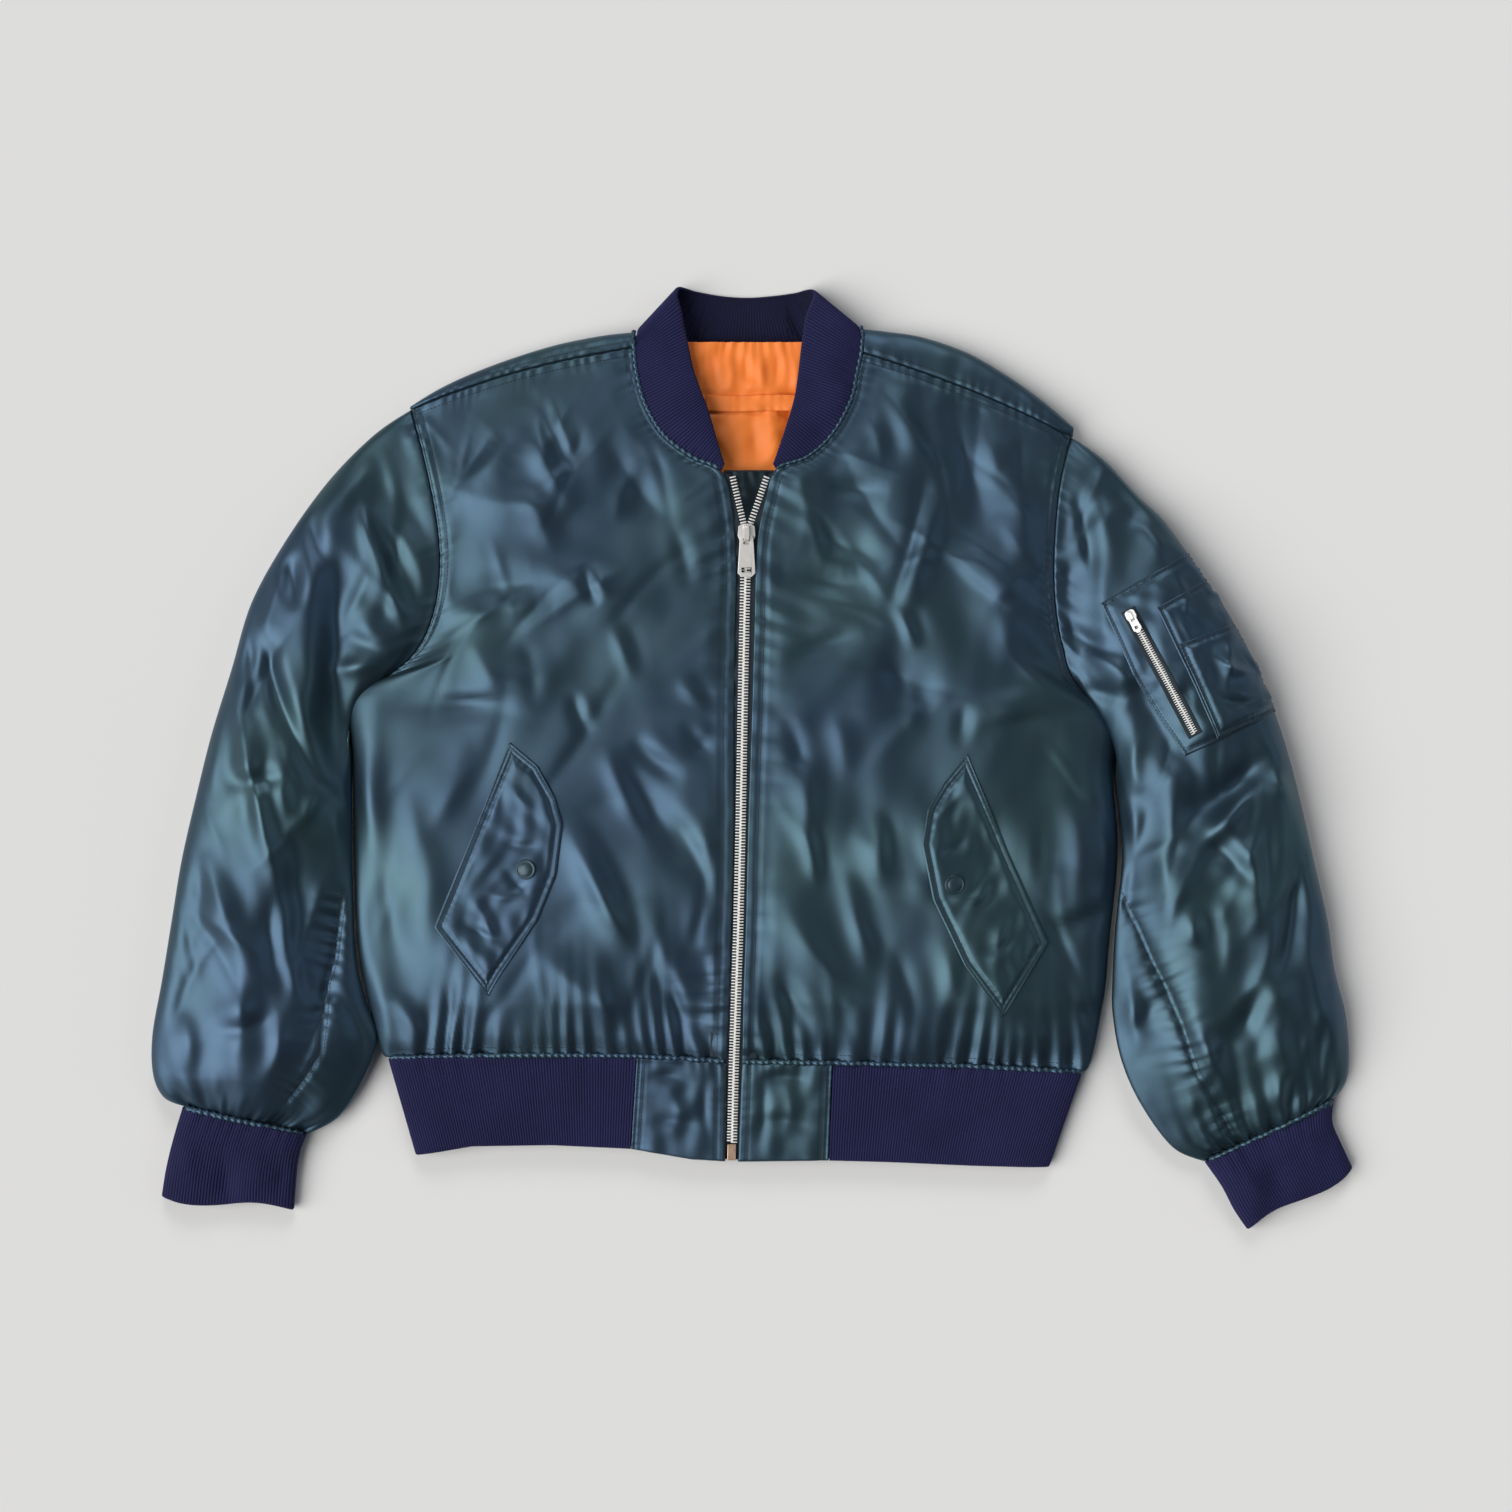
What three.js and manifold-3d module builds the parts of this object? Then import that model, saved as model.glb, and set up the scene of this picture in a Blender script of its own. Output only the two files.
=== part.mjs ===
// Bomber jacket, closed at the front and laid flat on its back, front side up.
// Millimetres. X runs to the wearer's left, Y towards the collar, Z up from the surface.
// The origin is the middle of the footprint, on the surface.
import * as THREE from 'three';
import * as BufferGeometryUtils from 'three/addons/utils/BufferGeometryUtils.js';
import Module from 'manifold-3d';

const manifold = await Module();
manifold.setup();

// Driving sizes
const shellWall = 3;
const ribWall = 3;
const tabWall = 2;
const sheetWall = 1;
const seamGap = 0.3;
const layerGap = 0.35;
const patchWall = 1.2;
const sleeveTapeWall = 0.7;

const sideHeight = 13;
const sideRadius = 26;
const undersideRadius = 14;
const armholeRise = 60;
const shoulderSeamHeight = 23;
const capBlendRows = 3;

const zipEdgeCalm = 20;
const tapeDrop = 3.9;
const tapeUnderShell = 14;
const chainHalfWidth = 4.2;
const chainDepth = 3.2;
const chainBelowShell = 1;
const sliderY = 178.6;
const zipTopY = 227;
const teethMeetY = 187.5;
const hemStopY = -309;
const snapRadius = 8;

// Height of the closed front over the surface, down the length of the jacket
const frontHeights = [
  { y: 345, height: 25 }, { y: 300, height: 30 }, { y: 250, height: 33.5 }, { y: 150, height: 35 },
  { y: 0, height: 36 }, { y: -120, height: 37 }, { y: -195, height: 36 }, { y: -222, height: 31 },
  { y: -244, height: 24 }, { y: -285, height: 20 }, { y: -330, height: 16 },
];

// Waist seam and lower edge of the jacket, across the body
const waistSeam = [
  { x: -294, y: -240 }, { x: -190, y: -237.5 }, { x: -94, y: -238 }, { x: -16, y: -243 },
  { x: 63, y: -244 }, { x: 170, y: -246.5 }, { x: 264, y: -252 },
];
const lowerEdge = [
  { x: -272, y: -319 }, { x: -226, y: -311 }, { x: -162, y: -310 }, { x: -99, y: -313 },
  { x: -50, y: -321.5 }, { x: -18, y: -323.5 }, { x: 60, y: -322.5 }, { x: 104, y: -323.6 },
  { x: 177, y: -326.8 }, { x: 238, y: -328.5 },
];

// Rows of each front, from the shoulder seam down to the waist seam:
// the armhole or side end, and the neck or zip end
const frontRows = {
  right: [
    { sideX: -275, sideY: 280, edgeX: -96, edgeY: 329 }, { sideX: -266, sideY: 249, edgeX: -94, edgeY: 309 },
    { sideX: -258, sideY: 215, edgeX: -87, edgeY: 283 }, { sideX: -252, sideY: 179, edgeX: -72, edgeY: 258 },
    { sideX: -251, sideY: 147, edgeX: -49, edgeY: 240 }, { sideX: -256, sideY: 115, edgeX: -26, edgeY: 229 },
    { sideX: -269, sideY: 87, edgeX: -18, edgeY: 204 }, { sideX: -293, sideY: 66, edgeX: -14, edgeY: 159 },
    { sideX: -325, sideY: 52, edgeX: -15, edgeY: 95 }, { sideX: -322, sideY: -1, edgeX: -16, edgeY: 23 },
    { sideX: -321, sideY: -73, edgeX: -16, edgeY: -57 },
    { sideX: -318, sideY: -149, edgeX: -18, edgeY: -141 },
    { sideX: -307, sideY: -205, edgeX: -20, edgeY: -201 },
    { sideX: -294, sideY: -239, edgeX: -22, edgeY: -243 },
  ],
  left: [
    { sideX: 254, sideY: 258, edgeX: 86, edgeY: 325 }, { sideX: 248, sideY: 237, edgeX: 82, edgeY: 307 },
    { sideX: 243, sideY: 211, edgeX: 77, edgeY: 285 }, { sideX: 240, sideY: 179, edgeX: 62, edgeY: 258 },
    { sideX: 239, sideY: 147, edgeX: 42, edgeY: 240 }, { sideX: 241, sideY: 117, edgeX: 17, edgeY: 230 },
    { sideX: 246, sideY: 91, edgeX: 9, edgeY: 207 }, { sideX: 257, sideY: 61, edgeX: 2, edgeY: 171 },
    { sideX: 290, sideY: 29, edgeX: 0, edgeY: 111 }, { sideX: 288, sideY: -13, edgeX: -2, edgeY: 39 },
    { sideX: 292, sideY: -73, edgeX: -5, edgeY: -49 }, { sideX: 285, sideY: -149, edgeX: -7, edgeY: -133 },
    { sideX: 280, sideY: -197, edgeX: -9, edgeY: -193 }, { sideX: 264, sideY: -251, edgeX: -10, edgeY: -243 },
  ],
};
const lastRow = 13;
const armpitRow = 8;
const neckEndRow = 5;
const shoulderBow = { right: 5.6, left: 4 };

// Height of the armhole seam from the shoulder (part 0) to the armpit (part 1)
const armholeHeights = [
  { part: 0, height: 22 }, { part: 0.15, height: 26 }, { part: 0.4, height: 29 }, { part: 0.65, height: 28 },
  { part: 0.85, height: 23 }, { part: 0.95, height: 17.5 }, { part: 1, height: sideHeight },
];
const armholeRows = [0, 0.4, 1, 1.7, 2.4, 3.1, 3.8, 4.5, 5, 5.6, 6.2, 6.8, 7.3, 7.7, 8];
const sideRows = [8.4, 8.8, 9.3, 9.8, 10.3, 10.8, 11.3, 11.7, 12, 12.25];
const gatheredRows = [12.45, 12.7, 12.88, 13];
const frontColumns = [
  0, 0.008, 0.025, 0.05, 0.085, 0.13, 0.19, 0.26, 0.34, 0.43, 0.52, 0.61, 0.7, 0.79, 0.87, 0.94, 1,
];
const backColumns = [
  0, 0.004, 0.012, 0.024, 0.05, 0.186, 0.358, 0.498, 0.64, 0.832, 0.95, 0.976, 0.988, 0.996, 1,
];

// Folds of the fronts: a line on the plan, its half width, and how deep it sinks (a ridge is negative)
const frontFolds = [
  { fromX: -172, fromY: 300, toX: -135, toY: 225, halfWidth: 13, depth: 4 },
  { fromX: -205, fromY: 262, toX: -232, toY: 215, halfWidth: 18, depth: 4 },
  { fromX: -236, fromY: 128, toX: -150, toY: 140, halfWidth: 15, depth: 4 },
  { fromX: -135, fromY: 156, toX: -120, toY: 112, halfWidth: 9, depth: 3 },
  { fromX: -290, fromY: 40, toX: -190, toY: 44, halfWidth: 12, depth: 3 },
  { fromX: -145, fromY: 55, toX: -100, toY: -70, halfWidth: 12, depth: -3.5 },
  { fromX: -100, fromY: 16, toX: -52, toY: -20, halfWidth: 9, depth: 3.5 },
  { fromX: -148, fromY: -48, toX: -95, toY: -165, halfWidth: 11, depth: -4 },
  { fromX: -70, fromY: -60, toX: -44, toY: -140, halfWidth: 9, depth: 3.5 },
  { fromX: -96, fromY: -150, toX: -50, toY: -215, halfWidth: 10, depth: 4 },
  { fromX: -300, fromY: -60, toX: -282, toY: -175, halfWidth: 14, depth: 3.5 },
  { fromX: 142, fromY: 262, toX: 100, toY: 108, halfWidth: 11, depth: 4.5 },
  { fromX: 150, fromY: 156, toX: 240, toY: 84, halfWidth: 13, depth: 4 },
  { fromX: 108, fromY: 122, toX: 132, toY: 76, halfWidth: 10, depth: -3.5 },
  { fromX: 48, fromY: 214, toX: 108, toY: 212, halfWidth: 13, depth: 3.5 },
  { fromX: 24, fromY: 78, toX: 88, toY: 100, halfWidth: 10, depth: 3 },
  { fromX: 168, fromY: 12, toX: 276, toY: 22, halfWidth: 13, depth: 4.5 },
  { fromX: 44, fromY: -50, toX: 52, toY: -120, halfWidth: 10, depth: -3 },
  { fromX: 70, fromY: -84, toX: 94, toY: -178, halfWidth: 12, depth: -3.5 },
  { fromX: 26, fromY: -165, toX: 52, toY: -218, halfWidth: 10, depth: 3.5 },
  { fromX: 232, fromY: -140, toX: 284, toY: -118, halfWidth: 10, depth: 3.5 },
];

// Gathers of cloth let into a tighter rib: how far apart, how deep and how far they run
const waistGathers = { pitch: 17, depth: 2.6, reach: 34 };
const cuffGathers = { pitch: 15, depth: 3, reach: 46 };

// Sections of each sleeve, from the armhole down to the cuff seam: outer fold, inner fold,
// height over the surface, and how far the section keeps the armhole's curve
const sleeveRows = {
  right: [
    { outerX: -278, outerY: 280.5, innerX: -326, innerY: 51, height: 30, curve: 1 },
    { outerX: -308, outerY: 259, innerX: -326.5, innerY: 40, height: 37, curve: 0.74 },
    { outerX: -342, outerY: 223, innerX: -326.5, innerY: 26, height: 43, curve: 0.45 },
    { outerX: -375, outerY: 175, innerX: -326, innerY: 8, height: 48, curve: 0.2 },
    { outerX: -402, outerY: 125, innerX: -325.5, innerY: -13, height: 50, curve: 0.05 },
    { outerX: -418, outerY: 71, innerX: -325, innerY: -38, height: 51, curve: 0 },
    { outerX: -434, outerY: 19, innerX: -325, innerY: -68, height: 51, curve: 0 },
    { outerX: -447, outerY: -33, innerX: -324.5, innerY: -99, height: 50, curve: 0 },
    { outerX: -458, outerY: -81, innerX: -323, innerY: -131, height: 49, curve: 0 },
    { outerX: -466, outerY: -129, innerX: -319, innerY: -160, height: 48, curve: 0 },
    { outerX: -474, outerY: -177, innerX: -311, innerY: -193, height: 46, curve: 0 },
    { outerX: -482, outerY: -221, innerX: -302, innerY: -225, height: 43, curve: 0 },
    { outerX: -482, outerY: -253, innerX: -314, innerY: -259, height: 37, curve: 0 },
    { outerX: -474, outerY: -272, innerX: -334, innerY: -288, height: 29, curve: 0 },
    { outerX: -459, outerY: -279, innerX: -359, innerY: -302, height: 22, curve: 0 },
  ],
  left: [
    { outerX: 260, outerY: 263, innerX: 294, innerY: 28, height: 30, curve: 1 },
    { outerX: 285, outerY: 243, innerX: 293.5, innerY: 16, height: 37, curve: 0.72 },
    { outerX: 310, outerY: 213, innerX: 292.5, innerY: 2, height: 43, curve: 0.45 },
    { outerX: 330, outerY: 191, innerX: 293.5, innerY: -13, height: 46, curve: 0.25 },
    { outerX: 357, outerY: 151, innerX: 295, innerY: -33, height: 49, curve: 0.1 },
    { outerX: 382, outerY: 111, innerX: 297, innerY: -57, height: 50, curve: 0 },
    { outerX: 406, outerY: 63, innerX: 297.5, innerY: -83, height: 50, curve: 0 },
    { outerX: 424, outerY: 15, innerX: 295, innerY: -109, height: 50, curve: 0 },
    { outerX: 438, outerY: -37, innerX: 291, innerY: -145, height: 49, curve: 0 },
    { outerX: 448, outerY: -81, innerX: 287.5, innerY: -177, height: 48, curve: 0 },
    { outerX: 459, outerY: -129, innerX: 287, innerY: -203, height: 47, curve: 0 },
    { outerX: 465, outerY: -169, innerX: 294, innerY: -241, height: 45, curve: 0 },
    { outerX: 475, outerY: -209, innerX: 310, innerY: -277, height: 40, curve: 0 },
    { outerX: 477, outerY: -253, innerX: 336, innerY: -312, height: 30, curve: 0 },
    { outerX: 467, outerY: -273, innerX: 362, innerY: -324, height: 22, curve: 0 },
  ],
};
const lastSleeveRow = 14;
const sleeveStations = [0, 0.5, 1, 1.6, 2.3, 3, 4, 5, 6, 7, 8, 9, 10, 11, 11.8, 12.5, 13.2, 13.6, 14];
const sleeveOuterRadius = 34;
const sleeveInnerRadius = 44;
const sleeveEdgeShare = 0.38;

// Folds of the sleeves, as on the fronts
const sleeveFolds = [
  { fromX: -330, fromY: 186, toX: -336, toY: -10, halfWidth: 17, depth: 11 },
  { fromX: -316, fromY: 205, toX: -274, toY: 108, halfWidth: 9, depth: -4.5 },
  { fromX: -392, fromY: 112, toX: -336, toY: -48, halfWidth: 8, depth: 5 },
  { fromX: -414, fromY: 72, toX: -362, toY: -165, halfWidth: 10, depth: -4 },
  { fromX: -420, fromY: -22, toX: -360, toY: -10, halfWidth: 9, depth: 4 },
  { fromX: -438, fromY: -74, toX: -392, toY: -188, halfWidth: 11, depth: -3.5 },
  { fromX: -370, fromY: 170, toX: -360, toY: 112, halfWidth: 9, depth: 4.5 },
  { fromX: -434, fromY: -214, toX: -376, toY: -204, halfWidth: 10, depth: 4 },
  { fromX: -330, fromY: -110, toX: -370, toY: -265, halfWidth: 8, depth: 5 },
  { fromX: 258, fromY: 214, toX: 276, toY: 128, halfWidth: 9, depth: 5 },
  { fromX: 300, fromY: 60, toX: 334, toY: -30, halfWidth: 14, depth: 9 },
  { fromX: 412, fromY: 0, toX: 330, toY: -48, halfWidth: 12, depth: 9 },
  { fromX: 402, fromY: -28, toX: 346, toY: -78, halfWidth: 9, depth: -4 },
  { fromX: 354, fromY: -58, toX: 400, toY: -108, halfWidth: 8, depth: 3.5 },
  { fromX: 428, fromY: -36, toX: 414, toY: -182, halfWidth: 9, depth: 4.5 },
  { fromX: 400, fromY: -180, toX: 372, toY: -232, halfWidth: 9, depth: 4 },
  { fromX: 296, fromY: -108, toX: 378, toY: -292, halfWidth: 7, depth: 5 },
];

// Silhouette of the back over each shoulder, from the neck to the sleeve.
// The back rolls over it and comes forward to the shoulder seam.
const shoulderWraps = {
  right: [
    { x: -97, y: 341 }, { x: -123, y: 338 }, { x: -158, y: 331 }, { x: -194, y: 320 }, { x: -227, y: 307.5 },
    { x: -252, y: 295.5 }, { x: -275, y: 283 },
  ],
  left: [
    { x: 88, y: 343.5 }, { x: 106, y: 341.5 }, { x: 135, y: 337 }, { x: 170, y: 325 }, { x: 200, y: 308 },
    { x: 230, y: 287 }, { x: 255.5, y: 265 },
  ],
};
const wrapRound = [
  { inward: 34, height: 0 }, { inward: 12, height: 0 }, { inward: 4.5, height: 2.5 },
  { inward: 0.8, height: 7.5 }, { inward: 0, height: 13 },
];

// Collar: free edge on each front from the zip to the fold, and the lines round the back of the neck
const collarFree = {
  right: [
    { x: -23.5, y: 234 }, { x: -31, y: 261 }, { x: -38, y: 283 }, { x: -46, y: 304 }, { x: -52, y: 329 },
    { x: -57, y: 355 },
  ],
  left: [
    { x: 15, y: 234 }, { x: 23, y: 258 }, { x: 30, y: 280 }, { x: 34, y: 299 }, { x: 37, y: 325 },
    { x: 41, y: 353 },
  ],
};
const collarBack = [
  { seamX: -95, seamY: 337, freeX: -61.5, freeY: 372, height: 22 },
  { seamX: -93, seamY: 344.5, freeX: -61, freeY: 379, height: 14 },
  { seamX: -86, seamY: 342, freeX: -55, freeY: 379, height: 5 },
  { seamX: -72, seamY: 336, freeX: -46, freeY: 376.5, height: 0 },
  { seamX: -40, seamY: 331.6, freeX: -27, freeY: 373, height: 0 },
  { seamX: -7, seamY: 330.6, freeX: -6, freeY: 371.5, height: 0 },
  { seamX: 28, seamY: 331.8, freeX: 16, freeY: 373, height: 0 },
  { seamX: 60, seamY: 337, freeX: 33, freeY: 375.5, height: 0 },
  { seamX: 74, seamY: 343.5, freeX: 41, freeY: 377.5, height: 5 },
  { seamX: 82.5, seamY: 347, freeX: 47, freeY: 377, height: 14 },
  { seamX: 86, seamY: 341, freeX: 48, freeY: 371, height: 23 },
];
const collarParts = [0, 0.33, 0.67, 1];

// Cuffs: right or left fold ends from the seam to the edge, and the height there
const cuffRows = {
  right: [
    { outerX: -459.3, outerY: -279.5, innerX: -359.4, innerY: -302.4, height: 22 },
    { outerX: -467, outerY: -305, innerX: -365, innerY: -317, height: 21 },
    { outerX: -473, outerY: -329, innerX: -368, innerY: -337, height: 19 },
    { outerX: -477, outerY: -352, innerX: -370, innerY: -363, height: 16 },
  ],
  left: [
    { outerX: 466, outerY: -273.9, innerX: 362.3, innerY: -324.4, height: 22 },
    { outerX: 465, outerY: -291, innerX: 376, innerY: -344, height: 21 },
    { outerX: 472, outerY: -308, innerX: 386, innerY: -363, height: 19 },
    { outerX: 482, outerY: -329, innerX: 397, innerY: -379, height: 16 },
  ],
};
const cuffFolds = [
  { fromX: -424, fromY: -318, toX: -420, toY: -362, halfWidth: 13, depth: 6 },
  { fromX: -372, fromY: -330, toX: -380, toY: -350, halfWidth: 9, depth: 3 },
  { fromX: 404, fromY: -318, toX: 430, toY: -356, halfWidth: 12, depth: 4 },
];

// Outlines that lie on the panels, on the plan
const flapOutlines = {
  right: [
    { x: -194, y: 12 }, { x: -172, y: -6 }, { x: -158, y: -31 }, { x: -152, y: -53 }, { x: -157, y: -92 },
    { x: -172, y: -129 }, { x: -201, y: -171 }, { x: -211, y: -188 }, { x: -254, y: -134 },
  ],
  left: [
    { x: 169, y: 3 }, { x: 150, y: -20 }, { x: 138, y: -40 }, { x: 133, y: -68 }, { x: 142, y: -112 },
    { x: 167, y: -164 }, { x: 198, y: -205 }, { x: 234, y: -147 },
  ],
};
const snapPlaces = { right: { x: -181, y: -88 }, left: { x: 159, y: -100 } };
const sleevePocketOutline = [
  { x: 275, y: 123 }, { x: 349, y: 166 }, { x: 378, y: 148 }, { x: 430, y: 52 }, { x: 416, y: 37 },
  { x: 341, y: 2 }, { x: 322, y: 30 }, { x: 300, y: 66 },
];
const penBaseOutline = [
  { x: 318, y: 119 }, { x: 366, y: 146 }, { x: 384, y: 140 }, { x: 431, y: 52 }, { x: 415, y: 38 },
  { x: 366, y: 15 }, { x: 345, y: 62 },
];
const penPocketOutline = [
  { x: 335, y: 90 }, { x: 389, y: 110 }, { x: 404, y: 96 },
  { x: 431, y: 51 }, { x: 415, y: 37 }, { x: 367, y: 17 },
];
const sleeveZip = { topX: 295, topY: 119, bottomX: 348, bottomY: 19, chainWidth: 5.8, tapeWidth: 12 };

// Sheets seen through the neck: each row from its right end to its left end
const liningRows = [
  { y: 328, rightX: -70, leftX: 58 }, { y: 290, rightX: -72, leftX: 62 }, { y: 240, rightX: -66, leftX: 58 },
  { y: 172, rightX: -52, leftX: 44 },
];
const hangerStrip = { rightX: -38, leftX: 33, topY: 291, bottomY: 279, height: 4.8 };
const windFlapRows = [
  { y: 230, rightX: -24, leftX: 16 }, { y: 205, rightX: -27, leftX: 18 }, { y: 158, rightX: -27, leftX: 14 },
];

// Slider and pull tab, drawn once at the size of the front zip
const sliderSize = { width: 14, length: 16, plate: 1.8, archWidth: 4, archRise: 5, archWall: 1.6 };
const pullSize = {
  topWidth: 10.7, endWidth: 14, length: 26, plate: 1.6, window: 5.2, bar: 1.6, reach: 5.8,
  slotWidth: 8, slotLength: 4,
};
const sleeveZipScale = 0.6;

// Colours of the cloth and the metal
const colours = {
  shell: 0x25424a, rib: 0x262152, lining: 0xf07a1c, dark: 0x1c2a30, metal: 0xc9cacb, snap: 0x16303c,
  tape: 0x10242c,
};

// Plain number helpers
const mix = (a, b, part) => a + (b - a) * part;
const clamp01 = (value) => Math.min(1, Math.max(0, value));
const smooth = (value) => {
  const part = clamp01(value);
  return part * part * (3 - 2 * part);
};

// A rounded fold: upright at its edge and level at its radius
function roll(distance, radius) {
  const part = clamp01(distance / radius);
  return Math.sqrt(1 - (1 - part) ** 2);
}

// Value of one column of a table, eased between the rows that lie either side of a key
function lookUp(table, keyName, valueName, key) {
  const rising = table[0][keyName] < table[table.length - 1][keyName];
  const rows = rising ? table : [...table].reverse();
  if (key <= rows[0][keyName]) return rows[0][valueName];
  for (let i = 1; i < rows.length; i += 1) {
    const low = rows[i - 1];
    const high = rows[i];
    if (key <= high[keyName]) {
      const part = (key - low[keyName]) / (high[keyName] - low[keyName]);
      return mix(low[valueName], high[valueName], part);
    }
  }
  return rows[rows.length - 1][valueName];
}

// A smooth curve through the places of a table
function curveThrough(table, xName, yName) {
  return new THREE.SplineCurve(table.map((row) => new THREE.Vector2(row[xName], row[yName])));
}

// How far the folds of a table sink the cloth at a place on the plan
function foldDepth(folds, x, y) {
  let sink = 0;
  for (const fold of folds) {
    const runX = fold.toX - fold.fromX;
    const runY = fold.toY - fold.fromY;
    const along = ((x - fold.fromX) * runX + (y - fold.fromY) * runY) / (runX ** 2 + runY ** 2);
    const part = clamp01(along);
    const offX = x - (fold.fromX + runX * part);
    const offY = y - (fold.fromY + runY * part);
    const across = (offX ** 2 + offY ** 2) / fold.halfWidth ** 2;
    const ends = 0.35 + 0.65 * Math.sin(Math.PI * part);
    sink += fold.depth * ends * Math.exp(-across);
  }
  return sink;
}

// Uneven gathers along a seam, strongest at the seam itself
function gatherDepth(gathers, along, away) {
  if (away > gathers.reach) return 0;
  const drift = 0.9 * Math.sin(along / 31) + 0.5 * Math.sin(along / 13 + 1);
  const phase = (2 * Math.PI * along) / gathers.pitch + drift;
  const fade = 1 - smooth(away / gathers.reach);
  return gathers.depth * fade * (0.5 - 0.5 * Math.cos(phase));
}

// Moves the points of a section inward by the wall, in the section's own upright plane.
// A section is a list of { along, z }. Facing 1 means its outside is on the left of its run.
function insetSection(points, wall, closed, facing, startNormal, endNormal) {
  const count = points.length;
  const edgeNormal = (from, to) => {
    const run = to.along - from.along;
    const rise = to.z - from.z;
    const length = Math.hypot(run, rise) || 1;
    return { along: (-rise / length) * facing, z: (run / length) * facing };
  };
  return points.map((point, i) => {
    let before = points[(i - 1 + count) % count];
    let after = points[(i + 1) % count];
    if (!closed && i === 0) before = null;
    if (!closed && i === count - 1) after = null;
    const a = before ? edgeNormal(before, point) : edgeNormal(point, after);
    const b = after ? edgeNormal(point, after) : edgeNormal(before, point);
    let normal = { along: a.along + b.along, z: a.z + b.z };
    const length = Math.hypot(normal.along, normal.z) || 1;
    const stretch = 1 / Math.max(0.75, length / 2);
    normal = { along: (normal.along / length) * stretch, z: (normal.z / length) * stretch };
    if (!before && startNormal) normal = startNormal;
    if (!after && endNormal) normal = endNormal;
    return { along: point.along - normal.along * wall, z: point.z - normal.z * wall, normal };
  });
}

// One row of a wall: its outer points, its inner points and its keys for joining it to the next row.
// The profile is a list of { part, z, key }; place(part) gives the plan point at that part of the row.
function wallRow(place, profile, options) {
  const { wall, closed = false, facing = 1, startNormal = null, endNormal = null } = options;
  const step = 0.002;
  const speed = (part) => {
    const low = place(part - step);
    const high = place(part + step);
    return Math.hypot(high.x - low.x, high.y - low.y) / (2 * step);
  };
  const whole = speed(0.5);
  const flat = profile.map((point) => ({ along: point.part * whole, z: point.z }));
  const inset = insetSection(flat, wall, closed, facing, startNormal, endNormal);
  const row = { outer: [], inner: [], keys: [], normals: [], closed };
  profile.forEach((point, i) => {
    const here = place(point.part);
    const shift = inset[i].along - flat[i].along;
    const moved = place(point.part + shift / speed(point.part));
    const ahead = place(point.part + step);
    const run = Math.hypot(ahead.x - here.x, ahead.y - here.y) || 1;
    row.outer.push(new THREE.Vector3(here.x, here.y, point.z));
    row.inner.push(new THREE.Vector3(moved.x, moved.y, inset[i].z));
    row.normals.push(new THREE.Vector3(
      (inset[i].normal.along * (ahead.x - here.x)) / run,
      (inset[i].normal.along * (ahead.y - here.y)) / run,
      inset[i].normal.z,
    ));
    row.keys.push(point.key);
  });
  return row;
}

// Triangles between two rows of points that may differ in number, matched by their keys
function joinRows(first, second, firstStart, secondStart, addTriangle) {
  const wrap = (row, i) => i % row.keys.length;
  const key = (row, i) => (i < row.keys.length ? row.keys[i] : 1);
  const ends = [first, second].map((row) => (row.closed ? row.keys.length : row.keys.length - 1));
  let i = 0;
  let j = 0;
  while (i < ends[0] || j < ends[1]) {
    const firstNext = i < ends[0] ? key(first, i + 1) : Infinity;
    const secondNext = j < ends[1] ? key(second, j + 1) : Infinity;
    const a = firstStart + wrap(first, i);
    const b = secondStart + wrap(second, j);
    if (firstNext <= secondNext) {
      addTriangle(a, b, firstStart + wrap(first, i + 1));
      i += 1;
    } else {
      addTriangle(a, b, secondStart + wrap(second, j + 1));
      j += 1;
    }
  }
}

// Closed solid between two skins given row by row, with rims all round
function solidBetween(rows, outerName, innerName) {
  const points = [];
  const triangles = [];
  const addSkin = (name) => rows.map((row) => {
    const start = points.length;
    points.push(...row[name]);
    return start;
  });
  const outerStarts = addSkin(outerName);
  const innerStarts = addSkin(innerName);
  const add = (a, b, c) => triangles.push([a, b, c]);
  const addTurned = (a, b, c) => triangles.push([a, c, b]);
  const addQuad = (a, b, c, d) => {
    add(a, b, c);
    add(a, c, d);
  };
  for (let r = 1; r < rows.length; r += 1) {
    joinRows(rows[r - 1], rows[r], outerStarts[r - 1], outerStarts[r], add);
    joinRows(rows[r - 1], rows[r], innerStarts[r - 1], innerStarts[r], addTurned);
    if (!rows[r].closed) {
      const lastBefore = rows[r - 1].keys.length - 1;
      const lastHere = rows[r].keys.length - 1;
      addQuad(outerStarts[r - 1], innerStarts[r - 1], innerStarts[r], outerStarts[r]);
      addQuad(
        innerStarts[r - 1] + lastBefore, outerStarts[r - 1] + lastBefore,
        outerStarts[r] + lastHere, innerStarts[r] + lastHere,
      );
    }
  }
  const addRim = (row, outerStart, innerStart, turned) => {
    const count = row.keys.length;
    const steps = row.closed ? count : count - 1;
    for (let i = 0; i < steps; i += 1) {
      const next = (i + 1) % count;
      if (turned) addQuad(outerStart + next, outerStart + i, innerStart + i, innerStart + next);
      else addQuad(outerStart + i, outerStart + next, innerStart + next, innerStart + i);
    }
  };
  const end = rows.length - 1;
  addRim(rows[0], outerStarts[0], innerStarts[0], false);
  addRim(rows[end], outerStarts[end], innerStarts[end], true);
  return solidFromTriangles(points, triangles);
}

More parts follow.
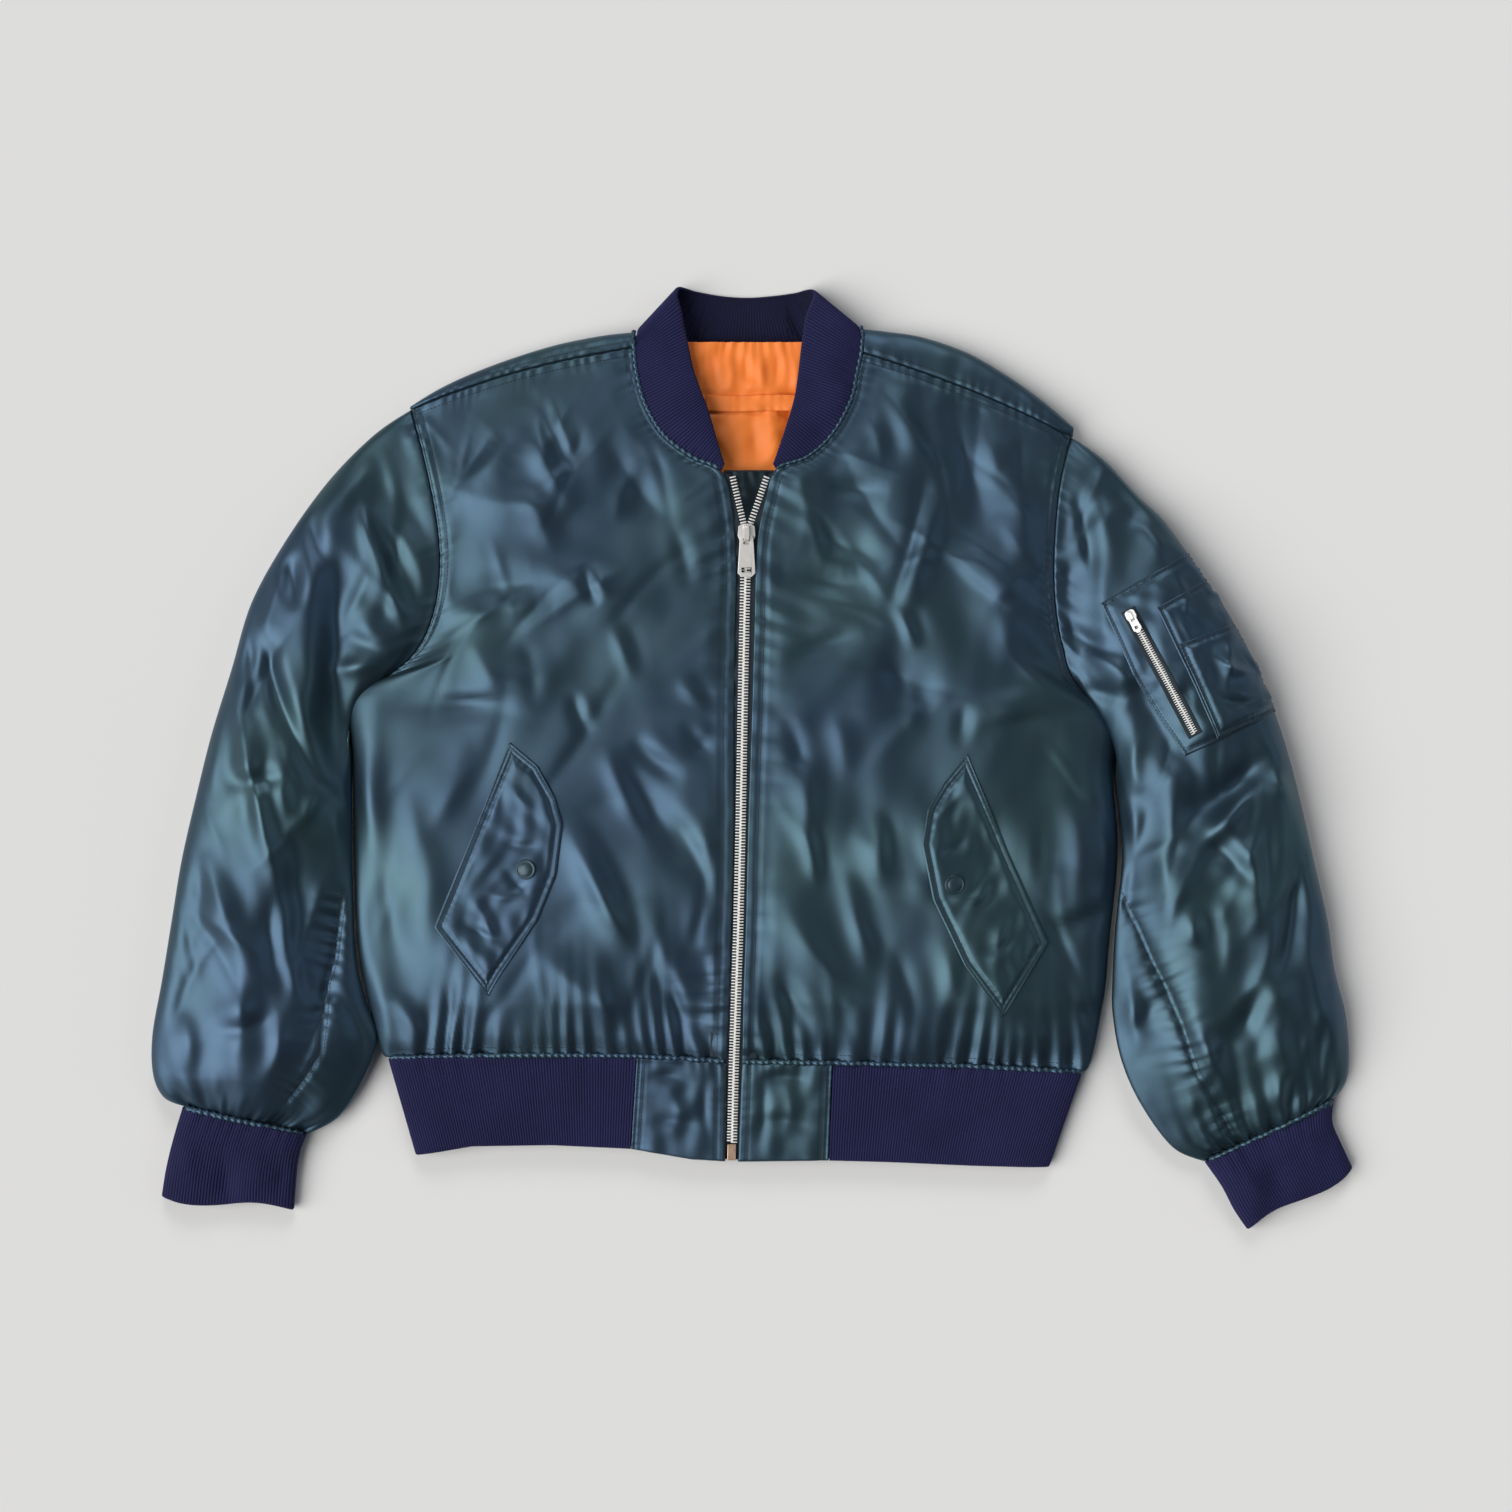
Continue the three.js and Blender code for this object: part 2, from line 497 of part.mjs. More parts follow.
// Geometry from points and triangles, turned inside out where its volume comes out negative
function solidFromTriangles(points, triangles) {
  let volume = 0;
  for (const [a, b, c] of triangles) {
    volume += points[a].dot(new THREE.Vector3().crossVectors(points[b], points[c]));
  }
  const index = triangles.flatMap(([a, b, c]) => (volume < 0 ? [a, c, b] : [a, b, c]));
  const geometry = new THREE.BufferGeometry();
  const places = points.flatMap((p) => [p.x, p.y, p.z]);
  geometry.setAttribute('position', new THREE.Float32BufferAttribute(places, 3));
  geometry.setIndex(index);
  return geometry;
}

// Boolean work on closed geometries
function toSolid(geometry) {
  const bare = geometry.clone();
  bare.deleteAttribute('normal');
  bare.deleteAttribute('uv');
  const merged = BufferGeometryUtils.mergeVertices(bare, 1e-4);
  return new manifold.Manifold(new manifold.Mesh({
    numProp: 3,
    vertProperties: new Float32Array(merged.attributes.position.array),
    triVerts: new Uint32Array(merged.index.array),
  }));
}

function fromSolid(solid) {
  const mesh = solid.getMesh();
  const geometry = new THREE.BufferGeometry();
  geometry.setAttribute('position', new THREE.Float32BufferAttribute(mesh.vertProperties, 3));
  geometry.setIndex(Array.from(mesh.triVerts));
  return geometry;
}

function joined(...geometries) {
  return fromSolid(geometries.map(toSolid).reduce((all, next) => all.add(next)));
}

// An upright block over an outline on the plan
function blockOver(outline, low, high) {
  const shape = new THREE.Shape(outline.map((point) => new THREE.Vector2(point.x, point.y)));
  const block = new THREE.ExtrudeGeometry(shape, { depth: high - low, bevelEnabled: false });
  return block.translate(0, 0, low);
}

// Fronts

const sideCurves = {};
const edgeCurves = {};
for (const side of ['right', 'left']) {
  sideCurves[side] = curveThrough(frontRows[side], 'sideX', 'sideY');
  edgeCurves[side] = curveThrough(frontRows[side], 'edgeX', 'edgeY');
}
const sidePlace = (side, row) => sideCurves[side].getPoint(row / lastRow);
const edgePlace = (side, row) => edgeCurves[side].getPoint(row / lastRow);

function frontHeight(y) {
  return lookUp(frontHeights, 'y', 'height', y);
}

function waistSeamY(x) {
  return lookUp(waistSeam, 'x', 'y', x);
}

// Height of the top of a front at the armhole or side end of a row
function frontEndHeight(row) {
  if (row < armpitRow) return lookUp(armholeHeights, 'part', 'height', row / armpitRow);
  return sideHeight + seamGap / 2;
}

// Plan place on a front: part 0 at the side and 1 at the zip, settled onto the waist seam at the last row
function frontPlace(side, row, part) {
  const from = sidePlace(side, row);
  const to = edgePlace(side, row);
  const x = mix(from.x, to.x, part);
  let y = mix(from.y, to.y, part);
  y += shoulderBow[side] * Math.sin(Math.PI * clamp01(part)) * Math.max(0, 1 - row / 2);
  const settle = smooth(row - lastRow + 1);
  y = mix(y, waistSeamY(x) + seamGap * 1.5, settle);
  return { x, y };
}

function frontTop(side, row, part, place) {
  const from = sidePlace(side, row);
  const to = edgePlace(side, row);
  const fromSide = Math.hypot(place.x - from.x, place.y - from.y);
  const fromEdge = Math.hypot(place.x - to.x, place.y - to.y);
  const end = frontEndHeight(row);
  const folded = smooth((row - 7) / 1.2);
  const soft = smooth(fromSide / armholeRise);
  const rise = mix(soft, roll(fromSide, sideRadius), folded);
  const shoulder = mix(shoulderSeamHeight, frontHeight(place.y), smooth(row / 2.5));
  let height = mix(end, shoulder, rise);
  const byZip = smooth((fromEdge - tapeUnderShell) / zipEdgeCalm);
  const calm = byZip * smooth(fromSide / 30) * smooth(row / 0.8);
  const aboveSeam = place.y - waistSeamY(place.x);
  height -= foldDepth(frontFolds, place.x, place.y) * calm * smooth(aboveSeam / 14);
  height -= gatherDepth(waistGathers, place.x, aboveSeam) * byZip * smooth(fromSide / 20);
  return height;
}

function evenParts(count) {
  return Array.from({ length: count + 1 }, (unused, i) => i / count);
}

// Columns for the gathered rows: the usual ones near the ends and even ones between
function gatheredColumns() {
  const near = frontColumns.filter((part) => part < 0.08);
  return [...near, ...evenParts(44).filter((part) => part >= 0.085)];
}

function frontRowsOf(side) {
  const rows = [];
  for (const row of [...armholeRows, ...sideRows, ...gatheredRows]) {
    const columns = row < gatheredRows[0] ? frontColumns : gatheredColumns();
    const from = sidePlace(side, row);
    const to = edgePlace(side, row);
    const length = Math.hypot(to.x - from.x, to.y - from.y);
    const inset = (seamGap * 0.8) / length;
    const profile = columns.map((column) => {
      const part = mix(inset, 1 - inset, column);
      return { part, key: column, z: frontTop(side, row, part, frontPlace(side, row, part)) };
    });
    const turn = (Math.PI / 2) * smooth((row - 7.2) / 0.8);
    rows.push(wallRow((part) => frontPlace(side, row, part), profile, {
      wall: shellWall,
      startNormal: { along: -Math.sin(turn), z: Math.cos(turn) },
      endNormal: { along: 0, z: 1 },
    }));
  }
  return rows;
}

const frontWallRows = { right: frontRowsOf('right'), left: frontRowsOf('left') };

// Sleeves

// Parts of a sleeve section across its width; the armhole section has the fronts' own rows
const armholeParts = armholeRows.map((row) => row / armpitRow);
const sleeveTopParts = [
  0, 0.012, 0.045, 0.1, 0.165, 0.235, 0.305, 0.375, 0.445, 0.515, 0.585, 0.655, 0.725, 0.79,
  0.85, 0.905, 0.955, 0.988, 1];
const sleeveBottomParts = [0.955, 0.87, 0.6, 0.4, 0.13, 0.045];

function sleeveRow(side, station, name) {
  const rows = sleeveRows[side];
  const low = Math.min(Math.floor(station), lastSleeveRow - 1);
  const a = rows[low][name];
  const b = rows[low + 1][name];
  return mix(a, b, station - low);
}

const sleeveOuter = {
  right: curveThrough(sleeveRows.right, 'outerX', 'outerY'),
  left: curveThrough(sleeveRows.left, 'outerX', 'outerY'),
};
const sleeveInner = {
  right: curveThrough(sleeveRows.right, 'innerX', 'innerY'),
  left: curveThrough(sleeveRows.left, 'innerX', 'innerY'),
};

// The armhole's own curve, moved off the body by the seam's gap. Between the rows it is straight.
function armholePlace(side, part) {
  const ends = [sleeveRows[side][0].outerX, sleeveRows[side][0].outerY];
  if (part <= 0) return { x: ends[0], y: ends[1] };
  if (part >= 1) return { x: sleeveRows[side][0].innerX, y: sleeveRows[side][0].innerY };
  let k = 1;
  while (armholeParts[k] < part) k += 1;
  const span = (part - armholeParts[k - 1]) / (armholeParts[k] - armholeParts[k - 1]);
  const knot = (i) => {
    if (i === 0) return { x: ends[0], y: ends[1] };
    const first = sleeveRows[side][0];
    if (i === armholeParts.length - 1) return { x: first.innerX, y: first.innerY };
    return sidePlace(side, armholeRows[i]);
  };
  const low = knot(k - 1);
  const high = knot(k);
  return { x: mix(low.x, high.x, span), y: mix(low.y, high.y, span) };
}

function sleevePlace(side, station, part) {
  const outer = sleeveOuter[side].getPoint(station / lastSleeveRow);
  const inner = sleeveInner[side].getPoint(station / lastSleeveRow);
  const straight = { x: mix(outer.x, inner.x, part), y: mix(outer.y, inner.y, part) };
  const keep = sleeveRow(side, station, 'curve');
  const first = sleeveRows[side][0];
  const hole = armholePlace(side, part);
  const curveX = hole.x - mix(first.outerX, first.innerX, clamp01(part));
  const curveY = hole.y - mix(first.outerY, first.innerY, clamp01(part));
  const away = side === 'right' ? -1 : 1;
  const gap = station === 0 ? seamGap * away : 0;
  return { x: straight.x + curveX * keep + gap, y: straight.y + curveY * keep };
}

function sleeveLength(side, station) {
  const outer = sleevePlace(side, station, 0);
  const inner = sleevePlace(side, station, 1);
  return Math.hypot(outer.x - inner.x, outer.y - inner.y);
}

function sleeveEdge(side, station) {
  const height = sleeveRow(side, station, 'height');
  return mix(sideHeight, height * sleeveEdgeShare, smooth(station / capBlendRows));
}

function sleeveTop(side, station, part) {
  const width = sleeveLength(side, station);
  const edge = sleeveEdge(side, station);
  const height = sleeveRow(side, station, 'height');
  const round = roll(part * width, sleeveOuterRadius) * roll((1 - part) * width, sleeveInnerRadius);
  let top = mix(edge, height, round);
  const seam = mix(sideHeight, lookUp(armholeHeights, 'part', 'height', part), roll(part * width, 10));
  top = mix(seam, top, smooth(station / capBlendRows));
  const place = sleevePlace(side, station, part);
  const inside = smooth((part * width) / 26) * smooth(((1 - part) * width) / 20);
  const start = smooth(station / 1.2);
  const fromCuff = (lastSleeveRow - station) * 24;
  top -= foldDepth(sleeveFolds, place.x, place.y) * inside * start * smooth(fromCuff / 30);
  const along = part * width;
  top -= gatherDepth(cuffGathers, along, fromCuff) * inside;
  return Math.max(top, sideHeight * 0.9);
}

function sleeveUnderside(side, station, part) {
  const width = sleeveLength(side, station);
  const edge = sleeveEdge(side, station);
  const near = Math.min(part, 1 - part) * width;
  return edge * (1 - roll(near, undersideRadius));
}

function ringProfile(topParts, bottomParts, topZ, bottomZ) {
  const over = topParts.map((part) => ({ part, key: part / 2, z: topZ(part) }));
  const under = bottomParts.map((part) => ({ part, key: 1 - part / 2, z: bottomZ(part) }));
  return [...over, ...under];
}

function sleeveRowsOf(side) {
  return sleeveStations.map((station) => {
    const atHole = station === 0;
    const topParts = atHole ? armholeParts : sleeveTopParts;
    const bottomParts = atHole ? armholeParts.slice(1, -1).reverse() : sleeveBottomParts;
    const profile = ringProfile(
      topParts, bottomParts,
      (part) => sleeveTop(side, station, part), (part) => sleeveUnderside(side, station, part),
    );
    return wallRow((part) => sleevePlace(side, station, part), profile, { wall: shellWall, closed: true });
  });
}

const sleeveWallRows = { right: sleeveRowsOf('right'), left: sleeveRowsOf('left') };

// Back, flat on the surface, its edges turned up to meet the fronts

function backPlace(row, part) {
  const from = sidePlace('right', row);
  const to = sidePlace('left', row);
  const x = mix(from.x, to.x, part);
  const y = mix(mix(from.y, to.y, part), waistSeamY(x) + seamGap * 1.5, smooth(row - lastRow + 1));
  return { x, y };
}

function backUnderside(row, part) {
  const from = sidePlace('right', row);
  const to = sidePlace('left', row);
  const width = Math.hypot(to.x - from.x, to.y - from.y);
  const near = Math.min(part, 1 - part) * width;
  const upright = row < armpitRow
    ? sleeveUnderside(part < 0.5 ? 'right' : 'left', 0, row / armpitRow) * smooth((row - 7) / 1)
    : sideHeight - seamGap / 2;
  return upright * (1 - roll(near, undersideRadius));
}

function backRowFor(row) {
  const from = sidePlace('right', row);
  const to = sidePlace('left', row);
  const inset = (seamGap * 0.8) / Math.hypot(to.x - from.x, to.y - from.y);
  const profile = backColumns.map((column) => {
    const part = mix(inset, 1 - inset, column);
    return { part, key: column, z: backUnderside(row, part) };
  });
  const turn = (Math.PI / 2) * smooth((row - 7.2) / 0.8);
  return wallRow((part) => backPlace(row, part), profile, {
    wall: shellWall,
    facing: -1,
    startNormal: { along: -Math.sin(turn), z: -Math.cos(turn) },
    endNormal: { along: Math.sin(turn), z: -Math.cos(turn) },
  });
}

// The part of the back above the armholes' tops, up to the shoulders and the back of the neck
const yokeTop = [
  { x: -271, y: 268 }, { x: -225, y: 290 }, { x: -158, y: 314 }, { x: -96, y: 326 }, { x: -40, y: 329.8 },
  { x: -7, y: 328.8 }, { x: 30, y: 329.8 }, { x: 84, y: 327 },
  { x: 135, y: 316 }, { x: 200, y: 290 }, { x: 251, y: 252 },
];

function backYokeRow(part) {
  const low = backPlace(0, part);
  const y = lookUp(yokeTop, 'x', 'y', low.x);
  return { x: low.x, y: Math.max(y, low.y) };
}

// The yoke is a flat sheet between the tip-to-tip line and the neck
function yokeSolid() {
  const across = evenParts(20).map((part) => mix(0.004, 0.996, part));
  const outline = across.map((part) => {
    const place = backYokeRow(part);
    return { x: place.x, y: place.y };
  });
  const foot = [...across].reverse().map((part) => backPlace(1.2, part));
  return blockOver([...outline, ...foot.map((place) => ({ x: place.x, y: place.y }))], 0, shellWall);
}

// Where the shoulder seam lies at a place along the shoulder
function shoulderSeamY(side, x) {
  const tip = sidePlace(side, 0);
  const neck = edgePlace(side, 0);
  return frontPlace(side, 0, clamp01((x - tip.x) / (neck.x - tip.x))).y;
}

// The strip that rolls over a shoulder and comes forward to the shoulder seam
function wrapSolid(side) {
  const stations = shoulderWraps[side];
  const tipLean = side === 'right' ? 0.3 : -0.3;
  const rows = stations.map((station, i) => {
    const lean = tipLean * smooth((i / (stations.length - 1) - 0.5) * 2);
    const place = (part) => ({ x: station.x + lean * part, y: station.y - part });
    let width = 0;
    for (let round = 0; round < 5; round += 1) {
      width = station.y - shoulderSeamY(side, station.x + lean * width) - seamGap * 2;
    }
    const fold = wrapRound.map((point) => ({ part: point.inward, z: point.height }));
    const forward = [0.12, 0.4, 1].map((share) => ({
      part: width * share,
      z: mix(sideHeight, shoulderSeamHeight, roll(share, 1)),
    }));
    const all = [...fold, ...forward];
    const profile = all.map((point, k) => ({ ...point, key: k / (all.length - 1) }));
    return wallRow(place, profile, {
      wall: Math.min(shellWall, width * 0.6),
      facing: 1,
      startNormal: { along: 0, z: -1 },
      endNormal: { along: 0, z: 1 },
    });
  });
  return solidBetween(rows, 'outer', 'inner');
}

const backMainRows = [...armholeRows, ...sideRows, ...gatheredRows].map(backRowFor);

// Collar: a folded rib that runs from zip to zip round the neck

function collarStations() {
  const fronts = (side) => armholeRows.filter((row) => row <= neckEndRow).map((row) => {
    const seam = edgePlace(side, row);
    const free = curveThrough(collarFree[side], 'x', 'y').getPoint((neckEndRow - row) / neckEndRow);
    const lean = { x: free.x - seam.x, y: free.y - seam.y };
    const length = Math.hypot(lean.x, lean.y);
    const off = (seamGap * 1.6) / length;
    const height = frontTop(side, row, 1, seam);
    return {
      seamX: seam.x + lean.x * off, seamY: seam.y + lean.y * off, freeX: free.x, freeY: free.y,
      seamZ: height, freeZ: height + 1,
    };
  });
  const round = collarBack.map((row) => ({ ...row, seamZ: row.height, freeZ: row.height }));
  return [...fronts('right').reverse(), ...round, ...fronts('left')];
}

const collarCrown = 1.5;

function collarSolid() {
  const stations = collarStations();
  const rows = stations.map((station) => {
    const length = Math.hypot(station.freeX - station.seamX, station.freeY - station.seamY);
    const crown = station.seamZ > 20 ? collarCrown * smooth(length / 30) : 0;
    return collarParts.map((part) => new THREE.Vector3(
      mix(station.seamX, station.freeX, part),
      mix(station.seamY, station.freeY, part),
      mix(station.seamZ, station.freeZ, part) + crown * Math.sin(Math.PI * part),
    ));
  });
  const walls = rows.map((row, r) => {
    const before = rows[Math.max(0, r - 1)];
    const after = rows[Math.min(rows.length - 1, r + 1)];
    const inner = row.map((point, i) => {
      const along = new THREE.Vector3().subVectors(after[i], before[i]);
      const next = row[Math.min(i + 1, row.length - 1)];
      const across = new THREE.Vector3().subVectors(next, row[Math.max(i - 1, 0)]);
      const normal = new THREE.Vector3().crossVectors(across, along).normalize();
      const level = Math.abs(normal.z) > 0.8;
      if (level) normal.set(0, 0, Math.sign(normal.z));
      return point.clone().addScaledVector(normal, -ribWall);
    });
    return { outer: row, inner, keys: collarParts, closed: false };
  });
  return solidBetween(walls, 'outer', 'inner');
}

// Waist rib: one strip from the right tab round the back to the left tab

const tabSeams = { right: { topX: -94, lowX: -99 }, left: { topX: 63, lowX: 60 } };
const waistParts = [0, 0.25, 0.5, 0.75, 1];

function waistRowPlace(share) {
  const from = mix(-294, -272, share);
  const to = mix(264, 238, share);
  return (part) => {
    const x = mix(from, to, part);
    return { x, y: mix(waistSeamY(x) - seamGap, lookUp(lowerEdge, 'x', 'y', x), share) };
  };
}

function waistRibSolid() {
  const rows = waistParts.map((share) => {
    const place = waistRowPlace(share);
    const from = mix(-294, -272, share);
    const to = mix(264, 238, share);
    const width = to - from;
    const middle = frontHeight(mix(-242, -318, share));
    const fold = middle * 0.5;
    const ends = {
      right: (mix(tabSeams.right.topX, tabSeams.right.lowX, share) - seamGap / 2 - from) / width,
      left: (mix(tabSeams.left.topX, tabSeams.left.lowX, share) + seamGap / 2 - from) / width,
    };
    const top = (part) => {
      const near = Math.min(part, 1 - part) * width;
      return mix(fold, frontHeight(place(part).y), roll(near, sideRadius));
    };
    const bottom = (part) => fold * (1 - roll(Math.min(part, 1 - part) * width, undersideRadius));
    const nearParts = [0.005, 0.018, 0.04, 0.08];
    const rightTop = [ends.right, 0.27, 0.186, ...[...nearParts].reverse()];
    const leftTop = [...nearParts.map((part) => 1 - part), 0.832, 0.74, ends.left];
    const under = [0.005, 0.012, 0.024, 0.186, 0.358, 0.498, 0.64, 0.832, 0.976, 0.988, 0.995];
    const points = [
      ...rightTop.map((part) => ({ part, z: top(part) })),
      { part: 0, z: fold },
      ...under.map((part) => ({ part, z: bottom(part) })),
      { part: 1, z: fold },
      ...leftTop.map((part) => ({ part, z: top(part) })),
    ];
    const profile = points.map((point, i) => ({ ...point, key: i / (points.length - 1) }));
    return wallRow(place, profile, {
      wall: ribWall,
      facing: -1,
      startNormal: { along: 0, z: 1 },
      endNormal: { along: 0, z: 1 },
    });
  });
  return solidBetween(rows, 'outer', 'inner');
}

// Cloth tab between the rib and the zip, at the front of the waist
function waistTabSolid(side) {
  const sign = side === 'right' ? -1 : 1;
  const seam = tabSeams[side];
  const edge = side === 'right' ? { topX: -22, lowX: -23 } : { topX: -10, lowX: -13 };
  const rows = waistParts.map((share) => {
    const from = mix(seam.topX, seam.lowX, share) - (sign * seamGap) / 2;
    const to = mix(edge.topX, edge.lowX, share);
    const place = (part) => {
      const x = mix(from, to, part);
      return { x, y: mix(waistSeamY(x) - seamGap, lookUp(lowerEdge, 'x', 'y', x), share) };
    };
    const height = (part) => frontHeight(place(part).y);
    const profile = [0, 0.25, 0.5, 0.75, 1].map((part) => ({ part, key: part, z: height(part) }));
    return wallRow(place, profile, {
      wall: tabWall, startNormal: { along: 0, z: 1 }, endNormal: { along: 0, z: 1 },
    });
  });
  return solidBetween(rows, 'outer', 'inner');
}

// Cuffs

function cuffSolid(side) {
  const stations = [0, 0.5, 1, 1.5, 2, 2.5, 3];
  const lastCuffRow = 3;
  const outer = curveThrough(cuffRows[side], 'outerX', 'outerY');
  const inner = curveThrough(cuffRows[side], 'innerX', 'innerY');
  const topParts = [0, 0.015, 0.05, 0.11, 0.2, 0.3, 0.4, 0.5, 0.6, 0.7, 0.8, 0.89, 0.95, 0.985, 1];
  const bottomParts = [0.95, 0.86, 0.5, 0.14, 0.05];
  const rows = stations.map((station) => {
    const a = outer.getPoint(station / lastCuffRow);
    const b = inner.getPoint(station / lastCuffRow);
    const width = Math.hypot(a.x - b.x, a.y - b.y);
    const wave = 3.5 * smooth(station - 2);
    const runX = (b.y - a.y) / width;
    const runY = (a.x - b.x) / width;
    const turn = side === 'right' ? 1 : -1;
    const place = (part) => {
      const out = wave * Math.sin(2 * Math.PI * part) * turn;
      return { x: mix(a.x, b.x, part) + runX * out, y: mix(a.y, b.y, part) + runY * out };
    };
    const low = Math.min(Math.floor(station), lastCuffRow - 1);
    const height = mix(cuffRows[side][low].height, cuffRows[side][low + 1].height, station - low);
    const edge = height * 0.42;
    const top = (part) => {
      const round = roll(Math.min(part, 1 - part) * width, 18);
      const spot = place(part);
      const inside = smooth((Math.min(part, 1 - part) * width) / 16);
      return mix(edge, height, round) - foldDepth(cuffFolds, spot.x, spot.y) * inside;
    };
    const bottom = (part) => edge * (1 - roll(Math.min(part, 1 - part) * width, 11));
    return wallRow(place, ringProfile(topParts, bottomParts, top, bottom), { wall: ribWall, closed: true });
  });
  return solidBetween(rows, 'outer', 'inner');
}

// Flat sheets inside the neck

function flatSheet(rows, height, wall) {
  const parts = [0, 0.5, 1];
  const line = (row, z) => parts.map((part) => new THREE.Vector3(mix(row.rightX, row.leftX, part), row.y, z));
  const walls = rows.map((row) => ({
    outer: line(row, height(row.y) + wall),
    inner: line(row, height(row.y)),
    keys: parts,
    closed: false,
  }));
  return solidBetween(walls, 'outer', 'inner');
}

// Zip

const zipLine = [
  { y: 229, right: -24.5, left: 16 }, { y: 204, right: -18, left: 8.5 }, { y: 171, right: -14.5, left: 2 },
  { y: 111, right: -15, left: 0 }, { y: 39, right: -16, left: -2 }, { y: -49, right: -16, left: -5 },
  { y: -137, right: -18, left: -7 }, { y: -197, right: -20, left: -9 }, { y: -243, right: -22, left: -10 },
  { y: -323, right: -23, left: -13 },
];

function zipMiddle(y) {
  return (lookUp(zipLine, 'y', 'right', y) + lookUp(zipLine, 'y', 'left', y)) / 2;
}

function evenSteps(from, to, count) {
  return evenParts(count).map((part) => mix(from, to, part));
}

// Rows of a flat strip along the zip, from one height to another under the front's top
function zipStrip(ys, leftOf, rightOf, topDrop, wall) {
  const walls = ys.map((y) => {
    const top = frontHeight(y) - topDrop;
    const xs = [leftOf(y), rightOf(y)];
    return {
      outer: xs.map((x) => new THREE.Vector3(x, y, top)),
      inner: xs.map((x) => new THREE.Vector3(x, y, top - wall)),
      keys: [0, 1],
      closed: false,
    };
  });
  return solidBetween(walls, 'outer', 'inner');
}

// below the slider, down to the start of the hem, and on to the end of each tape
const closedTopY = 169.5;
const closedLowY = -190;
const hemTopY = -200;
const tapeEndY = -319;
const openToothHalf = 2;
const tapeYs = [
  ...evenSteps(zipTopY, teethMeetY, 4), ...evenSteps(closedTopY, closedLowY, 12), ...evenSteps(hemTopY, tapeEndY, 10),
];
const openTeethEnd = { right: -18, left: 11.5 };

// Middle of the row of teeth on one tape above the slider
function openTeethX(side, y) {
  const sign = side === 'right' ? -1 : 1;
  const closedX = zipMiddle(teethMeetY) + sign * 3.2;
  return mix(closedX, openTeethEnd[side], (y - teethMeetY) / (zipTopY - teethMeetY));
}

function tapeSolid(side) {
  const sign = side === 'right' ? -1 : 1;
  const inner = (y) => (y > teethMeetY - 1
    ? openTeethX(side, y) + sign * 2.4
    : zipMiddle(y) + sign * (chainHalfWidth + seamGap));
  const outer = (y) => lookUp(zipLine, 'y', side, y) + sign * tapeUnderShell;
  return zipStrip(tapeYs, inner, outer, tapeDrop, sheetWall);
}

function chainSolid() {
  const ys = [...evenSteps(closedTopY, closedLowY, 12), ...evenSteps(hemTopY, hemStopY + 0.5, 10)];
  const right = (y) => zipMiddle(y) - chainHalfWidth;
  const left = (y) => zipMiddle(y) + chainHalfWidth;
  return zipStrip(ys, right, left, chainBelowShell, chainDepth);
}

function openTeethSolid(side) {
  const ys = evenSteps(zipTopY, teethMeetY, 4);
  const right = (y) => openTeethX(side, y) - openToothHalf;
  const left = (y) => openTeethX(side, y) + openToothHalf;
  return zipStrip(ys, right, left, chainBelowShell, chainDepth);
}

// Slider: a plate, a core between the rows of teeth, and an arch that holds the pull tab
function sliderSolid(size, coreDepth) {
  const half = size.width / 2;
  const end = size.length / 2;
  const plate = blockOver([
    { x: -half * 0.62, y: -end }, { x: half * 0.62, y: -end },
    { x: half, y: -end * 0.2 }, { x: half * 0.92, y: end * 0.75 },
    { x: half * 0.5, y: end }, { x: -half * 0.5, y: end },
    { x: -half * 0.92, y: end * 0.75 }, { x: -half, y: -end * 0.2 },
  ], 0, size.plate);
  const core = blockOver([
    { x: -half * 0.5, y: -end * 0.95 }, { x: half * 0.5, y: -end * 0.95 },
    { x: half * 0.5, y: end * 0.95 }, { x: -half * 0.5, y: end * 0.95 },
  ], -coreDepth, size.plate / 2);
  const base = size.plate * 0.5;
  const top = size.plate + size.archRise;
  const wall = size.archWall;
  const legs = [-end * 0.8, -end * 0.8 + wall, end * 0.8 - wall, end * 0.8];
  const side = new THREE.Shape([
    new THREE.Vector2(legs[0], base), new THREE.Vector2(legs[1], base),
    new THREE.Vector2(legs[1], top - wall), new THREE.Vector2(legs[2], top - wall * 1.3),
    new THREE.Vector2(legs[2], base), new THREE.Vector2(legs[3], base),
    new THREE.Vector2(legs[3], top - wall * 1.2), new THREE.Vector2(legs[2], top - wall * 0.3),
    new THREE.Vector2(legs[1], top), new THREE.Vector2(legs[0], top - wall * 0.8),
  ]);
  const arch = new THREE.ExtrudeGeometry(side, { depth: size.archWidth, bevelEnabled: false });
  arch.translate(0, 0, -size.archWidth / 2);
  arch.applyMatrix4(new THREE.Matrix4().makeBasis(
    new THREE.Vector3(0, 1, 0), new THREE.Vector3(0, 0, 1), new THREE.Vector3(1, 0, 0),
  ));
  return joined(plate, core, arch);
}

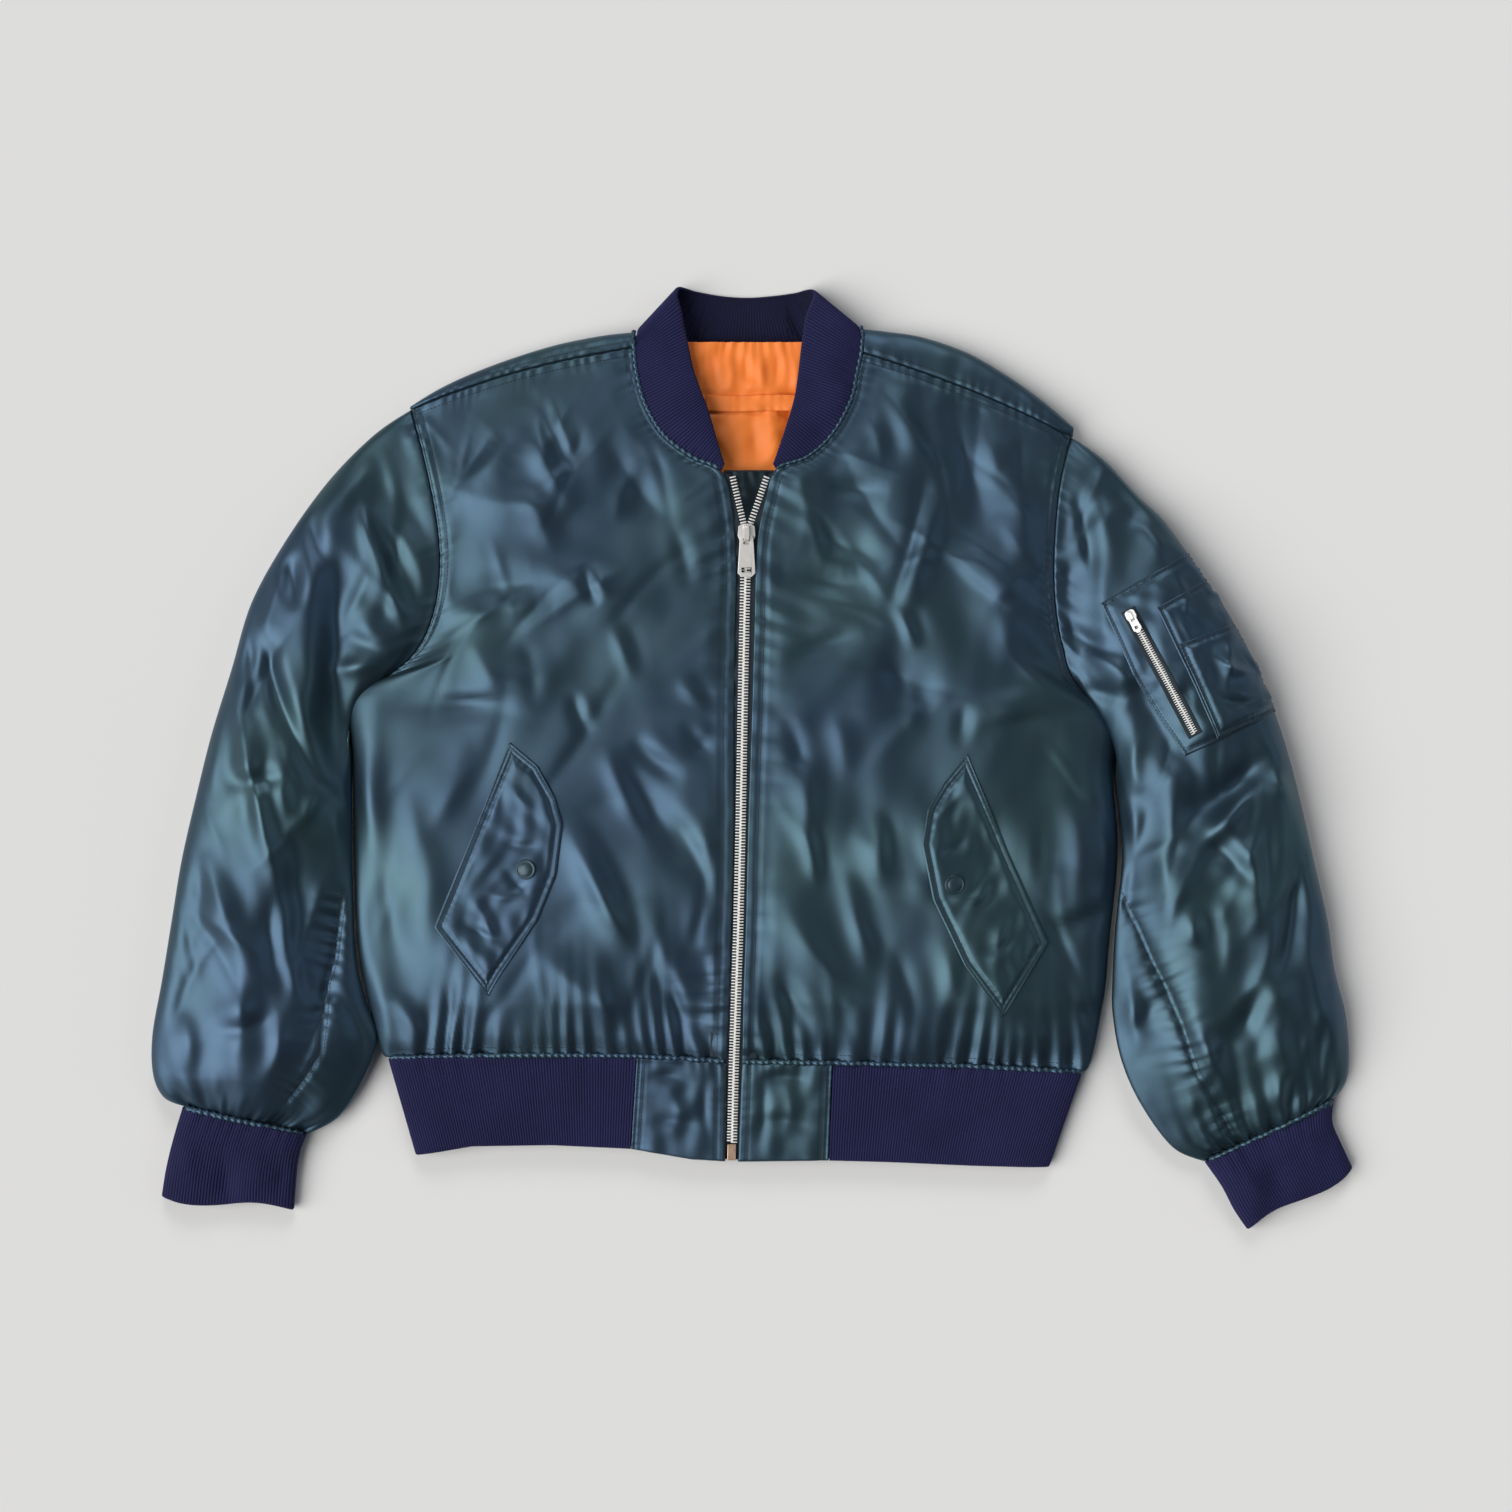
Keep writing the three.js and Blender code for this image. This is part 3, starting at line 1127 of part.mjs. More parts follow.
// Pull tab, drawn from the middle of its hinge bar, hanging along -Y
function pullSolid(size) {
  const halfTop = size.topWidth / 2;
  const halfEnd = size.endWidth / 2;
  const head = size.bar / 2;
  const endY = -size.length - size.reach;
  const corner = 3;
  const plate = new THREE.Shape([
    new THREE.Vector2(-halfTop * 0.8, head), new THREE.Vector2(-halfTop, -head * 2),
    new THREE.Vector2(-halfEnd, endY + corner), new THREE.Vector2(-halfEnd + corner, endY),
    new THREE.Vector2(halfEnd - corner, endY), new THREE.Vector2(halfEnd, endY + corner),
    new THREE.Vector2(halfTop, -head * 2), new THREE.Vector2(halfTop * 0.8, head),
  ]);
  const cut = (halfWidth, from, to) => new THREE.Path([
    new THREE.Vector2(-halfWidth, from), new THREE.Vector2(halfWidth, from),
    new THREE.Vector2(halfWidth, to), new THREE.Vector2(-halfWidth, to),
  ]);
  plate.holes.push(cut(size.window / 2, -head, -size.reach));
  const slotY = -size.length - size.reach + 3.5;
  plate.holes.push(cut(size.slotWidth / 2, slotY + size.slotLength, slotY));
  const solid = new THREE.ExtrudeGeometry(plate, { depth: size.plate, bevelEnabled: false });
  return solid.translate(0, 0, -size.plate / 2);
}

function scaled(size, factor) {
  return Object.fromEntries(Object.entries(size).map(([name, value]) => [name, value * factor]));
}

// What lies on a panel: the panel's own points moved out, cut to an outline
function layerOn(rows, outline, lift, wall) {
  const lifted = rows.map((row) => ({
    outer: row.outer.map((point, i) => point.clone().addScaledVector(row.normals[i], lift + wall)),
    inner: row.outer.map((point, i) => point.clone().addScaledVector(row.normals[i], lift)),
    keys: row.keys,
    closed: false,
  }));
  const slab = toSolid(solidBetween(lifted, 'outer', 'inner'));
  return fromSolid(slab.intersect(toSolid(blockOver(outline, 1, 90))));
}

// Only the top half of the sleeve's rings, in the rows that the pocket covers
function sleeveTopRows(side, fromStation, toStation) {
  const inside = (row, i) => sleeveStations[i] >= fromStation && sleeveStations[i] <= toStation;
  const rows = sleeveWallRows[side].filter(inside);
  const count = sleeveTopParts.length;
  return rows.map((row) => ({
    outer: row.outer.slice(0, count),
    normals: row.normals.slice(0, count),
    keys: row.keys.slice(0, count),
    closed: false,
  }));
}

// The panel rows that a flap can reach
function rowsBetween(side, from, to) {
  const all = [...armholeRows, ...sideRows, ...gatheredRows];
  return frontWallRows[side].filter((row, i) => all[i] >= from && all[i] <= to);
}

// A snap's cap, domed with a raised ring
function snapSolid() {
  const profile = [
    [0, 0], [snapRadius, 0], [snapRadius, 1.1], [snapRadius * 0.88, 2], [snapRadius * 0.76, 1.7],
    [snapRadius * 0.6, 2.1], [0, 2.6],
  ];
  const points = profile.map(([radius, height]) => new THREE.Vector2(radius, height));
  return new THREE.LatheGeometry(points, 20).rotateX(Math.PI / 2);
}

// Assembly

const jacket = new THREE.Group();
const materials = {
  shell: new THREE.MeshStandardMaterial({ color: colours.shell, roughness: 0.35, metalness: 0 }),
  rib: new THREE.MeshStandardMaterial({ color: colours.rib, roughness: 0.95, metalness: 0 }),
  lining: new THREE.MeshStandardMaterial({ color: colours.lining, roughness: 0.5, metalness: 0 }),
  dark: new THREE.MeshStandardMaterial({ color: colours.dark, roughness: 0.45, metalness: 0 }),
  metal: new THREE.MeshStandardMaterial({ color: colours.metal, roughness: 0.25, metalness: 1 }),
  snap: new THREE.MeshStandardMaterial({ color: colours.snap, roughness: 0.2, metalness: 0.4 }),
  tape: new THREE.MeshStandardMaterial({ color: colours.tape, roughness: 0.8, metalness: 0 }),
};

function place(name, geometry, material, parent = jacket) {
  const mesh = new THREE.Mesh(geometry, materials[material]);
  mesh.name = name;
  parent.add(mesh);
  return mesh;
}

// Highest point of a mesh over a place on the plan, with the way its face looks
function surfaceAt(mesh, x, y) {
  const ray = new THREE.Raycaster(new THREE.Vector3(x, y, 200), new THREE.Vector3(0, 0, -1));
  mesh.updateMatrixWorld(true);
  const hit = ray.intersectObject(mesh)[0];
  return { point: hit.point, normal: hit.face.normal.clone() };
}

// A group seated on a surface, its own Y turned to a direction on the plan
function seatOn(surface, lift, towardX, towardY) {
  const up = surface.normal.clone().normalize();
  const along = new THREE.Vector3(towardX, towardY, 0);
  along.addScaledVector(up, -along.dot(up)).normalize();
  const across = new THREE.Vector3().crossVectors(along, up);
  const group = new THREE.Group();
  group.setRotationFromMatrix(new THREE.Matrix4().makeBasis(across, along, up));
  group.position.copy(surface.point).addScaledVector(up, lift);
  jacket.add(group);
  return group;
}

for (const side of ['right', 'left']) {
  place(`front_${side}`, solidBetween(frontWallRows[side], 'outer', 'inner'), 'shell');
  place(`sleeve_${side}`, solidBetween(sleeveWallRows[side], 'outer', 'inner'), 'shell');
  place(`cuff_${side}`, cuffSolid(side), 'rib');
  place(`waist_tab_${side}`, waistTabSolid(side), 'shell');
}
place('back', joined(
  solidBetween(backMainRows, 'outer', 'inner'), yokeSolid(), wrapSolid('right'), wrapSolid('left'),
), 'shell');
place('collar', collarSolid(), 'rib');
place('waist_rib', waistRibSolid(), 'rib');
place('lining_back', flatSheet(liningRows, () => shellWall + layerGap, sheetWall), 'lining');
place('hanger_strip', flatSheet([
  { y: hangerStrip.topY, rightX: hangerStrip.rightX, leftX: hangerStrip.leftX },
  { y: hangerStrip.bottomY, rightX: hangerStrip.rightX, leftX: hangerStrip.leftX },
], () => hangerStrip.height, sheetWall), 'lining');
const windFlapHeight = (y) => frontHeight(y) - tapeDrop - 2 * sheetWall - layerGap;
place('wind_flap', flatSheet(windFlapRows, windFlapHeight, sheetWall), 'dark');

// Front zip
for (const side of ['right', 'left']) {
  place(`zip_tape_${side}`, tapeSolid(side), 'tape');
  place(`zip_teeth_${side}`, openTeethSolid(side), 'metal');
}
place('zip_chain', chainSolid(), 'metal');
place('zip_stop', zipStrip(
  [hemStopY, -322], (y) => zipMiddle(y) - 3.4, (y) => zipMiddle(y) + 3.4, chainBelowShell - 0.5, 4,
), 'metal');
const sliderTop = frontHeight(sliderY) - chainBelowShell + layerGap;
const sliderMesh = place('zip_slider', sliderSolid(sliderSize, chainDepth), 'metal');
sliderMesh.position.set(zipMiddle(sliderY), sliderY, sliderTop);
const pullLean = 0.05;
const pullMesh = place('zip_pull', pullSolid(pullSize), 'metal');
pullMesh.position.set(zipMiddle(sliderY), sliderY - 2.6, sliderTop + sliderSize.plate + 1.6);
pullMesh.rotation.set(pullLean, 0, 0);

// Pocket flaps and their snaps
for (const side of ['right', 'left']) {
  const flap = place(
    `flap_${side}`, layerOn(rowsBetween(side, 7.7, 12.7), flapOutlines[side], layerGap, patchWall), 'shell',
  );
  const spot = surfaceAt(flap, snapPlaces[side].x, snapPlaces[side].y);
  const seat = seatOn(spot, layerGap * 1.5, 0, 1);
  place(`snap_${side}`, snapSolid(), 'snap', seat);
}

// Pocket on the wearer's left sleeve, with its zip and the pen pockets
const pocketRows = sleeveTopRows('left', 1, 9);
const stack = layerGap + patchWall;
place('sleeve_pocket', layerOn(pocketRows, sleevePocketOutline, layerGap, patchWall), 'shell');
place('pen_base', layerOn(pocketRows, penBaseOutline, layerGap + stack, patchWall), 'shell');
place('pen_pocket', layerOn(pocketRows, penPocketOutline, layerGap + 2 * stack, patchWall), 'shell');

function zipBand(width, fromPart, toPart) {
  const runX = sleeveZip.bottomX - sleeveZip.topX;
  const runY = sleeveZip.bottomY - sleeveZip.topY;
  const length = Math.hypot(runX, runY);
  const side = { x: (-runY / length) * (width / 2), y: (runX / length) * (width / 2) };
  const at = (part, sign) => ({
    x: sleeveZip.topX + runX * part + side.x * sign, y: sleeveZip.topY + runY * part + side.y * sign,
  });
  return [at(fromPart, 1), at(toPart, 1), at(toPart, -1), at(fromPart, -1)];
}
const sleeveTape = place(
  'sleeve_zip_tape',
  layerOn(pocketRows, zipBand(sleeveZip.tapeWidth, 0.01, 1.01), layerGap + stack, sleeveTapeWall),
  'tape',
);
place(
  'sleeve_zip_chain',
  layerOn(pocketRows, zipBand(sleeveZip.chainWidth, 0.13, 0.99), 2 * layerGap + stack + sleeveTapeWall, 1.4),
  'metal',
);
const sleeveSliderSize = scaled(sliderSize, sleeveZipScale);
const sleevePullSize = {
  ...scaled(pullSize, sleeveZipScale), length: 10, topWidth: 6, endWidth: 7, slotWidth: 3, slotLength: 2.4,
};
const sleeveSliderSpot = surfaceAt(sleeveTape, 298.5, 112.5);
const zipRunX = sleeveZip.topX - sleeveZip.bottomX;
const zipRunY = sleeveZip.topY - sleeveZip.bottomY;
const sleeveSeat = seatOn(sleeveSliderSpot, 1.9, zipRunX, zipRunY);
place('sleeve_zip_slider', sliderSolid(sleeveSliderSize, 1.2), 'metal', sleeveSeat);
const sleevePull = place('sleeve_zip_pull', pullSolid(sleevePullSize), 'metal', sleeveSeat);
sleevePull.position.set(0, -2.6 * sleeveZipScale, sleeveSliderSize.plate + 1.6 * sleeveZipScale);

export default jacket;
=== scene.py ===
import bpy
import numpy as np
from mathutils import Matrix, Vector
from mathutils.bvhtree import BVHTree


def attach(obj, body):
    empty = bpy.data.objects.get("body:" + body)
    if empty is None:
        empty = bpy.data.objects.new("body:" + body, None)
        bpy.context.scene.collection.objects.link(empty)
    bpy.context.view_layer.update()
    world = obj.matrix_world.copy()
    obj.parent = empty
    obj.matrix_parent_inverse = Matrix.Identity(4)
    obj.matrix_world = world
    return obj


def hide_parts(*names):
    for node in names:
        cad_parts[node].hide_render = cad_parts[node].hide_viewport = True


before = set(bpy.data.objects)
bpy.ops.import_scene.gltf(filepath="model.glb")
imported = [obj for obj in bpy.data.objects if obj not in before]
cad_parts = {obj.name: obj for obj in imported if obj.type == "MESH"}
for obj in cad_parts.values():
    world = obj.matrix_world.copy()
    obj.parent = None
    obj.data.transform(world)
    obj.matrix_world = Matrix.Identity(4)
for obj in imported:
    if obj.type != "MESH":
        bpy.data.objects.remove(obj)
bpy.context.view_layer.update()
scene = bpy.context.scene

# Surface, camera and light
# A pale grey table, seen from straight above. The light is a wide soft window on the left, with weaker
# lights from the far side and from the right.
mm = 0.001


def plain_material(name, colour, roughness, metallic=0.0):
    material = bpy.data.materials.new(name)
    material.use_nodes = True
    shader = material.node_tree.nodes["Principled BSDF"]
    shader.inputs["Base Color"].default_value = (*colour, 1)
    shader.inputs["Roughness"].default_value = roughness
    shader.inputs["Metallic"].default_value = metallic
    return material


table_half = 5.0
table_mesh = bpy.data.meshes.new("table_top")
table_mesh.from_pydata(
    [(-table_half, -table_half, 0), (table_half, -table_half, 0), (table_half, table_half, 0),
        (-table_half, table_half, 0)],
    [], [(0, 1, 2, 3)],
)
table_top = bpy.data.objects.new("table_top", table_mesh)
scene.collection.objects.link(table_top)
table_top.location.z = -0.0003
table_mesh.materials.append(plain_material("table_paper", (0.80, 0.80, 0.80), 0.95))

picture_width = 1.2096
camera_height = 2.3
picture_plane = 0.02
camera_data = bpy.data.cameras.new("camera")
camera_data.sensor_width = 36
camera_data.lens = 36 * (camera_height - picture_plane) / picture_width
camera = bpy.data.objects.new("camera", camera_data)
camera.location = (0.0016, 0.002, camera_height)
scene.collection.objects.link(camera)
scene.camera = camera

lights = [
    # name, the way it comes from, strength, spread in degrees, colour
    ("window_light", (-0.80, -0.20, 0.86), 2.98, 56, (1.0, 0.985, 0.96)),
    ("right_light", (0.92, 0.12, 0.55), 0.26, 40, (0.86, 0.92, 1.0)),
    ("far_light", (0.06, 0.86, 0.58), 0.68, 24, (1.0, 1.0, 1.0)),
]
for name, source, power, spread, colour in lights:
    light = bpy.data.lights.new(name, "SUN")
    light.energy = power
    light.angle = np.radians(spread)
    light.color = colour
    lamp = bpy.data.objects.new(name, light)
    lamp.location = Vector(source) * 3
    lamp.rotation_euler = (-Vector(source)).to_track_quat("-Z", "Y").to_euler()
    scene.collection.objects.link(lamp)

world = bpy.data.worlds.new("room")
world.use_nodes = True
world.node_tree.nodes["Background"].inputs["Color"].default_value = (0.9, 0.95, 1.0, 1)
world.node_tree.nodes["Background"].inputs["Strength"].default_value = 0.07
scene.world = world
scene.view_settings.view_transform = "Standard"

# Fronts
# Two fronts of dark petrol satin nylon over a light filling, gathered into the waist rib and topstitched
# beside the zip. The satin bunches in soft diagonal folds from the shoulder, underarm and pockets.

front_rows = {
    # armhole or side end x, y; neck or zip end x, y, from the shoulder seam down to the waist seam
    "right": [
        (-275, 280, -96, 329), (-266, 249, -94, 309), (-258, 215, -87, 283), (-252, 179, -72, 258),
        (-251, 147, -49, 240), (-256, 115, -26, 229), (-269, 87, -18, 204), (-293, 66, -14, 159),
        (-325, 52, -15, 95), (-322, -1, -16, 23), (-321, -73, -16, -57), (-318, -149, -18, -141),
        (-307, -205, -20, -201), (-294, -239, -22, -243),
    ],
    "left": [
        (254, 258, 86, 325), (248, 237, 82, 307), (243, 211, 77, 285), (240, 179, 62, 258),
        (239, 147, 42, 240), (241, 117, 17, 230), (246, 91, 9, 207), (257, 61, 2, 171),
        (290, 29, 0, 111), (288, -13, -2, 39), (292, -73, -5, -49), (285, -149, -7, -133),
        (280, -197, -9, -193), (264, -251, -10, -243),
    ],
}
last_row = 13
armpit_row = 8
neck_end_row = 5
shoulder_bow = {"right": 5.6, "left": 4.0}
# y, height of the closed front over the surface
front_heights = [
    (-330, 16), (-285, 20), (-244, 24), (-222, 31), (-195, 36), (-120, 37), (0, 36), (150, 35), (250, 33.5),
    (300, 30), (345, 25),
]
waist_seam = [(-294, -240), (-190, -237.5), (-94, -238), (-16, -243), (63, -244), (170, -246.5), (264, -252)]
# part of the armhole from the shoulder to the armpit, height of its seam
armhole_heights = [(0, 22), (0.15, 26), (0.4, 29), (0.65, 28), (0.85, 23), (0.95, 17.5), (1, 13)]
side_height = 13
side_radius = 26
shoulder_seam_height = 23
seam_gap = 0.3

# Creases: from, through and to on the plan, half width, height (a trough is negative), lip on its left side
front_creases = [
    (-180, 300, -165, 262, -140, 222, 13.8, -5.4, 0.5), (-165, 296, -152, 262, -139, 227, 6.2, 2.6, 0.4),
    (-206, 262, -222, 238, -234, 212, 18.8, -4.8, 0), (-137, 154, -131, 136, -124, 120, 5.6, -3.6, 0.7),
    (-240, 124, -196, 138, -140, 136, 12.5, -4.3, 0.3), (-250, 112, -205, 118, -160, 122, 10, 2.9, 0),
    (-144, 54, -140, 36, -130, 16, 5.6, -2.9, 0.6), (-99, 16, -80, -2, -54, -17, 7.5, -4.3, 0.6),
    (-152, -47, -126, -98, -97, -158, 10, 4.6, 0.5), (-119, 12, -104, -26, -80, -71, 8.8, 3.8, 0.4),
    (-74, -38, -48, -74, -31, -118, 7.5, -3.6, 0.6), (-82, -155, -62, -196, -34, -226, 10, -4.6, 0.5),
    (-318, 12, -313, -26, -300, -66, 11.2, 3.8, 0.4), (-254, 43, -222, 45, -188, 42, 5, -2.4, 0.5),
    (-300, 38, -250, 44, -200, 36, 12.5, -3.4, 0), (-302, -70, -290, -120, -280, -172, 12.5, -3.8, 0.5),
    (-116, 108, -104, 86, -98, 60, 6.2, 2.2, 0.6), (-66, 188, -56, 160, -52, 130, 7.5, -2.2, 0.5),
    (-88, 240, -104, 214, -110, 184, 8.8, 2.4, 0.4), (-186, 214, -170, 190, -160, 160, 10, 2.6, 0.5),
    (-228, 96, -214, 74, -206, 50, 8.8, 2.2, 0.4), (-186, 96, -176, 66, -178, 36, 7.5, -1.9, 0.4),
    (-60, 66, -48, 50, -30, 40, 6.2, 2.4, 0.5), (-58, 30, -44, 12, -28, 4, 6.2, -2.6, 0.5),
    (-128, -150, -120, -190, -112, -222, 8.8, 2.9, 0.4), (-250, -160, -242, -196, -236, -226, 8.8, -2.6, 0.4),
    (-286, -186, -276, -206, -262, -228, 7.5, 2.9, 0.5), (-40, -150, -34, -176, -26, -204, 5, -2.2, 0.5),
    (-228, 22, -240, -20, -262, -60, 11.2, 2.4, 0.3), (-276, -20, -270, -60, -272, -98, 10, 1.9, 0.3),
    (136, 228, 124, 166, 101, 108, 7.5, -5, 0.7), (114, 121, 122, 104, 128, 84, 6.2, 3.4, 0.5),
    (150, 154, 196, 122, 240, 84, 11.2, -4.6, 0.4), (166, 45, 166, 28, 160, 8, 6.2, -2.4, 0.4),
    (170, 14, 214, 31, 284, 36, 10, -5, 0.6), (54, 212, 80, 215, 108, 210, 11.2, -4.1, 0.4),
    (22, 76, 56, 90, 88, 99, 8.8, -3.4, 0.4), (38, -54, 46, -76, 49, -102, 6.2, 3.6, 0.5),
    (93, -42, 100, -62, 102, -88, 6.2, 2.9, 0.5), (68, -84, 82, -126, 91, -174, 8.8, 4.1, 0.5),
    (17, -168, 32, -196, 46, -218, 7.5, -3.6, 0.5), (276, -54, 282, -76, 278, -101, 8.8, 3.1, 0.4),
    (230, -138, 262, -130, 290, -114, 7.5, -3.6, 0.5), (248, -188, 268, -204, 284, -212, 7.5, -3.1, 0.5),
    (120, 290, 138, 262, 142, 232, 10, -2.6, 0.4), (178, 278, 190, 246, 196, 214, 11.2, 2.4, 0.3),
    (84, 284, 98, 258, 100, 234, 7.5, 2.2, 0.5), (36, 196, 50, 176, 54, 150, 7.5, 2.2, 0.4),
    (196, 196, 210, 170, 232, 150, 10, 2.4, 0.3), (120, 70, 126, 44, 122, 20, 7.5, 2.2, 0.5),
    (22, 30, 34, 10, 40, -16, 6.2, -2.4, 0.5), (60, 40, 70, 14, 72, -20, 8.8, 1.9, 0.4),
    (110, -150, 122, -182, 128, -216, 7.5, -2.4, 0.4), (206, -214, 222, -222, 240, -236, 7.5, 2.4, 0.4),
    (250, -20, 262, -36, 282, -44, 7.5, -2.4, 0.5), (220, 76, 244, 64, 276, 58, 7.5, 2.6, 0.4),
]

# wider swells and hollows of the filled fronts, in the same columns
front_swells = [
    (-171, 310, -168, 245, -140, 197, 12, 6.0, 0.2), (-250, 217, -213, 233, -193, 266, 14, 5.5, 0),
    (-250, 209, -177, 201, -104, 201, 15, 4.5, 0), (-209, 131, -140, 140, -71, 107, 18, 6.0, 0),
    (-307, 50, -303, -31, -307, -121, 14, 4.0, 0), (-282, -31, -258, -92, -270, -174, 16, 4.0, 0),
    (-140, -48, -120, -108, -91, -161, 12, 5.0, 0.2), (-91, -104, -67, -165, -47, -210, 13, 5.0, 0.2),
    (-104, 1, -71, -56, -30, -121, 13, -5.0, 0), (-177, -145, -144, -178, -104, -206, 14, 4.5, 0),
    (-120, 262, -92, 214, -60, 184, 13, -4.5, 0), (-236, 60, -190, 62, -140, 70, 15, 3.5, 0),
    (92, 310, 120, 270, 149, 229, 14, 5.0, 0), (149, 286, 173, 229, 185, 164, 15, -7.0, 0),
    (137, 213, 128, 164, 108, 107, 12, 5.0, 0.2), (153, 172, 198, 123, 246, 75, 15, 6.0, 0),
    (100, 95, 120, 58, 141, 34, 16, -6.0, 0), (169, 14, 214, 34, 271, 26, 14, 6.5, 0.2),
    (35, 1, 43, -39, 35, -88, 11, 4.5, 0), (76, -56, 96, -76, 98, -110, 12, 5.0, 0),
    (19, -104, 47, -153, 80, -198, 14, 5.5, 0), (149, -133, 157, -174, 169, -210, 12, 4.5, 0),
    (246, -11, 259, -72, 250, -133, 15, 5.0, 0), (38, 178, 70, 170, 105, 150, 12, -5.0, 0),
    (19, 160, 59, 140, 96, 144, 12, -5.0, 0), (200, -20, 190, -80, 214, -140, 16, -4.5, 0),
    (120, -20, 140, -70, 132, -120, 15, 4.5, 0), (196, 230, 214, 196, 222, 150, 13, 4.5, 0),
]


def mix(a, b, part):
    return a + (b - a) * part


def smooth(value):
    part = np.clip(value, 0, 1)
    return part * part * (3 - 2 * part)


def roll(distance, radius):
    """A rounded fold: upright at its edge and level at its radius."""
    part = np.clip(distance / radius, 0, 1)
    return np.sqrt(1 - (1 - part) ** 2)


def look_up(rows, key):
    return np.interp(key, [row[0] for row in rows], [row[1] for row in rows])


def curve_through(places, part):
    """Smooth curve through the places, at part 0 to 1 of it, with a column for each of a place's values."""
    places = np.asarray(places, float)
    last = len(places) - 1
    at = np.clip(np.asarray(part, float), 0, 1) * last
    low = np.minimum(np.floor(at).astype(int), last - 1)
    t = (at - low)[..., None]
    before = places[np.maximum(low - 1, 0)]
    here = places[low]
    ahead = places[low + 1]
    after = places[np.minimum(low + 2, last)]
    leave = (ahead - before) / 2
    arrive = (after - here) / 2
    return (
        (2 * here - 2 * ahead + leave + arrive) * t**3 + (-3 * here + 3 * ahead - 2 * leave - arrive) * t**2
        + leave * t + here
    )


def crease_height(creases, x, y):
    """How far the creases of a table lift the cloth at each place of the plan."""
    total = np.zeros_like(x)
    for from_x, from_y, by_x, by_y, to_x, to_y, width, height, lip in creases:
        reach = 3.5 * width
        near = (x > min(from_x, by_x, to_x) - reach) & (x < max(from_x, by_x, to_x) + reach)
        near &= (y > min(from_y, by_y, to_y) - reach) & (y < max(from_y, by_y, to_y) + reach)
        if not near.any():
            continue
        here = np.stack([x[near], y[near]], axis=-1)
        ends = np.array([(from_x, from_y), (to_x, to_y)], float)
        bend = 2 * np.array([by_x, by_y]) - ends.mean(axis=0)
        steps = np.linspace(0, 1, 9)[:, None]
        line = ends[0] * (1 - steps) ** 2 + 2 * bend * steps * (1 - steps) + ends[1] * steps**2
        best = np.full(len(here), 1e9)
        signed = np.zeros(len(here))
        along = np.zeros(len(here))
        for k in range(8):
            run = line[k + 1] - line[k]
            off = here - line[k]
            part = np.clip((off @ run) / (run @ run), 0, 1)
            rest = off - part[:, None] * run
            distance = np.hypot(rest[:, 0], rest[:, 1])
            closer = distance < best
            side = np.sign(run[0] * off[:, 1] - run[1] * off[:, 0])
            best = np.where(closer, distance, best)
            signed = np.where(closer, distance * side, signed)
            along = np.where(closer, (k + part) / 8, along)
        taper = np.sin(np.pi * np.clip(along, 0, 1)) ** 1.3
        body = np.exp(-np.abs(signed / width) ** 1.7)
        beside = np.exp(-(((signed - 1.7 * width) / (1.1 * width)) ** 2))
        total[near] += height * taper * (body - lip * 0.55 * beside)
    return total


def dents(x, y, seed, longest, shortest, height, count=14, drawn=(1.0, 1.0)):
    """Soft uneven dents: waves of many lengths and headings, laid over each other.
    drawn is how many times longer they lie along x and along y."""
    picker = np.random.default_rng(seed)
    x = x / drawn[0]
    y = y / drawn[1]
    total = np.zeros_like(x)
    bend_x = x + 9 * np.sin(y / 37 + seed) + 5 * np.sin(y / 17 + x / 53)
    bend_y = y + 9 * np.sin(x / 41 + 2 * seed) + 5 * np.sin(x / 19 - y / 47)
    for _ in range(count):
        length = picker.uniform(shortest, longest)
        heading = picker.uniform(0, np.pi)
        phase = picker.uniform(0, 2 * np.pi)
        wave = (bend_x * np.cos(heading) + bend_y * np.sin(heading)) * 2 * np.pi / length
        total += np.cos(wave + phase) * (length / longest) ** 0.5
    return total * height / np.sqrt(count)


def puckers(along, away, seed, pitch, depth, reach):
    """Small uneven puckers that a row of stitches pulls into the cloth, dying away from the seam."""
    wander = 2.6 * np.sin(along / (2.7 * pitch) + seed) + 1.7 * np.sin(along / (0.83 * pitch) + 2 * seed)
    uneven = 0.62 + 0.5 * np.sin(along / (3.1 * pitch) + 3 * seed) * np.sin(along / (1.3 * pitch) - seed)
    lean = away * 0.16 * np.sin(along / (3.1 * pitch) + seed)
    wave = np.sin(2 * np.pi * (along + lean) / pitch + wander)
    return -depth * uneven * (0.5 + 0.5 * wave) * np.exp(-((away / reach) ** 1.3))


def stitch_line(away, at, depth, width=1.1):
    """The shallow groove that a row of topstitches pulls into the cloth."""
    return -depth * np.exp(-(((away - at) / width) ** 2))


def scattered(seed, count, box, heading, spread, lengths, width, height):
    """Small secondary creases across a region, mostly along one heading."""
    picker = np.random.default_rng(seed)
    low_x, low_y, high_x, high_y = box
    rows = []
    for _ in range(count):
        x = picker.uniform(low_x, high_x)
        y = picker.uniform(low_y, high_y)
        turn = np.radians(heading + picker.normal(0, spread))
        half = picker.uniform(*lengths) / 2
        bow = picker.uniform(-0.25, 0.25) * half
        run = np.array([np.cos(turn), np.sin(turn)])
        side = np.array([-run[1], run[0]])
        start = np.array([x, y]) - run * half
        middle = np.array([x, y]) + side * bow
        stop = np.array([x, y]) + run * half
        size = picker.uniform(0.6, 1.4)
        sign = picker.choice([-1, 1])
        rows.append((*start, *middle, *stop, width * size, height * size * sign, picker.uniform(0, 0.8)))
    return rows


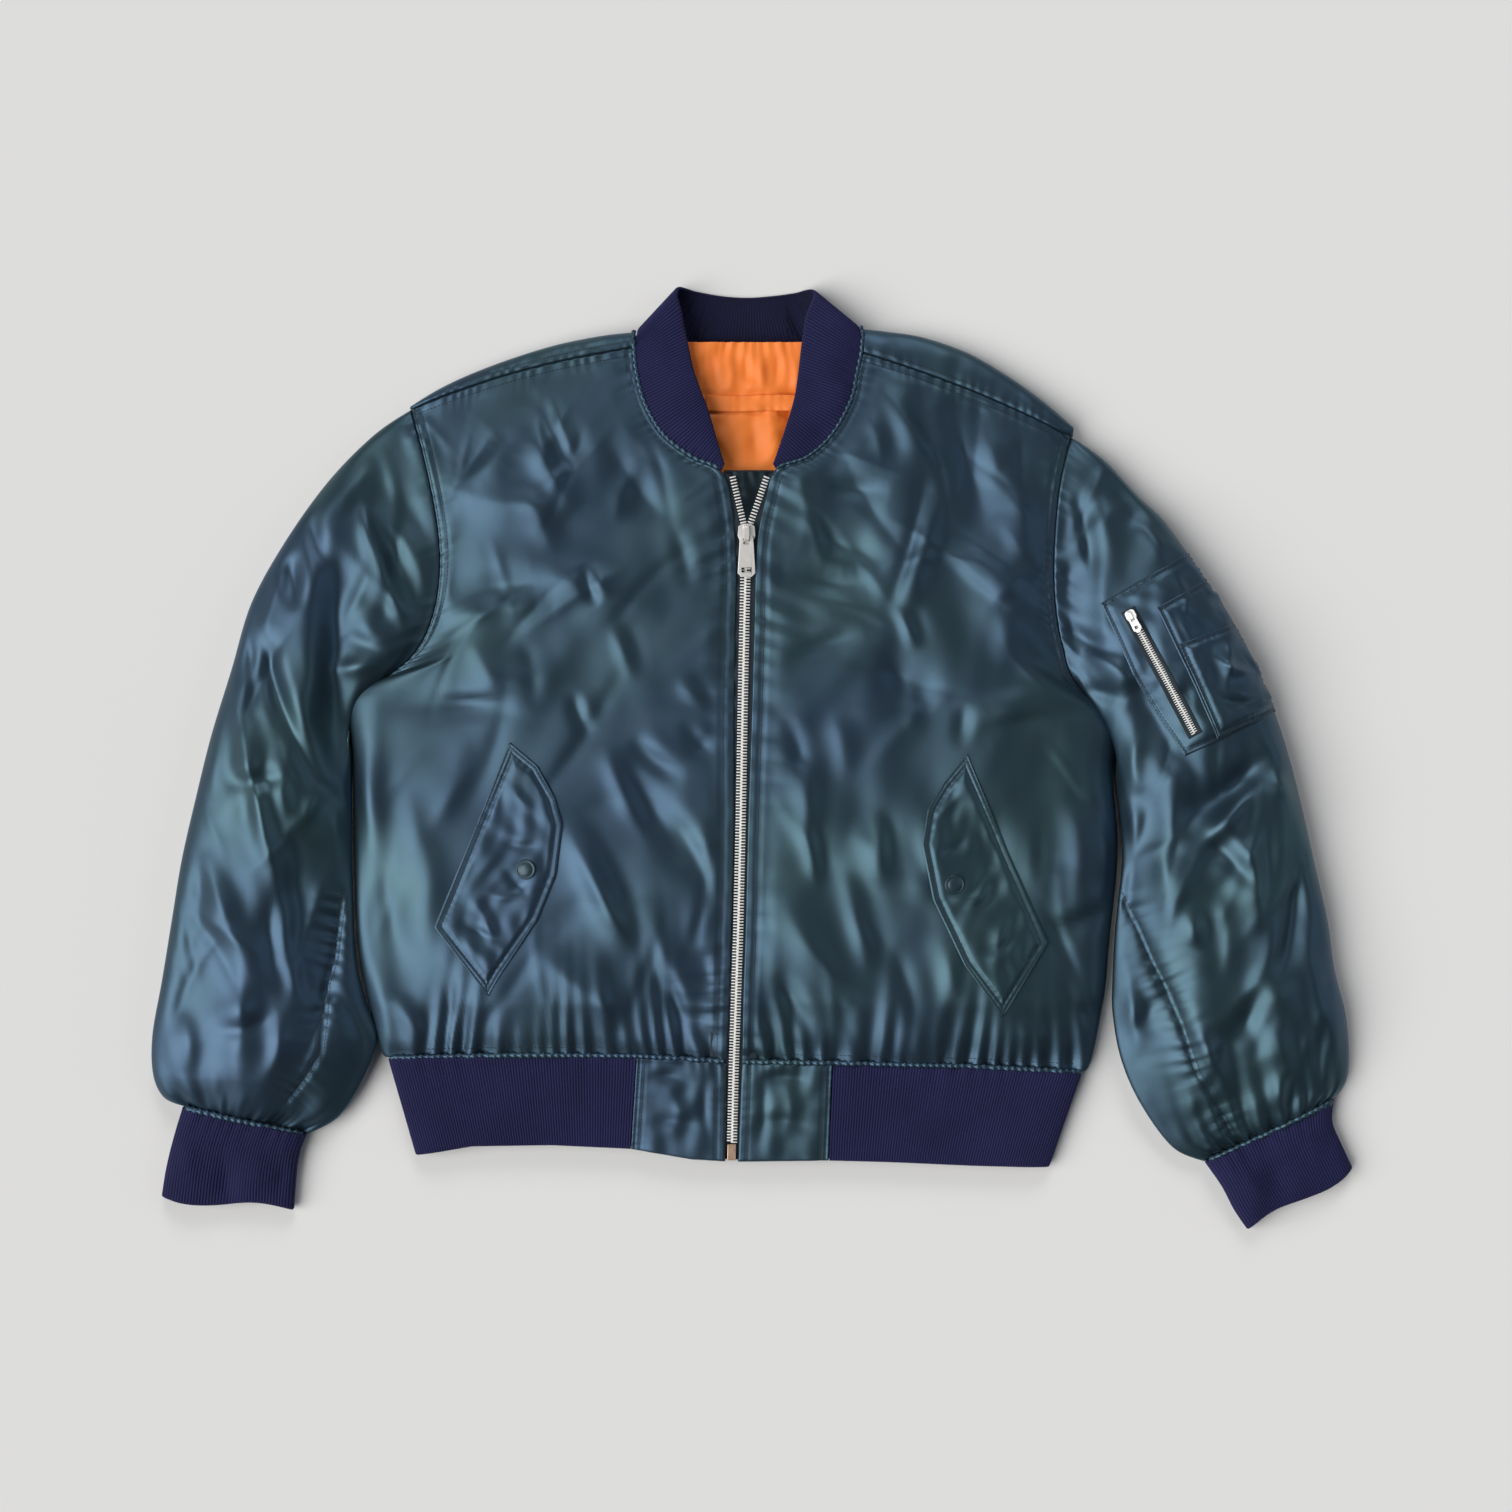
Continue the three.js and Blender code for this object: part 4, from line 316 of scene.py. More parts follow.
def distances(plan, axis, backward=False):
    """Distance over the plan from the first (or last) row of points along an axis."""
    steps = np.linalg.norm(np.diff(plan, axis=axis), axis=-1)
    run = np.cumsum(steps, axis=axis)
    shape = list(run.shape)
    shape[axis] = 1
    run = np.concatenate([np.zeros(shape), run], axis=axis)
    total = np.take(run, [-1], axis=axis)
    return total - run if backward else run


def waist_seam_y(x):
    return look_up(waist_seam, x)


def front_height(y):
    return look_up(front_heights, y)


def side_place(side, row):
    return curve_through([row_[:2] for row_ in front_rows[side]], np.asarray(row, float) / last_row)


def edge_place(side, row):
    return curve_through([row_[2:] for row_ in front_rows[side]], np.asarray(row, float) / last_row)


def front_place(side, row, part):
    """Plan place on a front: part 0 at its side and 1 at its zip edge."""
    start = side_place(side, row)
    end = edge_place(side, row)
    x = mix(start[..., 0], end[..., 0], part)
    y = mix(start[..., 1], end[..., 1], part)
    y = y + shoulder_bow[side] * np.sin(np.pi * np.clip(part, 0, 1)) * np.maximum(0, 1 - row / 2)
    y = mix(y, waist_seam_y(x) + seam_gap * 1.5, smooth(row - last_row + 1))
    return np.stack([x, y], axis=-1)


def cloth_arrays(top, wall, ring=False, facing=1):
    """Closed thin shell under a grid of outer points, as points and quads: outer skin, inner skin and rims.
    Facing 1 is for rows that run down the plan and columns to +X, with the outside upwards."""
    rows, columns = top.shape[:2]
    along = np.gradient(top, axis=0)
    if ring:
        wider = np.concatenate([top[:, -1:], top, top[:, :1]], axis=1)
        across = np.gradient(wider, axis=1)[:, 1:-1]
    else:
        across = np.gradient(top, axis=1)
    normal = np.cross(along, across) * facing
    normal /= np.maximum(np.linalg.norm(normal, axis=-1, keepdims=True), 1e-9)
    inner = top - normal * wall
    index = np.arange(rows * columns).reshape(rows, columns)
    if ring:
        index = np.concatenate([index, index[:, :1]], axis=1)
    a, b, c, d = index[:-1, :-1], index[:-1, 1:], index[1:, 1:], index[1:, :-1]
    offset = rows * columns
    outer_faces = np.stack([a, d, c, b], axis=-1).reshape(-1, 4)
    inner_faces = outer_faces[:, ::-1] + offset
    rims = [
        np.stack([index[0, :-1], index[0, 1:], index[0, 1:] + offset, index[0, :-1] + offset], axis=-1),
        np.stack([index[-1, 1:], index[-1, :-1], index[-1, :-1] + offset, index[-1, 1:] + offset], axis=-1),
    ]
    if not ring:
        rims += [
            np.stack([index[1:, 0], index[:-1, 0], index[:-1, 0] + offset, index[1:, 0] + offset], axis=-1),
            np.stack([index[:-1, -1], index[1:, -1], index[1:, -1] + offset, index[:-1, -1] + offset],
                axis=-1),
        ]
    faces = np.concatenate([outer_faces, inner_faces, *rims])
    if facing < 0:
        faces = faces[:, ::-1]
    return np.concatenate([top.reshape(-1, 3), inner.reshape(-1, 3)]), faces


def cloth_object(name, parts, material, cells=None):
    """One object from the points and quads of one or more shells, in metres, with outward normals.
    cells is the (along, across) place of each point on the flat cloth, for its UV map."""
    points = []
    faces = []
    start = 0
    for part_points, part_faces in parts:
        points.append(part_points)
        faces.append(part_faces + start)
        start += len(part_points)
    mesh = bpy.data.meshes.new(name)
    mesh.from_pydata((np.concatenate(points) * mm).tolist(), [], np.concatenate(faces).tolist())
    mesh.polygons.foreach_set("use_smooth", np.ones(len(mesh.polygons), bool))
    if cells is not None:
        layer = mesh.uv_layers.new(name="cloth")
        corner = np.zeros(len(mesh.loops), int)
        mesh.loops.foreach_get("vertex_index", corner)
        layer.uv.foreach_set("vector", (np.asarray(cells)[corner] * mm).astype(np.float32).ravel())
    mesh.materials.append(material)
    mesh.update()
    obj = bpy.data.objects.new(name, mesh)
    scene.collection.objects.link(obj)
    return obj


def cut_sheet(cloth, grid, ring=False, extra=0.0):
    """Measures the width, length and area a laid sheet of cloth was cut to, over its folds, and keeps none of
    them.
    extra is a length in millimetres that the grid leaves out."""
    wide = np.concatenate([grid, grid[:, :1]], axis=1) if ring else grid
    widths = np.linalg.norm(np.diff(wide, axis=1), axis=-1).sum(axis=1) * mm
    lengths = (np.linalg.norm(np.diff(grid, axis=0), axis=-1).sum(axis=0) + extra) * mm
    area = sum(face.area for face in cloth.data.polygons) / 2
    width, length = widths.max(), lengths.max()
    if area < 0.35 * width * length:
        width = np.median(widths)
        length = max(np.median(lengths), area / width)


def spaced(length, step, fine_ends=6.0):
    """Parts 0 to 1 of a length, a step apart, finer within a few millimetres of each end."""
    ends = [0, 0.5, 1.0, 1.6, 2.4, 3.4, 4.6]
    middle = np.linspace(fine_ends, length - fine_ends, max(2, int((length - 2 * fine_ends) / step)))
    return np.concatenate([ends, middle, [length - end for end in reversed(ends)]]) / length


def tip_round(side, x, y):
    """How much of its height the cloth keeps near the shoulder tip, where the panels fold over."""
    tip = side_place(side, np.array(0.0))
    return roll(np.hypot(x - tip[0], y - tip[1]) + 0.5, 30)


def make_front(side):
    rows = spaced(570, 2.9) * last_row
    parts = spaced(290, 2.7)
    row, part = np.meshgrid(rows, parts, indexing="ij")
    plan = front_place(side, row, part)
    x, y = plan[..., 0], plan[..., 1]
    from_side = distances(plan, 1)
    from_edge = distances(plan, 1, backward=True)
    from_top = distances(plan, 0)
    from_waist = y - waist_seam_y(x)
    along_side = distances(plan, 0)[:, :1]
    along_edge = distances(plan, 0)[:, -1:]

    end = np.where(row < armpit_row, look_up(armhole_heights, row / armpit_row), side_height)
    soft = smooth(from_side / 60)
    full = 0.65 * roll(from_side, side_radius) + 0.35 * smooth(from_side / 110)
    rise = mix(soft, full, smooth((row - 7) / 1.2))
    shoulder = mix(shoulder_seam_height, front_height(y), smooth(row / 2.5))
    height = mix(side_height, mix(end, shoulder, rise), tip_round(side, x, y))

    calm = (
        smooth((from_edge - 9) / 16) * smooth(from_side / 16)
        * smooth(from_top / 14) * smooth(from_waist / 14)
    )
    seed = 3 if side == "right" else 8
    sign = -1 if side == "right" else 1
    small = scattered(seed, 44, (min(x.min(), 0), -230, max(x.max(), 0), 300), 90 + sign * 28, 30, (60, 150),
        4.5, 0.8)
    height += calm * (crease_height([*front_creases, *front_swells], x, y) + crease_height(small, x, y))
    height += calm * dents(x, y, seed, 130, 60, 1.6, 9, (1.0, 1.5))
    height += calm * dents(x, y, seed + 1, 44, 24, 0.35, 14, (1.0, 1.6))

    reach = 30 + 16 * np.sin(x / 17 + seed) * np.sin(x / 41)
    gathers = puckers(x, from_waist, seed, 16, 7.0, reach) + puckers(x, from_waist, seed + 2, 8, 2.0, 11)
    height += gathers * smooth(from_side / 20) * smooth((from_edge - 4) / 12)
    on_zip = smooth((row - neck_end_row) / 0.5)
    drag = 20 + 12 * np.sin(along_edge / 23 + seed) * np.sin(along_edge / 57)
    height += on_zip * puckers(along_edge, np.maximum(from_edge - 7, 0), seed, 21, 2.8, drag)
    height += on_zip * puckers(along_edge, np.abs(from_edge - 6.0), seed + 1, 4.4, 1.0, 4.5)
    height += on_zip * stitch_line(from_edge, 8.5, 0.75) + on_zip * stitch_line(from_edge, 2.2, 0.3)
    height += (1 - on_zip) * puckers(along_edge, from_edge, seed, 7.5, 1.3, 8)
    height += (1 - on_zip) * stitch_line(from_edge, 5.0, 0.7)
    in_armhole = 1 - smooth((row - armpit_row) / 0.4)
    height += in_armhole * puckers(along_side, from_side, seed, 8.5, 1.5, 9)
    height += in_armhole * (stitch_line(from_side, 2.0, 0.5) + stitch_line(from_side, 7.5, 0.6))
    height += puckers(x, from_top, seed, 9, 1.0, 7) + stitch_line(from_top, 6.5, 0.5)

    edges = roll(from_edge, 2.2) * roll(from_top, 1.6) * roll(from_waist + 0.4, 2.0)
    height -= 2.2 * (1 - edges)
    height -= in_armhole * 2.0 * (1 - roll(from_side, 2.0))
    top = np.concatenate([plan, height[..., None]], axis=-1)
    return top, (along_edge + 0 * x, from_edge)


shell_colours = {"deep": (0.052, 0.094, 0.136), "green": (0.061, 0.115, 0.140), "blue": (0.058, 0.100, 0.158)}


def satin_material(name, colours, roughness=0.46, weave=0.12, metallic=0.92):
    """Satin nylon: a fine twill, slow drifts of green and blue in the dye, and small slubs."""
    material = bpy.data.materials.new(name)
    material.use_nodes = True
    nodes = material.node_tree.nodes
    links = material.node_tree.links
    shader = nodes["Principled BSDF"]
    shader.inputs["Roughness"].default_value = roughness
    shader.inputs["Metallic"].default_value = metallic
    shader.inputs["Sheen Weight"].default_value = 0.05
    shader.inputs["Sheen Roughness"].default_value = 0.35
    shader.inputs["Sheen Tint"].default_value = (0.35, 0.62, 0.66, 1)
    place = nodes.new("ShaderNodeTexCoord")
    drift = nodes.new("ShaderNodeTexNoise")
    drift.inputs["Scale"].default_value = 7
    drift.inputs["Detail"].default_value = 3
    links.new(place.outputs["Object"], drift.inputs["Vector"])
    dye = nodes.new("ShaderNodeValToRGB")
    dye.color_ramp.elements[0].position = 0.34
    dye.color_ramp.elements[0].color = (*colours["blue"], 1)
    dye.color_ramp.elements[1].position = 0.68
    dye.color_ramp.elements[1].color = (*colours["green"], 1)
    middle = dye.color_ramp.elements.new(0.5)
    middle.color = (*colours["deep"], 1)
    links.new(drift.outputs["Fac"], dye.inputs["Fac"])
    links.new(dye.outputs["Color"], shader.inputs["Base Color"])
    crumple = nodes.new("ShaderNodeTexNoise")
    crumple.inputs["Scale"].default_value = 55
    crumple.inputs["Detail"].default_value = 4
    crumple.inputs["Roughness"].default_value = 0.55
    links.new(place.outputs["Object"], crumple.inputs["Vector"])
    twill = nodes.new("ShaderNodeTexWave")
    twill.wave_type = "BANDS"
    twill.bands_direction = "DIAGONAL"
    twill.inputs["Scale"].default_value = 420
    twill.inputs["Distortion"].default_value = 1.5
    links.new(place.outputs["Object"], twill.inputs["Vector"])
    relief = nodes.new("ShaderNodeBump")
    relief.inputs["Strength"].default_value = 0.12
    relief.inputs["Distance"].default_value = 0.0012
    links.new(crumple.outputs["Fac"], relief.inputs["Height"])
    threads = nodes.new("ShaderNodeBump")
    threads.inputs["Strength"].default_value = weave
    threads.inputs["Distance"].default_value = 0.0002
    links.new(twill.outputs["Fac"], threads.inputs["Height"])
    links.new(relief.outputs["Normal"], threads.inputs["Normal"])
    links.new(threads.outputs["Normal"], shader.inputs["Normal"])
    return material


shell_material = satin_material("shell_satin", shell_colours)
cloth_wall = 1.0
shell_pieces = {}
for side in ("right", "left"):
    top, (along, across) = make_front(side)
    if side == "left":
        top, along, across = top[:, ::-1], along[:, ::-1], across[:, ::-1]
    points, faces = cloth_arrays(top, cloth_wall)
    cells = np.stack([along.ravel(), across.ravel()], axis=-1)
    cloth = cloth_object(f"front_{side}_cloth", [(points, faces)], shell_material,
        np.concatenate([cells, cells]))
    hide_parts(f"front_{side}")
    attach(cloth, "jacket")
    cut_sheet(cloth, top)
    shell_pieces[f"front_{side}"] = cloth

# Back
# One flat panel under the jacket, its sides turned up to the side seams. At each shoulder it rolls over
# and comes forward to the topstitched shoulder seam, where the photograph shows a strip of it.

# silhouette over each shoulder, from the neck to the sleeve
shoulder_wraps = {
    "right": [(-97, 341), (-123, 338), (-158, 331), (-194, 320), (-227, 307.5), (-252, 295.5), (-275, 281.4)],
    "left": [(88, 343.5), (106, 341.5), (135, 337), (170, 325), (200, 308), (230, 287), (255.5, 265)],
}
# how far in from the silhouette, height: the round of the fold
wrap_round = [(34, 0.4), (12, 0.2), (4.5, 2.5), (0.8, 7.5), (0, 13)]
yoke_top = [
    (-271, 268), (-225, 290), (-158, 314), (-96, 326), (-40, 329.8), (-7, 328.8), (30, 329.8), (84, 327),
    (135, 316),
    (200, 290), (251, 252),
]
underside_radius = 14


def make_back():
    rows = np.concatenate([np.linspace(0, 8, 66), np.linspace(8, last_row, 84)[1:]])
    parts = spaced(560, 6.2, 8.0)
    row, part = np.meshgrid(rows, parts, indexing="ij")
    start = side_place("right", row)
    end = side_place("left", row)
    x = mix(start[..., 0], end[..., 0], part)
    y = mix(start[..., 1], end[..., 1], part)
    y = mix(y, waist_seam_y(x) + seam_gap, smooth(row - last_row + 1))
    top_y = np.maximum(look_up(yoke_top, x), y)
    y = mix(y, top_y, 1 - smooth(row / 2.0))
    width = np.linalg.norm(end - start, axis=-1)
    near = np.minimum(part, 1 - part) * width
    armhole = 13 * (1 - roll(np.minimum(row / 8, 1 - row / 8) * 236, underside_radius)) * smooth(row - 7)
    upright = np.where(row < armpit_row, armhole, side_height - seam_gap)
    height = upright * (1 - roll(near, underside_radius))
    from_waist = y - waist_seam_y(x)
    inside = smooth((near - 10) / 20) * smooth(from_waist / 20) * smooth(row / 0.8)
    lift = crease_height(scattered(21, 70, (-300, -230, 280, 300), 100, 40, (40, 140), 6, 1.6), x, y)
    lift += dents(x, y, 5, 90, 30, 0.8)
    height += np.maximum(lift, 0) * inside
    gathers = 0.5 + 0.5 * np.sin(2 * np.pi * x / 14 + 1.2 * np.sin(x / 35))
    height += 1.8 * gathers * np.exp(-from_waist / 18) * smooth(near / 30)
    return np.stack([x, y, height], axis=-1)


def make_wrap(side):
    stations = np.array(shoulder_wraps[side], float)
    count = 96
    line = curve_through(stations, np.linspace(0, 1, count))
    tip = side_place(side, np.array(0.0))
    neck = edge_place(side, np.array(0.0))
    share = np.clip((line[:, 0] - tip[0]) / (neck[0] - tip[0]), 0, 1)
    seam_y = front_place(side, np.zeros(count), share)[:, 1]
    width = np.maximum(line[:, 1] - seam_y - 0.2, 1.0)
    under = curve_through(wrap_round, np.linspace(0, 1, 16))
    places = np.zeros((16 + 17, count, 3))
    places[:16, :, 0] = line[:, 0]
    places[:16, :, 1] = line[:, 1] - under[:, 0, None]
    places[:16, :, 2] = under[:, 1, None]
    over = np.linspace(0.06, 1, 17)[:, None]
    places[16:, :, 0] = line[:, 0]
    places[16:, :, 1] = line[:, 1] - width * over
    rolled = mix(13, shoulder_seam_height, roll(over, 1) * np.ones(count))
    along = line[:, 0]
    away = width * (1 - over)
    rolled += puckers(along, away, 4, 9, 0.9, 7) * smooth(over / 0.4) - 1.6 * (1 - roll(away, 1.6))
    rolled += dents(line[:, 0] + 0 * over, line[:, 1] - width * over, 6, 40, 18,
        0.5) * smooth(over / 0.4) * smooth(away / 5)
    places[16:, :, 2] = mix(side_height, rolled, tip_round(side, places[16:, :, 0], places[16:, :, 1]))
    return places


back_grid = make_back()
parts = [cloth_arrays(back_grid, cloth_wall, facing=-1)]
for side in ("right", "left"):
    wrap = make_wrap(side)
    if side == "left":
        parts.append(cloth_arrays(wrap, cloth_wall, facing=-1))
    else:
        parts.append(cloth_arrays(wrap[:, ::-1], cloth_wall, facing=-1))
back_cloth = cloth_object("back_cloth", parts, shell_material)
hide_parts("back")
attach(back_cloth, "jacket")
cut_sheet(back_cloth, back_grid, extra=60.0)
shell_pieces["back"] = back_cloth

# Sleeves
# Full sleeves set into the armholes and gathered hard into the cuffs. The outer side lies in long shining
# ridges; the inner side drops into a deep valley beside the body, and the cloth bunches under the arm.

sleeve_rows = {
    # outer fold x, y, inner fold x, y, height over the surface, share of the armhole's curve kept
    "right": [
        (-278, 280.5, -326, 51, 30, 1), (-308, 259, -326.5, 40, 37, 0.74), (-342, 223, -326.5, 26, 43, 0.45),
        (-375, 175, -326, 8, 48, 0.2), (-402, 125, -325.5, -13, 50, 0.05), (-418, 71, -325, -38, 51, 0),
        (-434, 19, -325, -68, 51, 0), (-447, -33, -324.5, -99, 50, 0), (-458, -81, -323, -131, 49, 0),
        (-466, -129, -319, -160, 48, 0), (-474, -177, -311, -193, 46, 0), (-482, -221, -302, -225, 43, 0),
        (-482, -253, -314, -259, 37, 0), (-474, -272, -334, -288, 29, 0), (-459, -279, -359, -302, 22, 0),
    ],
    "left": [
        (260, 263, 294, 28, 30, 1), (285, 243, 293.5, 16, 37, 0.72), (310, 213, 292.5, 2, 43, 0.45),
        (330, 191, 293.5, -13, 46, 0.25), (357, 151, 295, -33, 49, 0.1), (382, 111, 297, -57, 50, 0),
        (406, 63, 297.5, -83, 50, 0), (424, 15, 295, -109, 50, 0), (438, -37, 291, -145, 49, 0),
        (448, -81, 287.5, -177, 48, 0), (459, -129, 287, -203, 47, 0), (465, -169, 294, -241, 45, 0),
        (475, -209, 310, -277, 40, 0), (477, -253, 336, -312, 30, 0), (467, -273, 362, -324, 22, 0),
    ],
}
last_station = 14
outer_radius = {"right": 92, "left": 60}
inner_radius = 64

sleeve_creases = [
    (-331, 184, -333, 80, -339, -18, 16.9, -18, 0.25), (-317, 204, -298, 160, -272, 88, 7.8, 7.8, 0.5),
    (-354, 204, -350, 176, -340, 146, 7.8, -6.3, 0.4), (-391, 108, -374, 42, -333, -46, 7.8, -8.1, 0.7),
    (-416, 72, -398, -10, -357, -180, 9.1, 6.9, 0.6), (-422, -18, -392, -18, -360, -10, 7.8, -5.7, 0.5),
    (-437, -72, -420, -118, -389, -190, 10.4, 6, 0.4), (-370, 164, -366, 140, -360, 116, 9.1, -6.9, 0.5),
    (-434, -214, -404, -214, -376, -202, 9.1, -5.4, 0.5), (-331, -108, -342, -190, -370, -266, 6.5, -5.1, 0),
    (-382, 190, -378, 150, -382, 110, 9.1, 4.5, 0.5), (-400, 130, -402, 90, -394, 40, 7.8, -4.8, 0.4),
    (-352, 120, -350, 60, -356, 10, 11.7, 6, 0.3), (-446, -60, -440, -110, -446, -160, 10.4, -4.5, 0.3),
    (-410, -160, -404, -200, -410, -240, 9.1, 4.5, 0.4), (-380, -200, -376, -230, -392, -262, 7.8, 4.8, 0.5),
    (-360, -60, -364, -110, -352, -160, 10.4, -5.1, 0.4),
    (-376, -100, -384, -140, -372, -190, 7.8, -3.9, 0.4),
    (-456, -200, -448, -226, -450, -252, 9.1, 4.8, 0.3), (-424, 40, -432, 0, -428, -40, 9.1, 3.9, 0.3),
    (-326, 100, -312, 92, -290, 84, 7.8, -5.4, 0.4), (-338, 70, -320, 72, -296, 74, 6.5, 4.5, 0.4),
    (-300, 236, -320, 214, -330, 190, 10.4, 3.9, 0.4), (-344, -20, -352, -40, -366, -58, 6.5, 4.2, 0.5),
    (257, 216, 264, 176, 272, 130, 9.1, -7.5, 0.6), (248, 220, 258, 178, 268, 134, 6.5, 3.6, 0.2),
    (240, 106, 262, 96, 290, 76, 7.8, -6, 0.5), (258, 54, 278, 52, 296, 42, 7.8, -5.7, 0.5),
    (262, 84, 282, 74, 304, 56, 7.8, 4.8, 0.5), (298, 66, 322, 26, 336, -16, 15.6, -13.5, 0.2),
    (414, 12, 380, -22, 330, -58, 13, -12, 0.3), (408, -14, 376, -44, 344, -80, 7.8, 7.5, 0.6),
    (353, -56, 378, -80, 400, -108, 7.8, -5.4, 0.5), (425, -32, 430, -106, 415, -180, 9.1, -7.2, 0.4),
    (342, -114, 347, -134, 345, -152, 7.8, 4.5, 0.5), (400, -178, 392, -206, 373, -232, 9.1, -6.3, 0.5),
    (295, -155, 302, -200, 304, -243, 7.8, 5.1, 0.4), (294, -106, 326, -180, 378, -292, 6.5, -5.1, 0),
    (320, -66, 326, -100, 322, -136, 9.1, 5.7, 0.4), (366, -104, 374, -140, 370, -180, 9.1, 4.8, 0.4),
    (384, -60, 396, -96, 398, -140, 9.1, 4.2, 0.4), (440, -120, 444, -170, 452, -210, 9.1, 4.5, 0.3),
    (410, -210, 420, -236, 424, -262, 7.8, 4.5, 0.4), (440, -200, 450, -226, 448, -256, 7.8, -4.2, 0.4),
    (352, -206, 362, -240, 378, -268, 7.8, 4.8, 0.4), (300, 190, 316, 176, 330, 150, 9.1, 4.2, 0.4),
    (282, 226, 300, 206, 312, 184, 9.1, -3.9, 0.4), (340, 156, 356, 140, 362, 120, 7.8, -3.6, 0.4),
    (300, -30, 304, -60, 298, -96, 9.1, 5.1, 0.3), (400, -20, 424, -24, 436, -40, 7.8, 5.1, 0.4),
    (310, 20, 300, -4, 312, -34, 7.8, 4.5, 0.4), (428, -240, 420, -262, 424, -280, 6.5, 3.9, 0.4),
]
# gathered, topstitched seams on the inner front of the sleeves
sleeve_seams = {
    "right": [(-328, -108), (-335, -160), (-341, -180), (-342, -208), (-345, -234), (-356, -252),
        (-372, -272)],
    "left": [
        (292, -108), (306, -134), (318, -163), (331, -188), (341, -216), (351, -248), (362, -265),
        (372, -284), (382, -298),
    ],
}


def line_distance(places, x, y):
    """How far along a line each place of the plan lies, and how far to its left."""
    line = np.asarray(places, float)
    best = np.full(x.shape, 1e9)
    away = np.zeros(x.shape)
    along = np.zeros(x.shape)
    run_so_far = 0.0
    for start, end in zip(line[:-1], line[1:]):
        run = end - start
        length = np.hypot(*run)
        part = np.clip(((x - start[0]) * run[0] + (y - start[1]) * run[1]) / length**2, 0, 1)
        off_x = x - start[0] - part * run[0]
        off_y = y - start[1] - part * run[1]
        distance = np.hypot(off_x, off_y)
        side = np.sign(run[0] * off_y - run[1] * off_x)
        closer = distance < best
        best = np.where(closer, distance, best)
        away = np.where(closer, distance * side, away)
        along = np.where(closer, run_so_far + part * length, along)
        run_so_far += length
    return along, away


def sleeve_column(side, station, column):
    return np.interp(station, np.arange(last_station + 1), [row[column] for row in sleeve_rows[side]])


def sleeve_place(side, station, part):
    outer = curve_through([row[:2] for row in sleeve_rows[side]], station / last_station)
    inner = curve_through([row[2:4] for row in sleeve_rows[side]], station / last_station)
    closer = 3.2 * smooth((station - 2) / 1.5) * smooth((9.5 - station) / 2)
    inner[..., 0] += closer if side == "right" else -closer
    first = sleeve_rows[side][0]
    hole = side_place(side, part * armpit_row)
    keep = sleeve_column(side, station, 5)
    x = mix(outer[..., 0], inner[..., 0], part) + keep * (hole[..., 0] - mix(first[0], first[2], part))
    y = mix(outer[..., 1], inner[..., 1], part) + keep * (hole[..., 1] - mix(first[1], first[3], part))
    return np.stack([x, y], axis=-1), np.linalg.norm(outer - inner, axis=-1)


